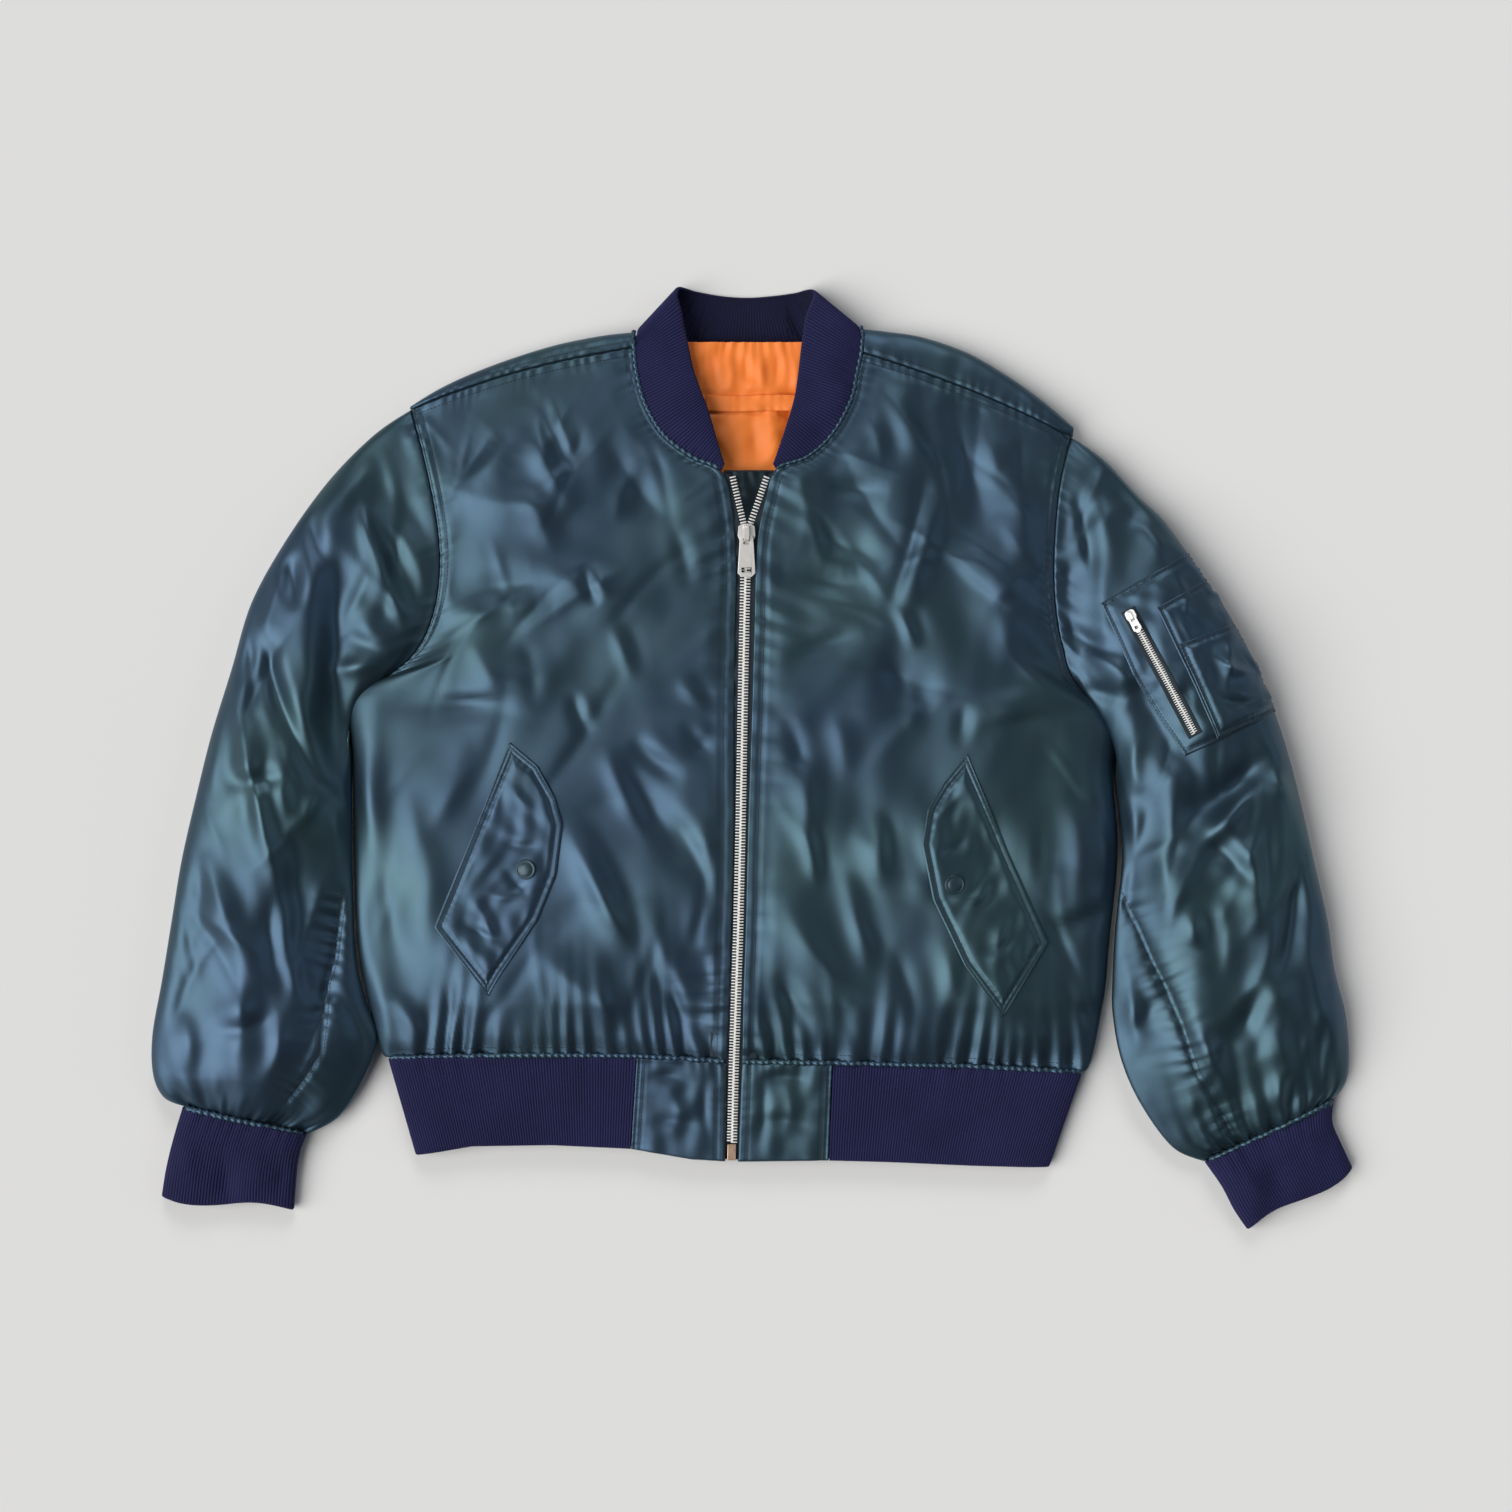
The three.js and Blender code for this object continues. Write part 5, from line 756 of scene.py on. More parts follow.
def make_sleeve(side):
    stations = np.concatenate([[0, 0.02, 0.05, 0.09], np.linspace(0.14, 13.5, 182),
        np.linspace(13.53, last_station, 14)])
    top_parts = spaced(170, 2.1, 7.0)
    station, part = np.meshgrid(stations, top_parts, indexing="ij")
    plan, width = sleeve_place(side, station, part)
    x, y = plan[..., 0], plan[..., 1]
    seed = 13 if side == "right" else 17
    sleeve_height = sleeve_column(side, station, 4)
    edge = mix(side_height, sleeve_height * 0.38, smooth(station / 3))
    from_inner = (1 - part) * width
    valley = 0.42 * roll(from_inner, inner_radius) + 0.58 * smooth(from_inner / (1.3 * inner_radius))
    height = mix(edge, sleeve_height, roll(part * width, outer_radius[side]) * valley)
    seam = mix(side_height, look_up(armhole_heights, part), roll(part * width, 10))
    height = mix(seam, height, smooth(station / 3))
    height = mix(side_height, height, tip_round(side, x, y))
    inside = smooth(part * width / 22) * smooth((1 - part) * width / 16)
    from_hole = distances(plan, 0)
    from_cuff = distances(plan, 0, backward=True)
    calm = inside * smooth(from_hole / 16) * smooth(from_cuff / 22)
    away = -1 if side == "right" else 1
    low_x, high_x = (x.min(), x.max())
    small = scattered(seed, 44, (low_x, -300, high_x, 240), 90 - away * 14, 20, (60, 150), 6.5, 2.0)
    height += calm * (0.85 * crease_height(sleeve_creases, x, y) + crease_height(small, x, y))
    height += calm * dents(x, y, seed, 84, 44, 3.0, 9, (1.0, 2.6))
    height += calm * dents(x, y, seed + 1, 44, 24, 0.5)
    hole_along = distances(plan, 1)
    height += puckers(hole_along[:1], from_hole, seed, 9, 1.9, 10)
    height += puckers(hole_along[:1], from_hole, seed + 4, 21, 2.2, 24) * smooth((part - 0.45) / 0.3)
    height -= 2.0 * (1 - roll(from_hole, 2.0))
    cuff_along = distances(plan, 1)[-1:]
    height += inside * puckers(cuff_along, from_cuff, seed + 1, 14, 6.0, 40)
    height += puckers(cuff_along, from_cuff, seed + 2, 6.5, 2.0,
        12) * smooth(part * width / 10) * smooth((1 - part) * width / 10)
    seam_along, seam_away = line_distance(sleeve_seams[side], x, y)
    reach = np.abs(seam_away)
    height += inside * (puckers(seam_along, reach, seed, 11, 2.8, 12) - 1.6 * np.exp(-((reach / 2.2) ** 2)))
    height -= 3.0 * (1 - roll(from_cuff, 3.0))
    height = np.maximum(height, edge * 0.9)
    bottom_parts = np.array([0.985, 0.955, 0.92, 0.87, 0.75, 0.6, 0.5, 0.4, 0.25, 0.13, 0.08, 0.045, 0.015])
    under_station, under_part = np.meshgrid(stations, bottom_parts, indexing="ij")
    under_plan, under_width = sleeve_place(side, under_station, under_part)
    near = np.minimum(under_part, 1 - under_part) * under_width
    under_edge = mix(side_height, sleeve_column(side, under_station, 4) * 0.38, smooth(under_station / 3))
    under = under_edge * (1 - roll(near, underside_radius))
    ring = np.concatenate([
        np.concatenate([plan, height[..., None]], axis=-1),
        np.concatenate([under_plan, under[..., None]], axis=-1),
    ], axis=1)
    return ring


for side in ("right", "left"):
    ring = make_sleeve(side)
    if side == "left":
        ring = ring[:, ::-1]
    cloth = cloth_object(f"sleeve_{side}_cloth", [cloth_arrays(ring, cloth_wall, ring=True)], shell_material)
    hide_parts(f"sleeve_{side}")
    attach(cloth, "jacket")
    cut_sheet(cloth, ring, ring=True)
    shell_pieces[f"sleeve_{side}"] = cloth

# Collar
# One band of rib knit, folded along its free edge, that runs from zip to zip round the neck. Over the chest
# its outside is up; behind the neck it lies on the surface and shows its inside.

collar_free = {
    "right": [(-23.5, 234), (-31, 261), (-38, 283), (-46, 304), (-52, 329), (-57, 355)],
    "left": [(15, 234), (23, 258), (30, 280), (34, 299), (37, 325), (41, 353)],
}
# round the back: seam x, y, free edge x, y, height
collar_back = [
    (-95, 337, -61.5, 372, 22), (-93, 344.5, -61, 379, 14), (-86, 342, -55, 379, 5),
    (-72, 336, -46, 376.5, 0),
    (-40, 331.6, -27, 373, 0), (-7, 330.6, -6, 371.5, 0), (28, 331.8, 16, 373, 0), (60, 337, 33, 375.5, 0),
    (74, 343.5, 41, 377.5, 5), (82.5, 347, 47, 377, 14), (86, 341, 48, 371, 23),
]
rib_pitch = 2.3
rib_depth = 0.8
rib_wall = 2.4
rib_steps = np.array([0, 0.14, 0.32, 0.5, 0.68, 0.86])


def rib_stations(length):
    """Distances along a rib knit band, with six for each rib so that its groove and crown are both met."""
    ribs = int(length / rib_pitch)
    return ((np.arange(ribs)[:, None] + rib_steps).ravel() / ribs * length), ribs


def rib_groove(distance, length, ribs):
    return rib_depth * (1 - np.abs(np.sin(np.pi * distance / length * ribs)) ** 0.7)


def rib_cells(distance, ribs, length, across):
    """The knit's own map, the same on both faces: the number of the rib, and how far down the band."""
    number = distance * ribs / length + 0 * across
    cells = np.stack([number.ravel(), (across + 0 * distance).ravel()], axis=-1)
    return np.concatenate([cells, cells])


def sink_along_normals(top, depth, ring=False, facing=1):
    """The same grid with each point moved inwards by its own depth."""
    along = np.gradient(top, axis=0)
    wider = np.concatenate([top[:, -1:], top, top[:, :1]], axis=1) if ring else top
    across = np.gradient(wider, axis=1)
    across = across[:, 1:-1] if ring else across
    normal = np.cross(along, across) * facing
    normal /= np.maximum(np.linalg.norm(normal, axis=-1, keepdims=True), 1e-9)
    return top - normal * depth[..., None]


def even_lengths(line, targets):
    """Places along a dense line at given shares of its length."""
    run = np.concatenate([[0], np.cumsum(np.linalg.norm(np.diff(line, axis=0), axis=1))])
    return np.stack([np.interp(targets * run[-1], run, line[:, k]) for k in range(line.shape[1])],
        axis=-1), run[-1]


def knit_material(name, colour, fuzz_colour):
    """Rib knit yarn: small stitches along each rib, matt, a little fuzz, painted shade in the grooves."""
    material = bpy.data.materials.new(name)
    material.use_nodes = True
    nodes = material.node_tree.nodes
    links = material.node_tree.links
    shader = nodes["Principled BSDF"]
    shader.inputs["Roughness"].default_value = 0.85
    shader.inputs["Specular IOR Level"].default_value = 0.25
    shader.inputs["Sheen Weight"].default_value = 0.12
    shader.inputs["Sheen Roughness"].default_value = 0.5
    shader.inputs["Sheen Tint"].default_value = (*fuzz_colour, 1)
    place = nodes.new("ShaderNodeTexCoord")
    worn = nodes.new("ShaderNodeTexNoise")
    worn.inputs["Scale"].default_value = 26
    worn.inputs["Detail"].default_value = 5
    links.new(place.outputs["Object"], worn.inputs["Vector"])
    fleck = nodes.new("ShaderNodeTexNoise")
    fleck.inputs["Scale"].default_value = 900
    fleck.inputs["Detail"].default_value = 2
    links.new(place.outputs["Object"], fleck.inputs["Vector"])
    shade = nodes.new("ShaderNodeMixRGB")
    shade.inputs["Color1"].default_value = (*[c * 0.4 for c in colour], 1)
    shade.inputs["Color2"].default_value = (*[c * 1.9 for c in colour], 1)
    blend = nodes.new("ShaderNodeMath")
    blend.operation = "MULTIPLY_ADD"
    blend.inputs[1].default_value = 0.5
    links.new(fleck.outputs["Fac"], blend.inputs[0])
    half = nodes.new("ShaderNodeMath")
    half.operation = "MULTIPLY"
    half.inputs[1].default_value = 0.5
    links.new(worn.outputs["Fac"], half.inputs[0])
    links.new(half.outputs[0], blend.inputs[2])
    links.new(blend.outputs[0], shade.inputs["Fac"])
    # Painted shade and painted highlight: the base colour drops to 0.3 in each groove between ribs and rises
    # to 1.25 on each crown.
    flat = nodes.new("ShaderNodeUVMap")
    flat.uv_map = "cloth"
    split = nodes.new("ShaderNodeSeparateXYZ")
    links.new(flat.outputs["UV"], split.inputs["Vector"])
    turn = nodes.new("ShaderNodeMath")
    turn.operation = "MULTIPLY"
    turn.inputs[1].default_value = np.pi / mm
    links.new(split.outputs["X"], turn.inputs[0])
    wave = nodes.new("ShaderNodeMath")
    wave.operation = "SINE"
    links.new(turn.outputs[0], wave.inputs[0])
    crown = nodes.new("ShaderNodeMath")
    crown.operation = "ABSOLUTE"
    links.new(wave.outputs[0], crown.inputs[0])
    # painted shade: this multiplies the base colour, darker in the grooves and lighter on the crowns
    groove = nodes.new("ShaderNodeMixRGB")
    groove.blend_type = "MULTIPLY"
    groove.inputs["Fac"].default_value = 1
    depth = nodes.new("ShaderNodeValToRGB")
    depth.color_ramp.elements[0].color = (0.3, 0.3, 0.34, 1)
    depth.color_ramp.elements[1].position = 0.8
    depth.color_ramp.elements[1].color = (1.25, 1.25, 1.2, 1)
    links.new(crown.outputs[0], depth.inputs["Fac"])
    links.new(shade.outputs["Color"], groove.inputs["Color1"])
    links.new(depth.outputs["Color"], groove.inputs["Color2"])
    links.new(groove.outputs["Color"], shader.inputs["Base Color"])
    stitches = nodes.new("ShaderNodeTexVoronoi")
    stitches.inputs["Scale"].default_value = 820
    links.new(place.outputs["Object"], stitches.inputs["Vector"])
    relief = nodes.new("ShaderNodeBump")
    relief.inputs["Strength"].default_value = 0.5
    relief.inputs["Distance"].default_value = 0.0005
    links.new(stitches.outputs["Distance"], relief.inputs["Height"])
    links.new(relief.outputs["Normal"], shader.inputs["Normal"])
    return material


rib_material = knit_material("rib_knit", (0.0110, 0.0115, 0.055), (0.25, 0.25, 0.6))


def surface_tree(*pieces):
    depsgraph = bpy.context.evaluated_depsgraph_get()
    return [BVHTree.FromObject(piece, depsgraph) for piece in pieces]


def on_cloth(trees, plan):
    """Height of the cloth and its upward normal at each place of the plan, in millimetres."""
    heights = np.zeros(len(plan))
    normals = np.tile([0.0, 0.0, 1.0], (len(plan), 1))
    for k, (x_place, y_place) in enumerate(plan):
        best = -1.0
        for tree in trees:
            spot, normal, _, _ = tree.ray_cast(Vector((x_place * mm, y_place * mm, 0.2)), Vector((0, 0, -1)))
            if spot is not None and spot.z > best:
                best = spot.z
                normals[k] = normal if normal.z > 0 else -normal
        heights[k] = best / mm
    return heights, normals


def rolled_seam(name, line, radius, trees, seed, reach=3.5):
    """The shell's turned edge along a seam: a roll of cloth that each stitch pinches, seated on the cloth."""
    line = np.asarray(line, float)
    run = np.concatenate([[0], np.cumsum(np.linalg.norm(np.diff(line, axis=0), axis=1))])
    stations = spaced(run[-1], 1.1) * run[-1]
    plan = np.stack([np.interp(stations, run, line[:, k]) for k in range(2)], axis=-1)
    ahead = np.gradient(plan, axis=0)
    ahead /= np.linalg.norm(ahead, axis=1, keepdims=True)
    across = np.stack([-ahead[:, 1], ahead[:, 0]], axis=-1)
    beside = [on_cloth(trees, plan + across * offset)[0] for offset in (-reach, reach)]
    seat = np.where(np.minimum(*beside) < 0, np.maximum(*beside), (beside[0] + beside[1]) / 2)
    window = np.hanning(15)
    seat = np.convolve(np.pad(seat, 7, mode="edge"), window / window.sum(), mode="valid")
    turns = np.linspace(0, 2 * np.pi, 15)[:-1]
    away, turn = np.meshgrid(stations, turns, indexing="ij")
    wander = 1.4 * np.sin(away / 23 + seed) + 0.8 * np.sin(away / 9 + 2 * seed)
    pinch = 0.5 + 0.5 * np.sin(2 * np.pi * away / 5.4 + wander + 1.1 * np.cos(turn))
    size = radius * (1 - 0.34 * pinch**1.5 + 0.08 * np.sin(away / 31 + seed))
    ends = roll(away, radius) * roll(run[-1] - away, radius)
    size *= 0.25 + 0.75 * ends
    points = np.zeros((*away.shape, 3))
    points[..., :2] = plan[:, None] + across[:, None] * (size * np.cos(turn))[..., None]
    points[..., 2] = np.maximum(seat[:, None] - 0.35 * radius + size * np.sin(turn), 0.05)
    rows, columns = away.shape
    index = np.arange(rows * columns).reshape(rows, columns)
    wrapped = np.concatenate([index, index[:, :1]], axis=1)
    sides = np.stack([wrapped[:-1, :-1], wrapped[:-1, 1:], wrapped[1:, 1:], wrapped[1:, :-1]],
        axis=-1).reshape(-1, 4)
    half = columns // 2
    fans = []
    for k in range(half - 1):
        fans.append([index[0, k], index[0, columns - 1 - k], index[0, columns - 2 - k], index[0, k + 1]])
        fans.append([index[-1, k], index[-1, k + 1], index[-1, columns - 2 - k], index[-1, columns - 1 - k]])
    cord = cloth_object(name, [(points.reshape(-1, 3), np.concatenate([sides, fans]))], shell_material)
    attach(cord, "jacket")
    return cord


def front_edge_height(side, row):
    place = edge_place(side, row)
    return mix(shoulder_seam_height, front_height(place[:, 1]), smooth(row / 2.5))


collar_rows = np.array([5, 4.5, 3.8, 3.1, 2.4, 1.7, 1, 0.4, 0])
knots = {}
for side in ("right", "left"):
    seam = edge_place(side, collar_rows)
    free = curve_through(collar_free[side], (5 - collar_rows) / 5)
    height = front_edge_height(side, collar_rows)
    knots[side] = np.column_stack([seam, height, free, height + 1])
back_rows = np.array([(sx, sy, h, fx, fy, h) for sx, sy, fx, fy, h in collar_back], float)
collar_knots = np.concatenate([knots["right"], back_rows, knots["left"][::-1]])
dense = curve_through(collar_knots, np.linspace(0, 1, 1500))
middle_line = (dense[:, :3] + dense[:, 3:]) / 2
run = np.concatenate([[0], np.cumsum(np.linalg.norm(np.diff(middle_line, axis=0), axis=1))])
stations, ribs = rib_stations(run[-1])
bands = np.stack([np.interp(stations, run, dense[:, k]) for k in range(6)], axis=-1)
shares = np.concatenate([[0, 0.02, 0.05, 0.1], np.linspace(0.18, 0.82, 7), [0.9, 0.95, 0.98, 1]])[:, None,
    None]
collar_top = bands[None, :, :3] * (1 - shares) + bands[None, :, 3:] * shares
width = np.linalg.norm(bands[:, 3:] - bands[:, :3], axis=-1)
across = shares[..., 0] * width
forward = smooth((bands[:, 2] - 16) / 8)
collar_top[..., 2] += forward * (2.2 * np.sin(np.pi * shares[..., 0]) * smooth(width / 30))
collar_top[..., 2] += forward * dents(collar_top[..., 0], collar_top[..., 1], 31, 60, 26,
    0.7) * smooth(across / 8)
pull = puckers(stations, across, 5, 8, 0.9, 9)
edge_round = 1.3 * (2 - roll(across, 2.2) - roll(width - across, 2.6))
collar_top = sink_along_normals(collar_top,
    rib_groove(stations, run[-1], ribs) * np.ones_like(across) + edge_round - pull * forward)
collar_top[..., 2] = np.maximum(collar_top[..., 2], 0.05)
cells = rib_cells(stations, ribs, run[-1], across)
collar = cloth_object("collar_knit", [cloth_arrays(collar_top, rib_wall)], rib_material, cells)
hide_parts("collar")
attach(collar, "jacket")
cut_sheet(collar, collar_top)
neck_rows = np.linspace(4.95, 0.05, 60)
neck_ends = {"right": [(-97, 338), (-95.5, 343)], "left": [(87, 341), (85, 346)]}
for side in ("right", "left"):
    line = [*edge_place(side, neck_rows), *neck_ends[side]]
    trees = surface_tree(collar, shell_pieces[f"front_{side}"], shell_pieces["back"])
    rolled_seam(f"neck_roll_{side}", line, 2.1, trees, 3 if side == "right" else 5)
# Cuffs and waist rib
# Tubes of rib knit at the wrists, crumpled a little where they lie, and one deep band of rib that runs from
# the cloth tab on one side of the zip round the back to the other.

cuff_rows = {
    # outer fold x, y, inner fold x, y, height, from the seam to the edge
    "right": [
        (-459.3, -279.5, -359.4, -302.4, 22), (-467, -305, -365, -317, 21), (-473, -329, -368, -337, 19),
        (-477, -352, -370, -363, 16),
    ],
    "left": [
        (466, -273.9, 362.3, -324.4, 22), (465, -291, 376, -344, 21), (472, -308, 386, -363, 19),
        (482, -329, 397, -379, 16),
    ],
}
cuff_creases = [
    (-424, -312, -424, -338, -419, -366, 10, -6.0, 0.3), (-372, -326, -378, -338, -382, -354, 7, -3.2, 0.4),
    (-450, -306, -452, -326, -446, -348, 8, 2.4, 0.3), (-398, -310, -396, -330, -400, -352, 8, 2.0, 0.3),
    (404, -316, 418, -336, 432, -360, 10, -4.6, 0.4), (440, -300, 448, -316, 456, -336, 8, 2.4, 0.3),
    (388, -330, 400, -344, 408, -362, 7, 2.2, 0.3),
]
lower_edge = [
    (-272, -319), (-226, -311), (-162, -310), (-99, -313), (-50, -321.5), (-18, -323.5), (60, -322.5),
    (104, -323.6), (177, -326.8), (238, -328.5),
]
tab_seams = {"right": (-94, -99), "left": (63, 60)}


def make_cuff(side):
    rows = cuff_rows[side]
    down = np.concatenate([[0, 0.03], np.linspace(0.09, 0.94, 13), [0.97, 1]])
    outer = curve_through([row[:2] for row in rows], down)
    inner = curve_through([row[2:4] for row in rows], down)
    tall = curve_through([(row[4], 0) for row in rows], down)[:, 0]
    width = np.linalg.norm(outer - inner, axis=1)[:, None]
    distance, ribs = rib_stations(210.0)
    turn = distance / 210.0
    part = np.where(turn < 0.5, turn * 2, 2 - turn * 2)[None, :]
    over = (turn < 0.5)[None, :]
    run_x = (inner[:, 1] - outer[:, 1])[:, None] / width
    run_y = (outer[:, 0] - inner[:, 0])[:, None] / width
    out = 3.5 * smooth(down * 3 - 2)[:, None] * np.sin(2 * np.pi * part) * (1 if side == "right" else -1)
    x = mix(outer[:, :1], inner[:, :1], part) + run_x * out
    y = mix(outer[:, 1:], inner[:, 1:], part) + run_y * out
    near = np.minimum(part, 1 - part) * width
    edge = tall[:, None] * 0.42
    lift = crease_height(cuff_creases, x, y) + dents(x, y, 41, 46, 20, 0.9)
    lift += puckers(part * 105 + 0 * x, down[:, None] * 60 + 0 * x, 7, 10, 1.6, 14)
    top = mix(edge, tall[:, None], roll(near, 18)) + lift * smooth(near / 14)
    bottom = edge * (1 - roll(near, 11))
    height = np.where(over, top, bottom)
    ring = np.stack([x, y, height], axis=-1)
    lip = 1.0 * (1 - roll((1 - down) * 60, 2.4))[:, None]
    depth = rib_groove(distance, 210.0, ribs)[None, :] + lip + 0 * x
    facing = 1 if side == "right" else -1
    ring = sink_along_normals(ring, depth, ring=True, facing=facing)
    ring[..., 2] = np.maximum(ring[..., 2], 0.05)
    cells = rib_cells(distance[None, :], ribs, 210.0, down[:, None] * 60)
    return ring, cloth_arrays(ring, rib_wall, ring=True, facing=facing), cells


for side in ("right", "left"):
    ring, shell, cells = make_cuff(side)
    cuff = cloth_object(f"cuff_{side}_knit", [shell], rib_material, cells)
    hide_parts(f"cuff_{side}")
    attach(cuff, "jacket")
    cut_sheet(cuff, ring, ring=True)
    parts = np.linspace(0.03, 0.97, 50)
    line = sleeve_place(side, np.full(50, float(last_station)), parts)[0]
    trees = surface_tree(cuff, shell_pieces[f"sleeve_{side}"])
    rolled_seam(f"cuff_roll_{side}", line, 2.9, trees, 7 if side == "right" else 9)


def make_waist_rib():
    shares = np.concatenate([[0, 0.015, 0.05], np.linspace(0.13, 0.87, 5), [0.95, 0.985, 1]])
    runs = [(0.36, 0.0, 560), (0.0, 1.0, 1180), (1.0, 0.64, 560)]
    lengths = [200.0, 558.0, 203.0]
    whole = sum(lengths)
    distance, ribs = rib_stations(whole)
    start = 0.0
    pieces = []
    for (from_part, to_part, _), length in zip(runs, lengths):
        here = distance[(distance >= start) & (distance < start + length)]
        pieces.append((np.interp(here, [start, start + length], [from_part, to_part]),
            from_part != 0.0 or to_part != 1.0))
        start += length
    part = np.concatenate([piece for piece, _ in pieces])[None, :]
    is_top = np.concatenate([np.full(len(piece), top) for piece, top in pieces])[None, :]
    share = shares[:, None]
    from_x = mix(-294, -272, share)
    to_x = mix(264, 238, share)
    width = to_x - from_x
    right_end = (mix(*tab_seams["right"], share) - from_x) / width
    left_end = (mix(*tab_seams["left"], share) - from_x) / width
    scaled = np.where(part < 0.5, part / 0.36 * right_end, 1 - (1 - part) / 0.36 * (1 - left_end))
    part = np.where(is_top, scaled, part)
    x = mix(from_x, to_x, part)
    y = mix(waist_seam_y(x) - seam_gap, look_up(lower_edge, x), share)
    near = np.minimum(part, 1 - part) * width
    middle = front_height(mix(-242, -318, share))
    fold = middle * 0.5
    from_seam = share * 78 + 0 * x
    lift = dents(x, y, 51, 80, 30, 0.8) + puckers(x + 0 * y, from_seam, 9, 17, 1.4, 16)
    top = mix(fold, front_height(y), roll(near,
        side_radius)) + lift * smooth(near / 18) * smooth((1 - share) / 0.15)
    bottom = fold * (1 - roll(near, underside_radius))
    grid = np.stack([x, y, np.where(is_top, top, bottom)], axis=-1)
    depth = rib_groove(distance, whole, ribs)[None,
        :] + 1.2 * (2 - roll(from_seam, 2.2) - roll(78 - from_seam, 2.6))
    grid = sink_along_normals(grid, depth, facing=-1)
    grid[..., 2] = np.maximum(grid[..., 2], 0.05)
    return grid, rib_cells(distance[None, :], ribs, whole, from_seam)


waist_grid, cells = make_waist_rib()
waist = cloth_object("waist_knit", [cloth_arrays(waist_grid, rib_wall, facing=-1)], rib_material, cells)
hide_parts("waist_rib")
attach(waist, "jacket")
cut_sheet(waist, waist_grid)

# Waist tabs
# A double piece of the shell cloth on each side of the zip, topstitched along the zip and along the rib.
tab_edges = {"right": (-22, -23), "left": (-10, -13)}
tab_creases = [
    (-90, -262, -70, -254, -44, -262, 5, -1.8, 0.5), (-84, -296, -66, -290, -40, -296, 6, -1.8, 0.5),
    (-70, -262, -60, -282, -66, -304, 6, 1.8, 0.5), (-38, -252, -40, -280, -36, -308, 4, -1.4, 0.4),
    (0, -262, 22, -254, 50, -262, 5, -1.8, 0.5), (4, -296, 26, -290, 50, -300, 6, -1.8, 0.5),
    (24, -256, 30, -280, 22, -306, 6, 1.8, 0.5), (6, -252, 8, -280, 4, -312, 4, -1.4, 0.4),
]
for side in ("right", "left"):
    sign = -1 if side == "right" else 1
    share, part = np.meshgrid(spaced(78, 2.0, 5.0), spaced(74, 2.0, 5.0), indexing="ij")
    x = mix(mix(*tab_seams[side], share), mix(*tab_edges[side], share), part)
    y = mix(waist_seam_y(x) - seam_gap, look_up(lower_edge, x), share)
    plan = np.stack([x, y], axis=-1)
    from_rib = distances(plan, 1)
    from_zip = distances(plan, 1, backward=True)
    from_seam = distances(plan, 0)
    from_low = distances(plan, 0, backward=True)
    height = front_height(y) + (crease_height(tab_creases, x, y) + dents(x, y, 61, 40, 16,
        0.6)) * smooth(from_zip / 12)
    height += puckers(y, from_zip, 3, 9, 1.0, 8) + puckers(y, from_rib, 4, 8, 0.9, 7) + puckers(x, from_seam,
        6, 9, 1.0, 8)
    height += stitch_line(from_zip, 7.5, 0.5) + stitch_line(from_rib, 3.0, 0.4) + stitch_line(from_rib, 7.0,
        0.4)
    height -= 1.8 * (4 - roll(from_zip, 2) - roll(from_rib, 1.2) - roll(from_seam, 1.6) - roll(from_low, 2))
    grid = np.concatenate([plan, height[..., None]], axis=-1)
    if side == "left":
        grid = grid[:, ::-1]
    tab = cloth_object(f"tab_{side}_cloth", [cloth_arrays(grid, cloth_wall)], shell_material)
    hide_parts(f"waist_tab_{side}")
    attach(tab, "jacket")
    cut_sheet(tab, grid)
    shell_pieces[f"tab_{side}"] = tab
waist_trees = surface_tree(waist, *[shell_pieces[f"{piece}_{side}"] for piece in ("front",
    "tab") for side in ("right", "left")])
for side, from_x, to_x in (("right", -292, -23.5), ("left", -7.5, 262)):
    across = np.linspace(from_x, to_x, 80)
    line = np.stack([across, waist_seam_y(across) + 0.5], axis=-1)
    rolled_seam(f"waist_roll_{side}", line, 2.8, waist_trees, 11 if side == "right" else 13, 4.5)
# Inside of the neck
# The orange satin lining of the back, puckered along its top seam, with a strip sewn across it, and the dark
# wind flap that shows in the open part of the zip.

lining_creases = [
    (-46, 326, -44, 306, -46, 292, 3.0, 1.8, 0.5), (-34, 326, -32, 310, -30, 293, 3.2, -1.8, 0.4),
    (-20, 327, -18, 308, -22, 292, 3.4, 2.0, 0.5), (-8, 327, -6, 312, -7, 294, 3.0, -1.6, 0.4),
    (8, 327, 6, 308, 10, 292, 3.4, 2.0, 0.5), (20, 327, 19, 310, 17, 294, 3.0, -1.8, 0.4),
    (32, 326, 34, 306, 32, 292, 3.2, 1.8, 0.5), (44, 326, 46, 308, 48, 294, 3.0, -1.6, 0.4),
    (-30, 276, -26, 256, -16, 236, 6, 2.6, 0.5), (-4, 274, 0, 256, 2, 232, 6, -2.2, 0.4),
    (26, 276, 20, 256, 10, 234, 6, 2.6, 0.5), (-40, 262, -34, 246, -30, 232, 5, -2.0, 0.4),
    (-14, 306, -4, 300, 10, 298, 4, 1.4, 0.4), (16, 266, 26, 256, 30, 240, 4, -1.6, 0.4),
    (30, 300, 30, 272, 22, 238, 9, -7.0, 0.2), (13, 286, 15, 268, 12, 248, 6, 1.6, 0),
]
lining_edges = [(172, -30, 22), (205, -34, 25), (240, -46, 34), (262, -56, 46), (290, -68, 60),
    (334, -72, 60)]
share, part = np.meshgrid(spaced(162, 1.9), spaced(130, 1.9), indexing="ij")
y = mix(334, 172, share)
right_x = look_up([(row[0], row[1]) for row in lining_edges], y)
left_x = look_up([(row[0], row[2]) for row in lining_edges], y)
x = mix(right_x, left_x, part)
from_top = 334 - y
height = 15.0 + crease_height(lining_creases, x, y) + dents(x, y, 71, 40, 14, 0.7)
height += puckers(x, from_top, 3, 6.5, 2.2, 14) + puckers(x, np.abs(y - 284), 5, 9, 1.2, 9)
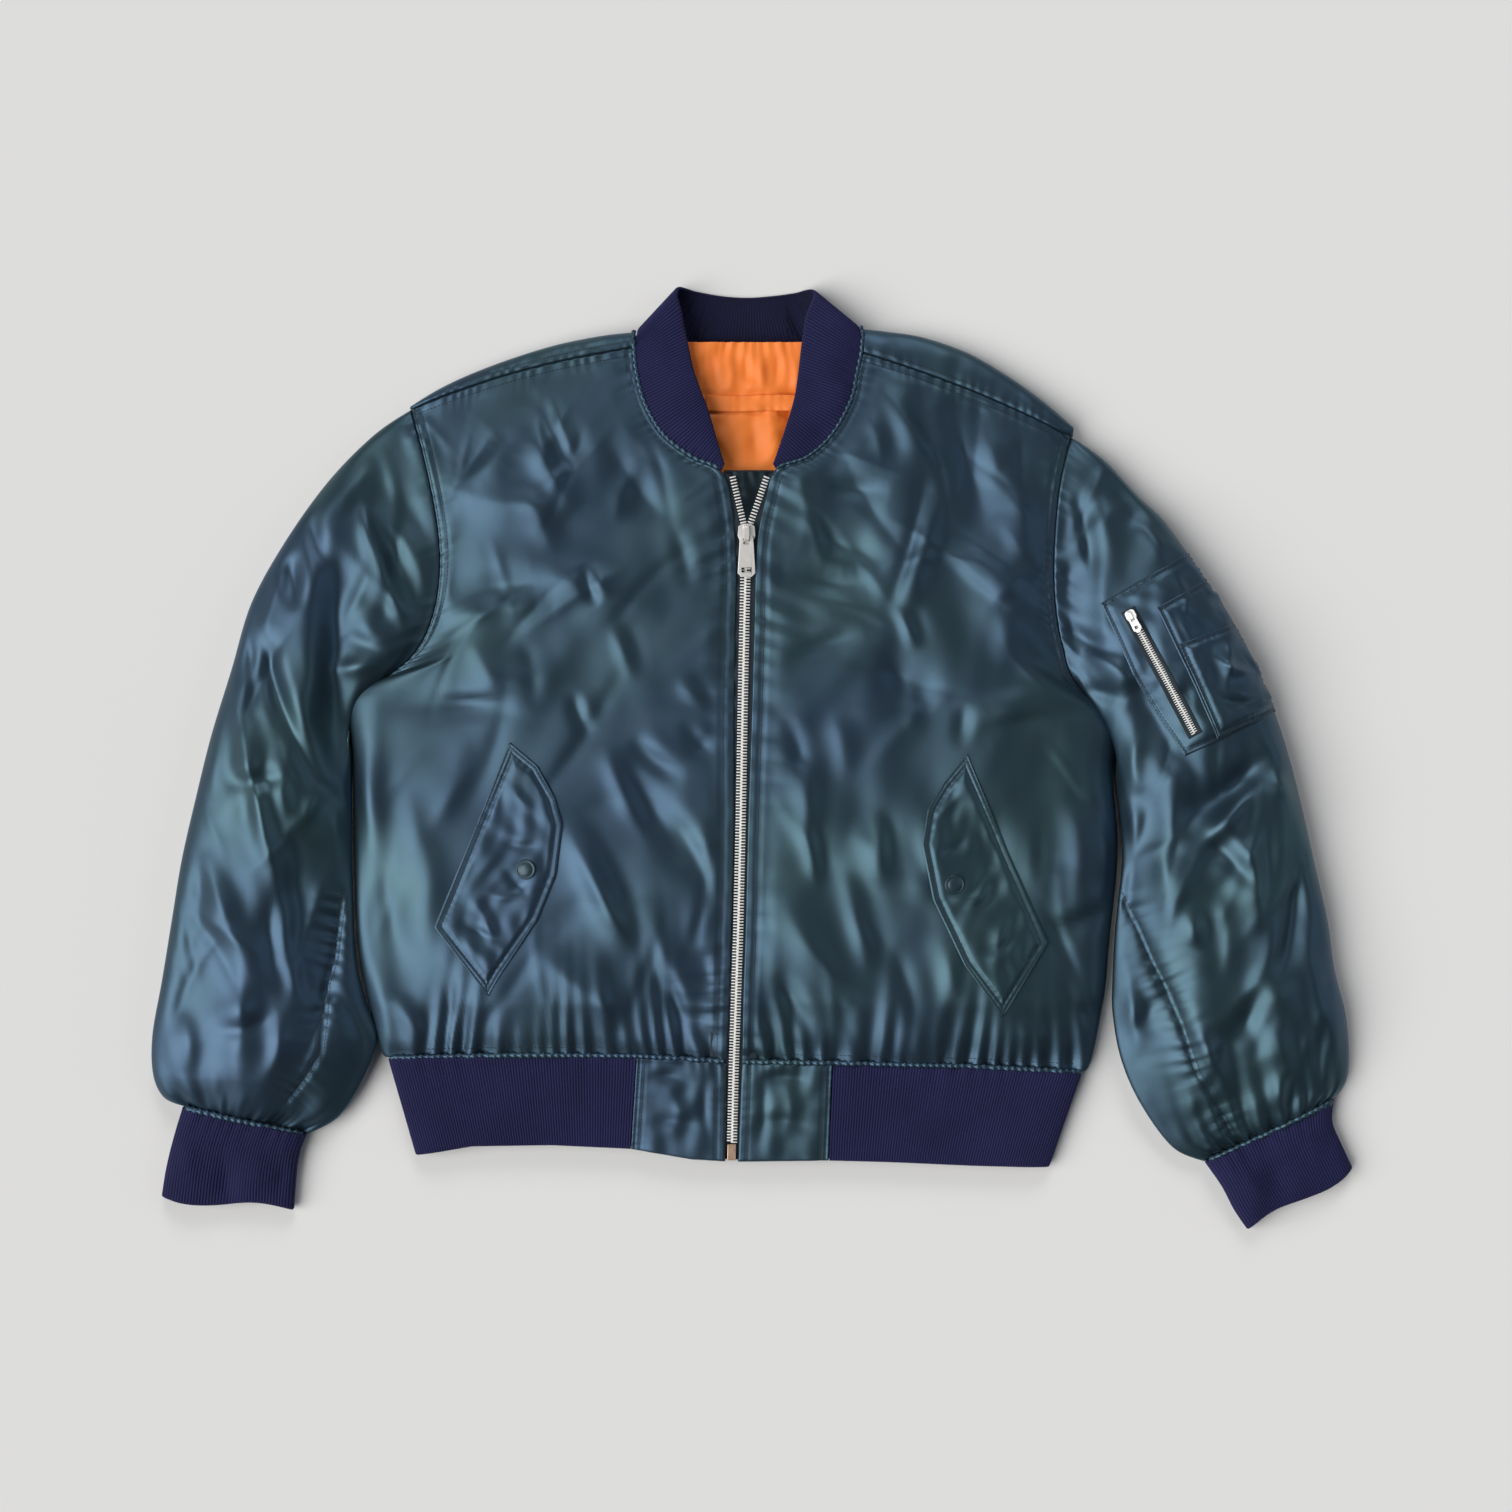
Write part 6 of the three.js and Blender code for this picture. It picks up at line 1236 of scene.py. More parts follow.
height -= 1.2 * np.exp(-(((y - 277) / 1.6) ** 2)) + 1.2 * np.exp(-(((y - 292) / 1.6) ** 2))
lining_top = np.stack([x, y, np.maximum(height, 3.6)], axis=-1)
lining_material = satin_material(
    "lining_satin", {"deep": (1.0, 0.25, 0.036), "green": (1.0, 0.28, 0.045), "blue": (1.0, 0.23, 0.03)},
    0.55, metallic=0.0,
)
lining_material.node_tree.nodes["Principled BSDF"].inputs["Sheen Tint"].default_value = (1.0, 0.5, 0.2, 1)
lining_material.node_tree.nodes["Principled BSDF"].inputs["Sheen Weight"].default_value = 0.3
lining = cloth_object("lining_cloth", [cloth_arrays(lining_top, 0.5)], lining_material)
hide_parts("lining_back")
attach(lining, "jacket")
cut_sheet(lining, lining_top)

share, part = np.meshgrid(spaced(13.4, 0.9, 5), spaced(71, 1.0), indexing="ij")
x = mix(-38, 33, part)
y = mix(291.4, 278.0, share) + 0.5 * np.sin(x / 11)
low = 16.8 + dents(x, y, 72, 26, 12, 0.5) + puckers(x, np.minimum(share, 1 - share) * 13.4, 8, 8, 0.8, 4)
low -= 1.1 * (2 - roll(share * 13.4, 1.4) - roll((1 - share) * 13.4, 1.4))
strip_grid = np.stack([x, y, low], axis=-1)
strip = cloth_object("hanger_strip_cloth", [cloth_arrays(strip_grid, 0.6)], lining_material)
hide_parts("hanger_strip")
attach(strip, "jacket")
cut_sheet(strip, strip_grid)

share, part = np.meshgrid(spaced(72, 1.8), spaced(42, 1.6), indexing="ij")
y = mix(230, 158, share)
x = mix(look_up([(158, -27), (205, -27), (230, -24)], y), look_up([(158, 14), (205, 18), (230, 16)], y), part)
height = front_height(y) - 5.4 + dents(x, y, 73, 26, 12, 0.5) + puckers(x, share * 72, 4, 7, 1.4, 12)
height += puckers(y, np.abs(x + 16), 6, 8, 0.9, 6) + puckers(y, np.abs(x - 8), 7, 8, 0.9, 6)
height -= 1.2 * (1 - roll(share * 72, 1.6))
dark_material = satin_material(
    "wind_flap_satin", {"deep": (0.020, 0.032, 0.042), "green": (0.022, 0.036, 0.044),
        "blue": (0.020, 0.032, 0.047)},
)
flap_grid = np.stack([x, y, height], axis=-1)
wind_flap = cloth_object("wind_flap_cloth", [cloth_arrays(flap_grid, 0.8)], dark_material)
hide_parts("wind_flap")
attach(wind_flap, "jacket")
cut_sheet(wind_flap, flap_grid)

# Front zip
# Two woven tapes under the folded edges of the fronts, with a silver tooth clamped on every 2.4 mm. Below
# the slider the teeth of both tapes interlock; above it they part towards the collar.

zip_line = [
    # y, right edge of the shell, left edge of the shell
    (-323, -23, -13), (-243, -22, -10), (-197, -20, -9), (-137, -18, -7), (-49, -16, -5), (39, -16, -2),
    (111, -15, 0), (171, -14.5, 2), (204, -18, 8.5), (229, -24.5, 16),
]
zip_top_y = 227
teeth_meet_y = 187.5
hem_stop_y = -309
tape_drop = 3.9
tooth_pitch = 2.4
open_teeth_end = {"right": -18, "left": 11.5}


def zip_edge(side, y):
    return look_up([(row[0], row[1 if side == "right" else 2]) for row in zip_line], y)


def zip_middle(y):
    return (zip_edge("right", y) + zip_edge("left", y)) / 2


def open_teeth_x(side, y):
    sign = -1 if side == "right" else 1
    closed_x = zip_middle(teeth_meet_y) + sign * 3.2
    return mix(closed_x, open_teeth_end[side], (y - teeth_meet_y) / (zip_top_y - teeth_meet_y))


def woven_material(name, colour):
    """Zip tape: a tight herringbone of matt yarn."""
    material = plain_material(name, colour, 0.8)
    nodes = material.node_tree.nodes
    links = material.node_tree.links
    place = nodes.new("ShaderNodeTexCoord")
    yarn = nodes.new("ShaderNodeTexWave")
    yarn.bands_direction = "DIAGONAL"
    yarn.inputs["Scale"].default_value = 260
    links.new(place.outputs["Object"], yarn.inputs["Vector"])
    relief = nodes.new("ShaderNodeBump")
    relief.inputs["Strength"].default_value = 0.6
    relief.inputs["Distance"].default_value = 0.0004
    links.new(yarn.outputs["Fac"], relief.inputs["Height"])
    links.new(relief.outputs["Normal"], nodes["Principled BSDF"].inputs["Normal"])
    return material


def metal_material(name, colour, roughness, metallic=1.0):
    """Plated zinc or brass, lightly rubbed."""
    material = plain_material(name, colour, roughness, metallic)
    nodes = material.node_tree.nodes
    links = material.node_tree.links
    place = nodes.new("ShaderNodeTexCoord")
    rubbed = nodes.new("ShaderNodeTexNoise")
    rubbed.inputs["Scale"].default_value = 320
    rubbed.inputs["Detail"].default_value = 3
    links.new(place.outputs["Object"], rubbed.inputs["Vector"])
    spread = nodes.new("ShaderNodeMapRange")
    spread.inputs["To Min"].default_value = roughness * 0.7
    spread.inputs["To Max"].default_value = roughness * 1.4
    links.new(rubbed.outputs["Fac"], spread.inputs["Value"])
    links.new(spread.outputs["Result"], nodes["Principled BSDF"].inputs["Roughness"])
    return material


tape_material = woven_material("zip_tape_weave", (0.012, 0.024, 0.034))
silver_material = metal_material("zip_silver", (0.86, 0.84, 0.82), 0.34, 0.55)
tooth_material = metal_material("tooth_silver", (0.97, 0.97, 0.95), 0.4, 0.15)
zip_tapes = {}
for side in ("right", "left"):
    sign = -1 if side == "right" else 1
    y = np.linspace(zip_top_y, -319, 150)[:, None]
    meets = smooth((y - teeth_meet_y + 8) / 8)
    beside_open = open_teeth_x(side, np.maximum(y, teeth_meet_y - 8)) + sign * 0.6
    inner = mix(zip_middle(y) + sign * 1.2, beside_open, meets)
    outer = zip_edge(side, y) + sign * 13.5
    part = np.linspace(0, 1, 7)[None, :]
    x = mix(inner, outer, part)
    height = front_height(y) - tape_drop + 0 * x + 0.25 * np.sin(y / 5 + 2 * part)
    grid = np.stack([x, y + 0 * x, height], axis=-1)
    if side == "right":
        grid = grid[:, ::-1]
    tape = cloth_object(f"zip_tape_{side}_weave", [cloth_arrays(grid, 0.6)], tape_material)
    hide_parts(f"zip_tape_{side}")
    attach(tape, "jacket")
    cut_sheet(tape, grid)
    zip_tapes[side] = tape


def ringed_shape(name, rings, corner=0.35):
    """A small closed solid from rings along its own Y: y, half width, lowest z, highest z."""
    turns = [(-1, -corner), (-corner, -1), (corner, -1), (1, -corner), (1, corner), (corner, 1), (-corner, 1),
        (-1, corner)]
    if not corner:
        turns = turns[::2]
    points = []
    for y_place, half, low_z, high_z in rings:
        middle, tall = (low_z + high_z) / 2, (high_z - low_z) / 2
        points += [(turn_x * half * mm, y_place * mm, (middle + turn_z * tall) * mm) for turn_x,
            turn_z in turns]
    count = len(turns)
    faces = [
        (r * count + k, r * count + (k + 1) % count, (r + 1) * count + (k + 1) % count, (r + 1) * count + k)
        for r in range(len(rings) - 1) for k in range(count)
    ]
    faces.append(tuple(reversed(range(count))))
    faces.append(tuple((len(rings) - 1) * count + k for k in range(count)))
    mesh = bpy.data.meshes.new(name)
    mesh.from_pydata(points, [], [tuple(reversed(face)) for face in faces])
    mesh.update()
    return bpy.data.objects.new(name, mesh)


def repeat_tree():
    """Geometry nodes that set a shape on every point, turned by the point's own ahead and up."""
    tree = bpy.data.node_groups.new("shape_on_points", "GeometryNodeTree")
    for name, kind in (("Geometry", "NodeSocketGeometry"), ("Shape", "NodeSocketObject"),
        ("Material", "NodeSocketMaterial")):
        tree.interface.new_socket(name, in_out="INPUT", socket_type=kind)
    tree.interface.new_socket("Geometry", in_out="OUTPUT", socket_type="NodeSocketGeometry")
    nodes, links = tree.nodes, tree.links
    given = nodes.new("NodeGroupInput")
    result = nodes.new("NodeGroupOutput")
    turn = nodes.new("FunctionNodeAxesToRotation")
    turn.primary_axis = "Z"
    turn.secondary_axis = "X"
    for name, socket in (("up", "Primary Axis"), ("ahead", "Secondary Axis")):
        attribute = nodes.new("GeometryNodeInputNamedAttribute")
        attribute.data_type = "FLOAT_VECTOR"
        attribute.inputs["Name"].default_value = name
        links.new(attribute.outputs["Attribute"], turn.inputs[socket])
    shape = nodes.new("GeometryNodeObjectInfo")
    links.new(given.outputs["Shape"], shape.inputs["Object"])
    place = nodes.new("GeometryNodeInstanceOnPoints")
    links.new(given.outputs["Geometry"], place.inputs["Points"])
    links.new(shape.outputs["Geometry"], place.inputs["Instance"])
    links.new(turn.outputs["Rotation"], place.inputs["Rotation"])
    real = nodes.new("GeometryNodeRealizeInstances")
    links.new(place.outputs["Instances"], real.inputs["Geometry"])
    paint = nodes.new("GeometryNodeSetMaterial")
    links.new(real.outputs["Geometry"], paint.inputs["Geometry"])
    links.new(given.outputs["Material"], paint.inputs["Material"])
    links.new(paint.outputs["Geometry"], result.inputs["Geometry"])
    return tree


shape_on_points = repeat_tree()


def repeated(name, shape, places, ups, aheads, material, smooth_faces=True):
    """One plain mesh of a shape on every place, in metres."""
    base = bpy.data.meshes.new(f"{name}_points")
    base.from_pydata([tuple(place) for place in places], [], [])
    for attribute, values in (("up", ups), ("ahead", aheads)):
        data = base.attributes.new(attribute, "FLOAT_VECTOR", "POINT").data
        data.foreach_set("vector", np.asarray(values, np.float32).ravel())
    holder = bpy.data.objects.new(f"{name}_points", base)
    scene.collection.objects.link(holder)
    scene.collection.objects.link(shape)
    modifier = holder.modifiers.new("repeat", "NODES")
    modifier.node_group = shape_on_points
    for item in shape_on_points.interface.items_tree:
        if item.in_out == "INPUT" and item.name == "Shape":
            modifier[item.identifier] = shape
        if item.in_out == "INPUT" and item.name == "Material":
            modifier[item.identifier] = material
    depsgraph = bpy.context.evaluated_depsgraph_get()
    mesh = bpy.data.meshes.new_from_object(holder.evaluated_get(depsgraph))
    mesh.name = name
    mesh.materials.clear()
    mesh.materials.append(material)
    mesh.polygons.foreach_set("use_smooth", np.full(len(mesh.polygons), smooth_faces))
    obj = bpy.data.objects.new(name, mesh)
    scene.collection.objects.link(obj)
    bpy.data.objects.remove(holder)
    scene.collection.objects.unlink(shape)
    return obj


tooth = ringed_shape("zip_tooth", [
    (-0.95, 0.3, -2.2, -0.7), (-0.6, 0.55, -2.5, -0.2), (0.9, 0.62, -2.7, 0.0), (2.2, 0.55, -2.7, 0.0),
    (3.7, 0.6, -2.6, -0.25), (4.15, 0.42, -2.3, -0.6),
])


def tooth_row(side, ys, x_of):
    """Places and axes for one tape's teeth: each tooth's own Y points away from the chain's middle."""
    step = 0.5
    ahead = np.stack([x_of(ys + step) - x_of(ys - step), np.full(len(ys), 2 * step), np.zeros(len(ys))],
        axis=-1)
    ahead /= np.linalg.norm(ahead, axis=1, keepdims=True)
    if side == "left":
        ahead = -ahead
    places = np.stack([x_of(ys), ys, front_height(ys) - 1.0], axis=-1)
    ups = np.tile([0.0, 0.0, 1.0], (len(ys), 1))
    return places * mm, ups, ahead


closed_from, closed_to = 169.0, hem_stop_y + 1.5
rows = []
for side, start in (("right", closed_from), ("left", closed_from - tooth_pitch / 2)):
    rows.append(tooth_row(side, np.arange(start, closed_to, -tooth_pitch), zip_middle))
chain = repeated("zip_chain_teeth", tooth, *[np.concatenate(column) for column in zip(*rows)], tooth_material,
    False)
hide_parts("zip_chain")
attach(chain, "jacket")
for side in ("right", "left"):
    sign = -1 if side == "right" else 1
    open_row = tooth_row(side, np.arange(teeth_meet_y + 0.8, zip_top_y - 1, tooth_pitch),
        lambda y: open_teeth_x(side, y) - sign * 2.0)
    teeth = repeated(f"zip_teeth_{side}_metal", tooth, *open_row, tooth_material, False)
    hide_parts(f"zip_teeth_{side}")
    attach(teeth, "jacket")

# Slider, pull tabs and bottom stop keep the model's own shapes, with rounded edges
copper_material = metal_material("stop_copper", (0.72, 0.5, 0.38), 0.34)
for name, material, width in (
    ("zip_slider", silver_material, 0.4), ("zip_pull", silver_material, 0.4),
    ("zip_stop", copper_material, 0.5),
    ("sleeve_zip_slider", silver_material, 0.25), ("sleeve_zip_pull", silver_material, 0.25),
):
    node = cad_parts[name]
    node.data.materials.clear()
    node.data.materials.append(material)
    weld = node.modifiers.new("weld", "WELD")
    weld.merge_threshold = 0.00002
    bevel = node.modifiers.new("round", "BEVEL")
    bevel.width = width * mm
    bevel.segments = 2
    bevel.limit_method = "ANGLE"
    bevel.angle_limit = np.radians(35)
    bevel.harden_normals = False

# Pocket flaps and snaps
# Slanted flaps of the shell cloth, their edges pressed flat and topstitched twice, softly creased inside.
# Each is held by a dark glossy snap near its curved edge.

# the straight and the curved side of each flap, both from its top point to its lower point
flap_sides = {
    "right": (
        [(-194, 12), (-224, -61), (-254, -134), (-211, -188)],
        [(-194, 12), (-172, -6), (-158, -31), (-152, -53), (-157, -92), (-172, -129), (-201, -171),
            (-211, -188)],
    ),
    "left": (
        [(169, 3), (150, -20), (138, -40), (133, -68), (142, -112), (167, -164), (198, -205)],
        [(169, 3), (201, -72), (234, -147), (198, -205)],
    ),
}
flap_creases = [
    (-206, -60, -186, -70, -168, -66, 4, -1.5, 0.5), (-214, -104, -196, -110, -172, -100, 4, 1.6, 0.5),
    (-236, -128, -214, -140, -196, -146, 4, -1.5, 0.5), (-190, -20, -184, -34, -168, -44, 4, 1.3, 0.4),
    (-228, -112, -214, -124, -208, -150, 4, 1.4, 0.4), (-200, -84, -190, -98, -176, -112, 4, -1.3, 0.4),
    (170, -60, 158, -72, 144, -74, 4, -1.5, 0.5), (186, -100, 174, -112, 150, -108, 4, 1.6, 0.5),
    (212, -136, 196, -150, 176, -152, 4, -1.5, 0.5), (166, -24, 156, -36, 144, -46, 4, 1.3, 0.4),
    (206, -122, 196, -140, 194, -166, 4, 1.4, 0.4), (188, -84, 178, -98, 162, -124, 4, -1.3, 0.4),
]


def softened(height, rounds):
    """The same heights with small folds ironed out."""
    for _ in range(rounds):
        wide = np.pad(height, 1, mode="edge")
        height = (wide[:-2, 1:-1] + wide[2:, 1:-1] + wide[1:-1, :-2] + wide[1:-1, 2:] + 2 * height) / 6
    return height


def patch_plan(first, second, rows, columns):
    """Plan places between two lines, both followed from one end of the patch to the other."""
    shares = np.linspace(0, 1, rows)
    low, _ = even_lengths(np.asarray(first, float), shares)
    high, _ = even_lengths(np.asarray(second, float), shares)
    part = np.linspace(0, 1, columns)[None, :, None]
    return low[:, None] * (1 - part) + high[:, None] * part


def make_patch(first, second, outline, trees, lift, creases, seed, rows=110, columns=60, step=5.0, ironed=40):
    """A patch laid on the cloth. Where its last columns reach past the fold under it, they turn down."""
    plan = patch_plan(first, second, rows, columns)
    x, y = plan[..., 0], plan[..., 1]
    below, _ = on_cloth(trees, plan.reshape(-1, 2))
    below = below.reshape(x.shape)
    missed = below < 0
    last = columns - 1 - np.argmax(~missed[:, ::-1], axis=1)
    rim = plan[np.arange(rows), last][:, None]
    past = np.linalg.norm(plan - rim, axis=-1)
    turned = np.maximum(below[np.arange(rows), last][:, None] - past, 3.0)
    below = np.where(missed, turned, below)
    plan = np.where(missed[..., None], rim + 0.1 * (plan - rim), plan)
    base = np.maximum(softened(below, ironed) + lift, below + 0.35)
    along, away = line_distance([*outline, outline[0]], x, y)
    away = np.abs(away)
    height = base + (crease_height(creases, x, y) + dents(x, y, seed, 34, 14, 0.7)) * smooth((away - 4) / 8)
    height += 1.0 * smooth((away - step) / 4)
    height += puckers(along, np.abs(away - step), seed, 6.5, 0.6, 3.5) + stitch_line(away, step, 0.5)
    height += stitch_line(away, 1.6, 0.25)
    height = np.maximum(height, below + 0.35)
    return np.concatenate([plan, height[..., None]], axis=-1)


flap_outlines = {
    "right": [*flap_sides["right"][0], *reversed(flap_sides["right"][1][1:-1])],
    "left": [
        (169, 3), (150, -20), (138, -40), (133, -68), (142, -112), (167, -164), (198, -205), (234, -147),
    ],
}
snap_material = metal_material("snap_enamel", (0.03, 0.06, 0.08), 0.34)
snap_material.node_tree.nodes["Principled BSDF"].inputs["Metallic"].default_value = 0.35
flap_trees = {}
for side in ("right", "left"):
    front_tree = surface_tree(shell_pieces[f"front_{side}"])
    top = make_patch(*flap_sides[side], flap_outlines[side], front_tree, 1.8, flap_creases, 81, 112, 50)
    flap = cloth_object(f"flap_{side}_cloth", [cloth_arrays(top, 0.8)], shell_material)
    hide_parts(f"flap_{side}")
    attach(flap, "jacket")
    cut_sheet(flap, top)
    shell_pieces[f"flap_{side}"] = flap
    flap_trees[side] = surface_tree(flap)

# radius, height of the snap's cap: a rounded rim, a groove and a domed middle
snap_profile = [
    (8.0, 0.0), (8.1, 0.6), (7.8, 1.3), (7.2, 1.7), (6.6, 1.6), (6.2, 1.25), (5.8, 1.3), (5.0, 1.8),
    (3.6, 2.2), (1.8, 2.45), (0.5, 2.5),
]
snap_places = {"right": (-181, -88), "left": (159, -100)}
for side in ("right", "left"):
    heights, normals = on_cloth(flap_trees[side], [snap_places[side]])
    up = Vector(normals[0]).normalized()
    across = up.cross(Vector((0, 1, 0))).normalized()
    ahead = up.cross(across)
    centre = Vector((*snap_places[side], heights[0] - 0.4))
    turns = 48
    points = []
    for radius, rise in snap_profile:
        for k in range(turns):
            angle = 2 * np.pi * k / turns
            spot = centre + across * (radius * np.cos(angle)) + ahead * (radius * np.sin(angle)) + up * rise
            points.append(spot)
    faces = [
        (r * turns + k, r * turns + (k + 1) % turns, (r + 1) * turns + (k + 1) % turns, (r + 1) * turns + k)
        for r in range(len(snap_profile) - 1) for k in range(turns)
    ]
    faces += [tuple((len(snap_profile) - 1) * turns + k for k in range(turns)), tuple(reversed(range(turns)))]
    snap_mesh = bpy.data.meshes.new(f"snap_{side}_cap")
    snap_mesh.from_pydata([spot * mm for spot in points], [], faces)
    snap_mesh.polygons.foreach_set("use_smooth", np.ones(len(snap_mesh.polygons), bool))
    snap_mesh.materials.append(snap_material)
    snap = bpy.data.objects.new(f"snap_{side}_cap", snap_mesh)
    scene.collection.objects.link(snap)
    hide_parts(f"snap_{side}")
    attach(snap, "jacket")

# Sleeve pocket
# On the wearer's left sleeve: a pocket of shell cloth with a slanting metal zip, and two layers of pen
# pockets, the edges turned in and topstitched.

pocket_patches = [
    # name, its two sides from top to bottom, how thick it lies
    ("sleeve_pocket", [(275, 123), (300, 66), (322, 30), (341, 2)],
        [(349, 166), (378, 148), (430, 52), (416, 37)], 1.0),
    ("pen_base", [(318, 119), (345, 62), (366, 15)], [(366, 146), (384, 140), (431, 52), (415, 38)], 1.0),
    ("pen_pocket", [(335, 90), (351, 54), (367, 17)], [(389, 110), (404, 96), (431, 51), (415, 37)], 1.1),
]
pocket_creases = [
    (330, 150, 340, 130, 342, 108, 4, 1.6, 0.5), (300, 120, 312, 96, 322, 66, 4, -1.4, 0.4),
    (352, 130, 376, 122, 396, 112, 4, -1.6, 0.5), (360, 84, 382, 70, 404, 72, 4, 1.8, 0.5),
    (362, 50, 384, 44, 410, 48, 4, -1.6, 0.5), (372, 96, 376, 76, 370, 50, 4, 1.4, 0.4),
    (396, 90, 404, 72, 414, 60, 4, 1.6, 0.4), (340, 60, 344, 40, 352, 18, 3, -1.2, 0.4),
    (380, 30, 396, 36, 412, 44, 3.5, 1.4, 0.4),
]
pocket_trees = surface_tree(shell_pieces["sleeve_left"])
pocket_outlines = {}
for index, (name, first, second, lift) in enumerate(pocket_patches):
    outline = [*first, *reversed(second)]
    pocket_outlines[name] = outline
    top = make_patch(first, second, outline, pocket_trees, lift, pocket_creases, 91 + index, 72, 48, 3.0, 26)
    patch = cloth_object(f"{name}_cloth", [cloth_arrays(top, 0.8)], shell_material)
    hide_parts(name)
    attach(patch, "jacket")
    cut_sheet(patch, top)
    shell_pieces[name] = patch
    pocket_trees = [*pocket_trees, *surface_tree(patch)]

sleeve_zip_top = np.array([295.0, 119.0])
sleeve_zip_bottom = np.array([348.0, 19.0])
zip_run = sleeve_zip_bottom - sleeve_zip_top
zip_length = np.hypot(*zip_run)
zip_run = zip_run / zip_length
zip_side = np.array([-zip_run[1], zip_run[0]])
along = np.linspace(1.2, zip_length + 1, 90)
middle_line = sleeve_zip_top + along[:, None] * zip_run
middle_height, middle_up = on_cloth(pocket_trees, middle_line)
middle_height = softened(middle_height[:, None], 30)[:, 0]
offsets = np.linspace(-6, 6, 9)
plan = middle_line[:, None] + offsets[None, :, None] * zip_side
edge_height, _ = on_cloth(pocket_trees, plan.reshape(-1, 2))
tape_height = np.maximum(edge_height.reshape(plan.shape[:2]) + 0.3, middle_height[:, None] + 0.3)
tape_grid = np.concatenate([plan, tape_height[..., None]], axis=-1)
sleeve_tape = cloth_object("sleeve_zip_tape_weave", [cloth_arrays(tape_grid, 0.5)], tape_material)
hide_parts("sleeve_zip_tape")
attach(sleeve_tape, "jacket")
cut_sheet(sleeve_tape, tape_grid)

small_tooth = ringed_shape("sleeve_zip_tooth", [
    (-0.65, 0.2, -1.0, -0.3), (-0.4, 0.4, -1.2, 0.1), (0.8, 0.44, -1.3, 0.2), (2.4, 0.42, -1.3, 0.1),
    (2.9, 0.3, -1.1, -0.2),
])
small_pitch = 1.9
rows = []
for sign, start in ((1, 0.0), (-1, small_pitch / 2)):
    at = np.arange(15 + start, zip_length - 1, small_pitch)
    places = sleeve_zip_top + at[:, None] * zip_run
    height = np.interp(at, along, tape_height[:, 4]) + 1.0
    ahead = np.tile([*(-sign * zip_run), 0.0], (len(at), 1))
    ups = np.tile([-0.24, 0.06, 0.97], (len(at), 1))
    rows.append((np.column_stack([places, height]) * mm, ups, ahead))
sleeve_chain = repeated(
    "sleeve_zip_chain_teeth", small_tooth, *[np.concatenate(column) for column in zip(*rows)], tooth_material,
    False,
)
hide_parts("sleeve_zip_chain")
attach(sleeve_chain, "jacket")

# Topstitching
# Rows of lockstitch in thread of the shell's own colour: along the zip, the neck, armholes and shoulders,
# above the waist seam, on the tabs, flaps and pockets, and down the gathered seams of the sleeves.

stitch_length = 3.1
stitch = ringed_shape("stitch", [
    (-1.25, 0.14, -0.1, 0.1), (-0.8, 0.34, -0.25, 0.27), (0.8, 0.34, -0.25, 0.27), (1.25, 0.14, -0.1, 0.1),
], 0.0)
thread_material = plain_material("thread", (0.012, 0.024, 0.034), 0.6)


def stitched(line, trees, spacing=stitch_length):
    """Places and axes for a row of stitches along a line of the plan, seated on the cloth."""
    line = np.asarray(line, float)
    length = even_lengths(line, np.array([0.0]))[1]
    places, _ = even_lengths(line, np.linspace(0, 1, max(2, int(length / spacing))))
    heights, ups = on_cloth(trees, places)
    keep = heights > 1
    ahead = np.gradient(places, axis=0)
    ahead = np.column_stack([ahead, np.gradient(heights)])
    ahead /= np.linalg.norm(ahead, axis=1, keepdims=True)
    across = np.cross(ahead, ups)
    spots = np.column_stack([places, heights + 0.02])
    return spots[keep] * mm, ups[keep], across[keep]


def inset_outline(outline, distance):
    """A closed outline moved inwards."""
    loop = np.asarray(outline, float)
    centre = loop.mean(axis=0)
    moved = []
    for k in range(len(loop)):
        before, here, after = loop[k - 1], loop[k], loop[(k + 1) % len(loop)]
        first = (here - before) / np.hypot(*(here - before))
        second = (after - here) / np.hypot(*(after - here))
        normal = np.array([-first[1] - second[1], first[0] + second[0]])
        normal /= np.hypot(*normal)
        if normal @ (centre - here) < 0:
            normal = -normal
        half = max(0.45, abs(np.array([-first[1], first[0]]) @ normal))
        moved.append(here + normal * distance / half)
    moved.append(moved[0])
    return np.array(moved)


def front_line(side, offset, from_row, to_row, at_zip=True):
    rows = np.linspace(from_row, to_row, 160)
    start, end = side_place(side, rows), edge_place(side, rows)
    length = np.linalg.norm(end - start, axis=1)
    part = 1 - offset / length if at_zip else offset / length
    return front_place(side, rows, part)


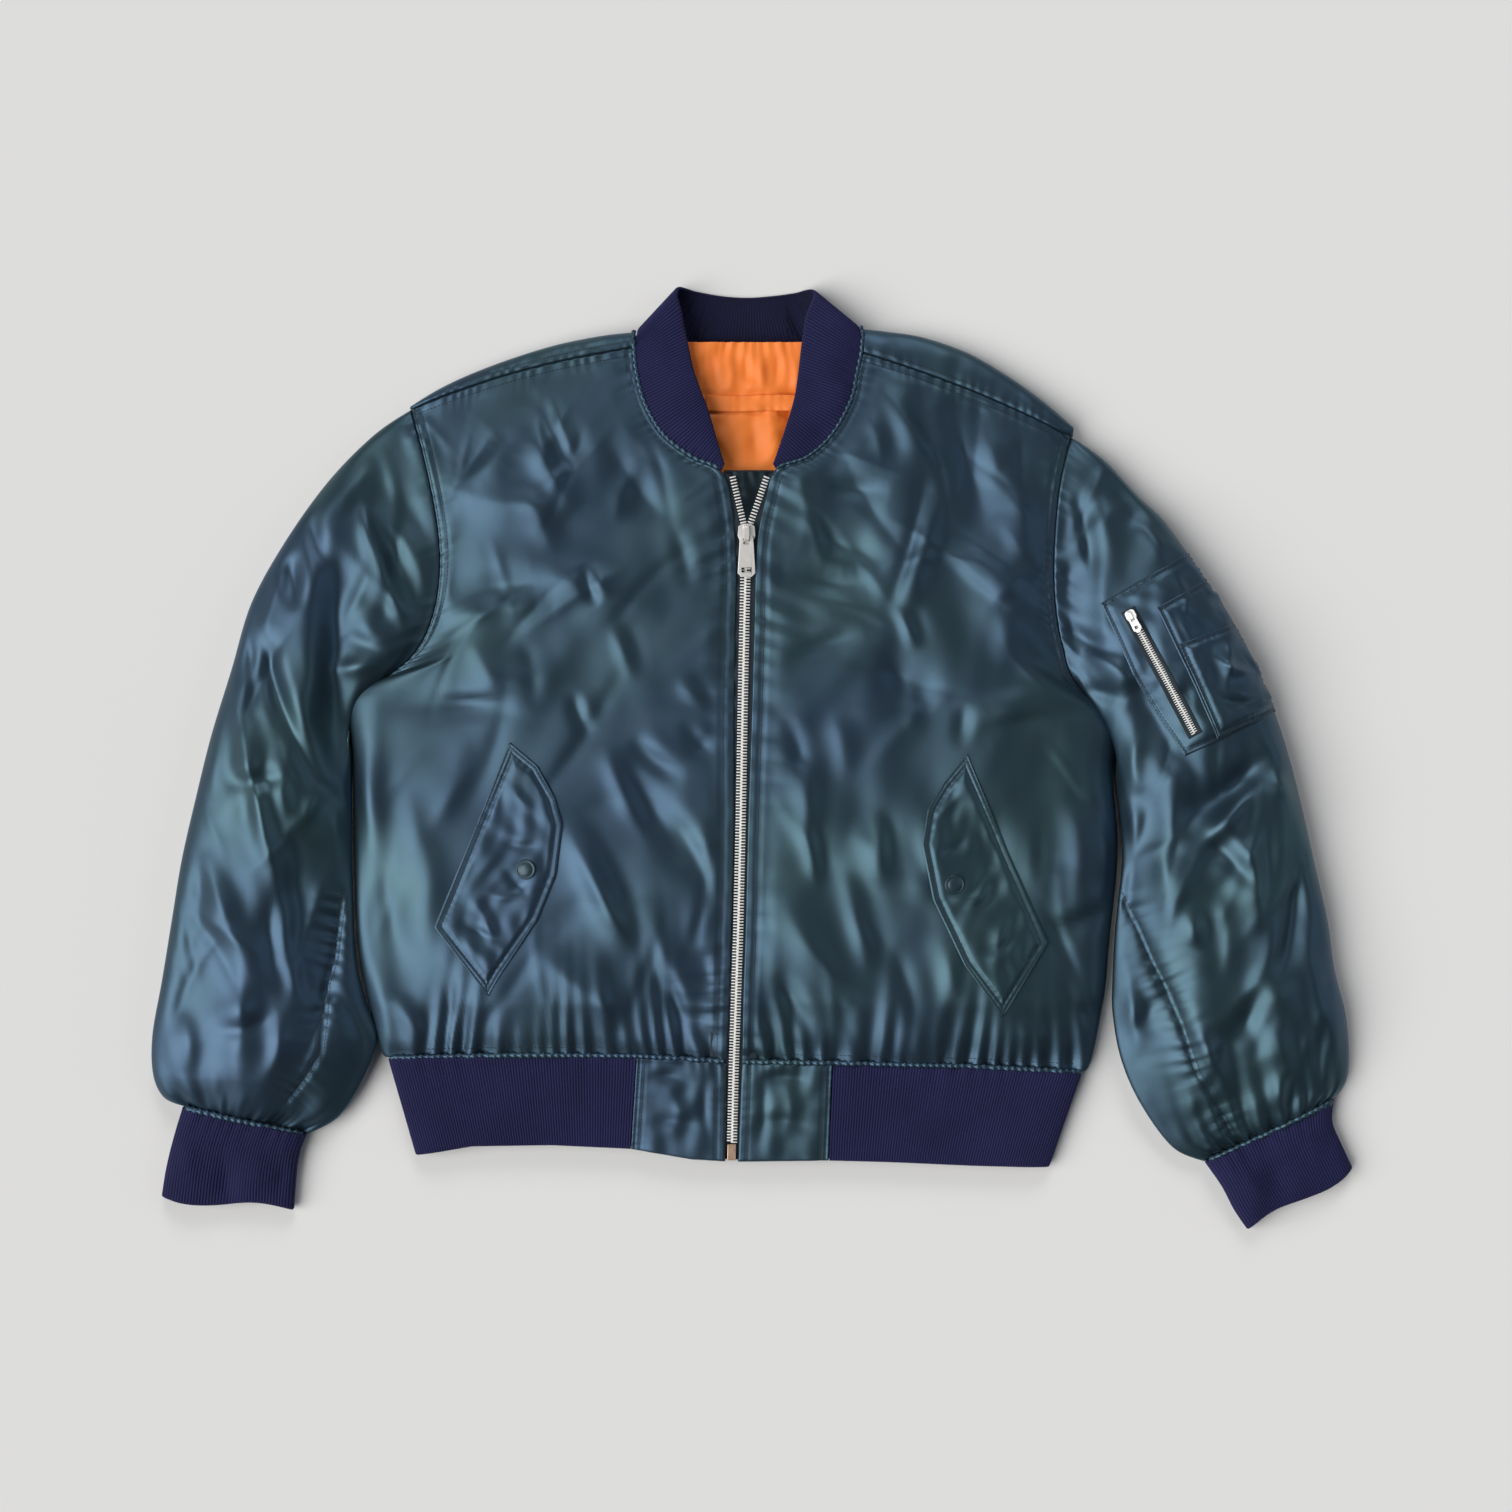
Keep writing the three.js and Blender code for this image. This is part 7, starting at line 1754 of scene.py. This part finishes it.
stitch_rows = {}
for side in ("right", "left"):
    cloth = surface_tree(shell_pieces[f"front_{side}"])
    rows = [
        stitched(front_line(side, 8.5, 5.1, 13), cloth),
        stitched(front_line(side, 5.0, 0, 5), cloth),
        stitched(front_line(side, 2.0, 0.2, 7.9, False), cloth),
        stitched(front_line(side, 7.5, 0.2, 8.1, False), cloth),
    ]
    tip, neck = side_place(side, np.array(0.0)), edge_place(side, np.array(0.0))
    shares = np.linspace(0.01, 0.99, 80)
    shoulder = front_place(side, np.zeros(80), shares) - np.array([0, 6.5])
    rows.append(stitched(shoulder, cloth))
    wrap = front_place(side, np.zeros(80), np.linspace(0.25, 0.97, 80)) + np.array([0, 5.0])
    rows.append(stitched(wrap, surface_tree(shell_pieces["back"])))
    waist_x = np.linspace(*((-285, -27) if side == "right" else (-3, 255)), 90)
    rows.append(stitched(np.column_stack([waist_x, waist_seam_y(waist_x) + 7.0]), cloth))
    flap = surface_tree(shell_pieces[f"flap_{side}"])
    rows.append(stitched(inset_outline(flap_outlines[side], 5.0), flap))
    rows.append(stitched(inset_outline(flap_outlines[side], 1.6), flap))
    tab = surface_tree(shell_pieces[f"tab_{side}"])
    down = np.linspace(0.03, 0.97, 40)
    sign = -1 if side == "right" else 1
    for edge, inset in ((tab_edges, 7.5), (tab_seams, -3.0), (tab_seams, -7.0)):
        x = mix(*edge[side], down) + sign * inset
        y = mix(waist_seam_y(x), look_up(lower_edge, x), down)
        rows.append(stitched(np.column_stack([x, y]), tab))
    stitch_rows[f"front_{side}_stitches"] = rows
    sleeve = surface_tree(shell_pieces[f"sleeve_{side}"])
    seam = np.array(sleeve_seams[side], float)
    shift = np.array([2.6, 0])
    rows = [stitched(seam + shift, sleeve), stitched(seam - shift, sleeve)]
    parts = np.linspace(0.06, 0.94, 80)
    rows.append(stitched(sleeve_place(side, np.full(80, 13.72), parts)[0], sleeve))
    if side == "left":
        for name, outline in pocket_outlines.items():
            rows.append(stitched(inset_outline(outline, 3.0), pocket_trees))
            rows.append(stitched(inset_outline(outline, 1.2), pocket_trees))
    stitch_rows[f"sleeve_{side}_stitches"] = rows
for name, rows in stitch_rows.items():
    sewn = repeated(name, stitch, *[np.concatenate(column) for column in zip(*rows)], thread_material)
    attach(sewn, "jacket")
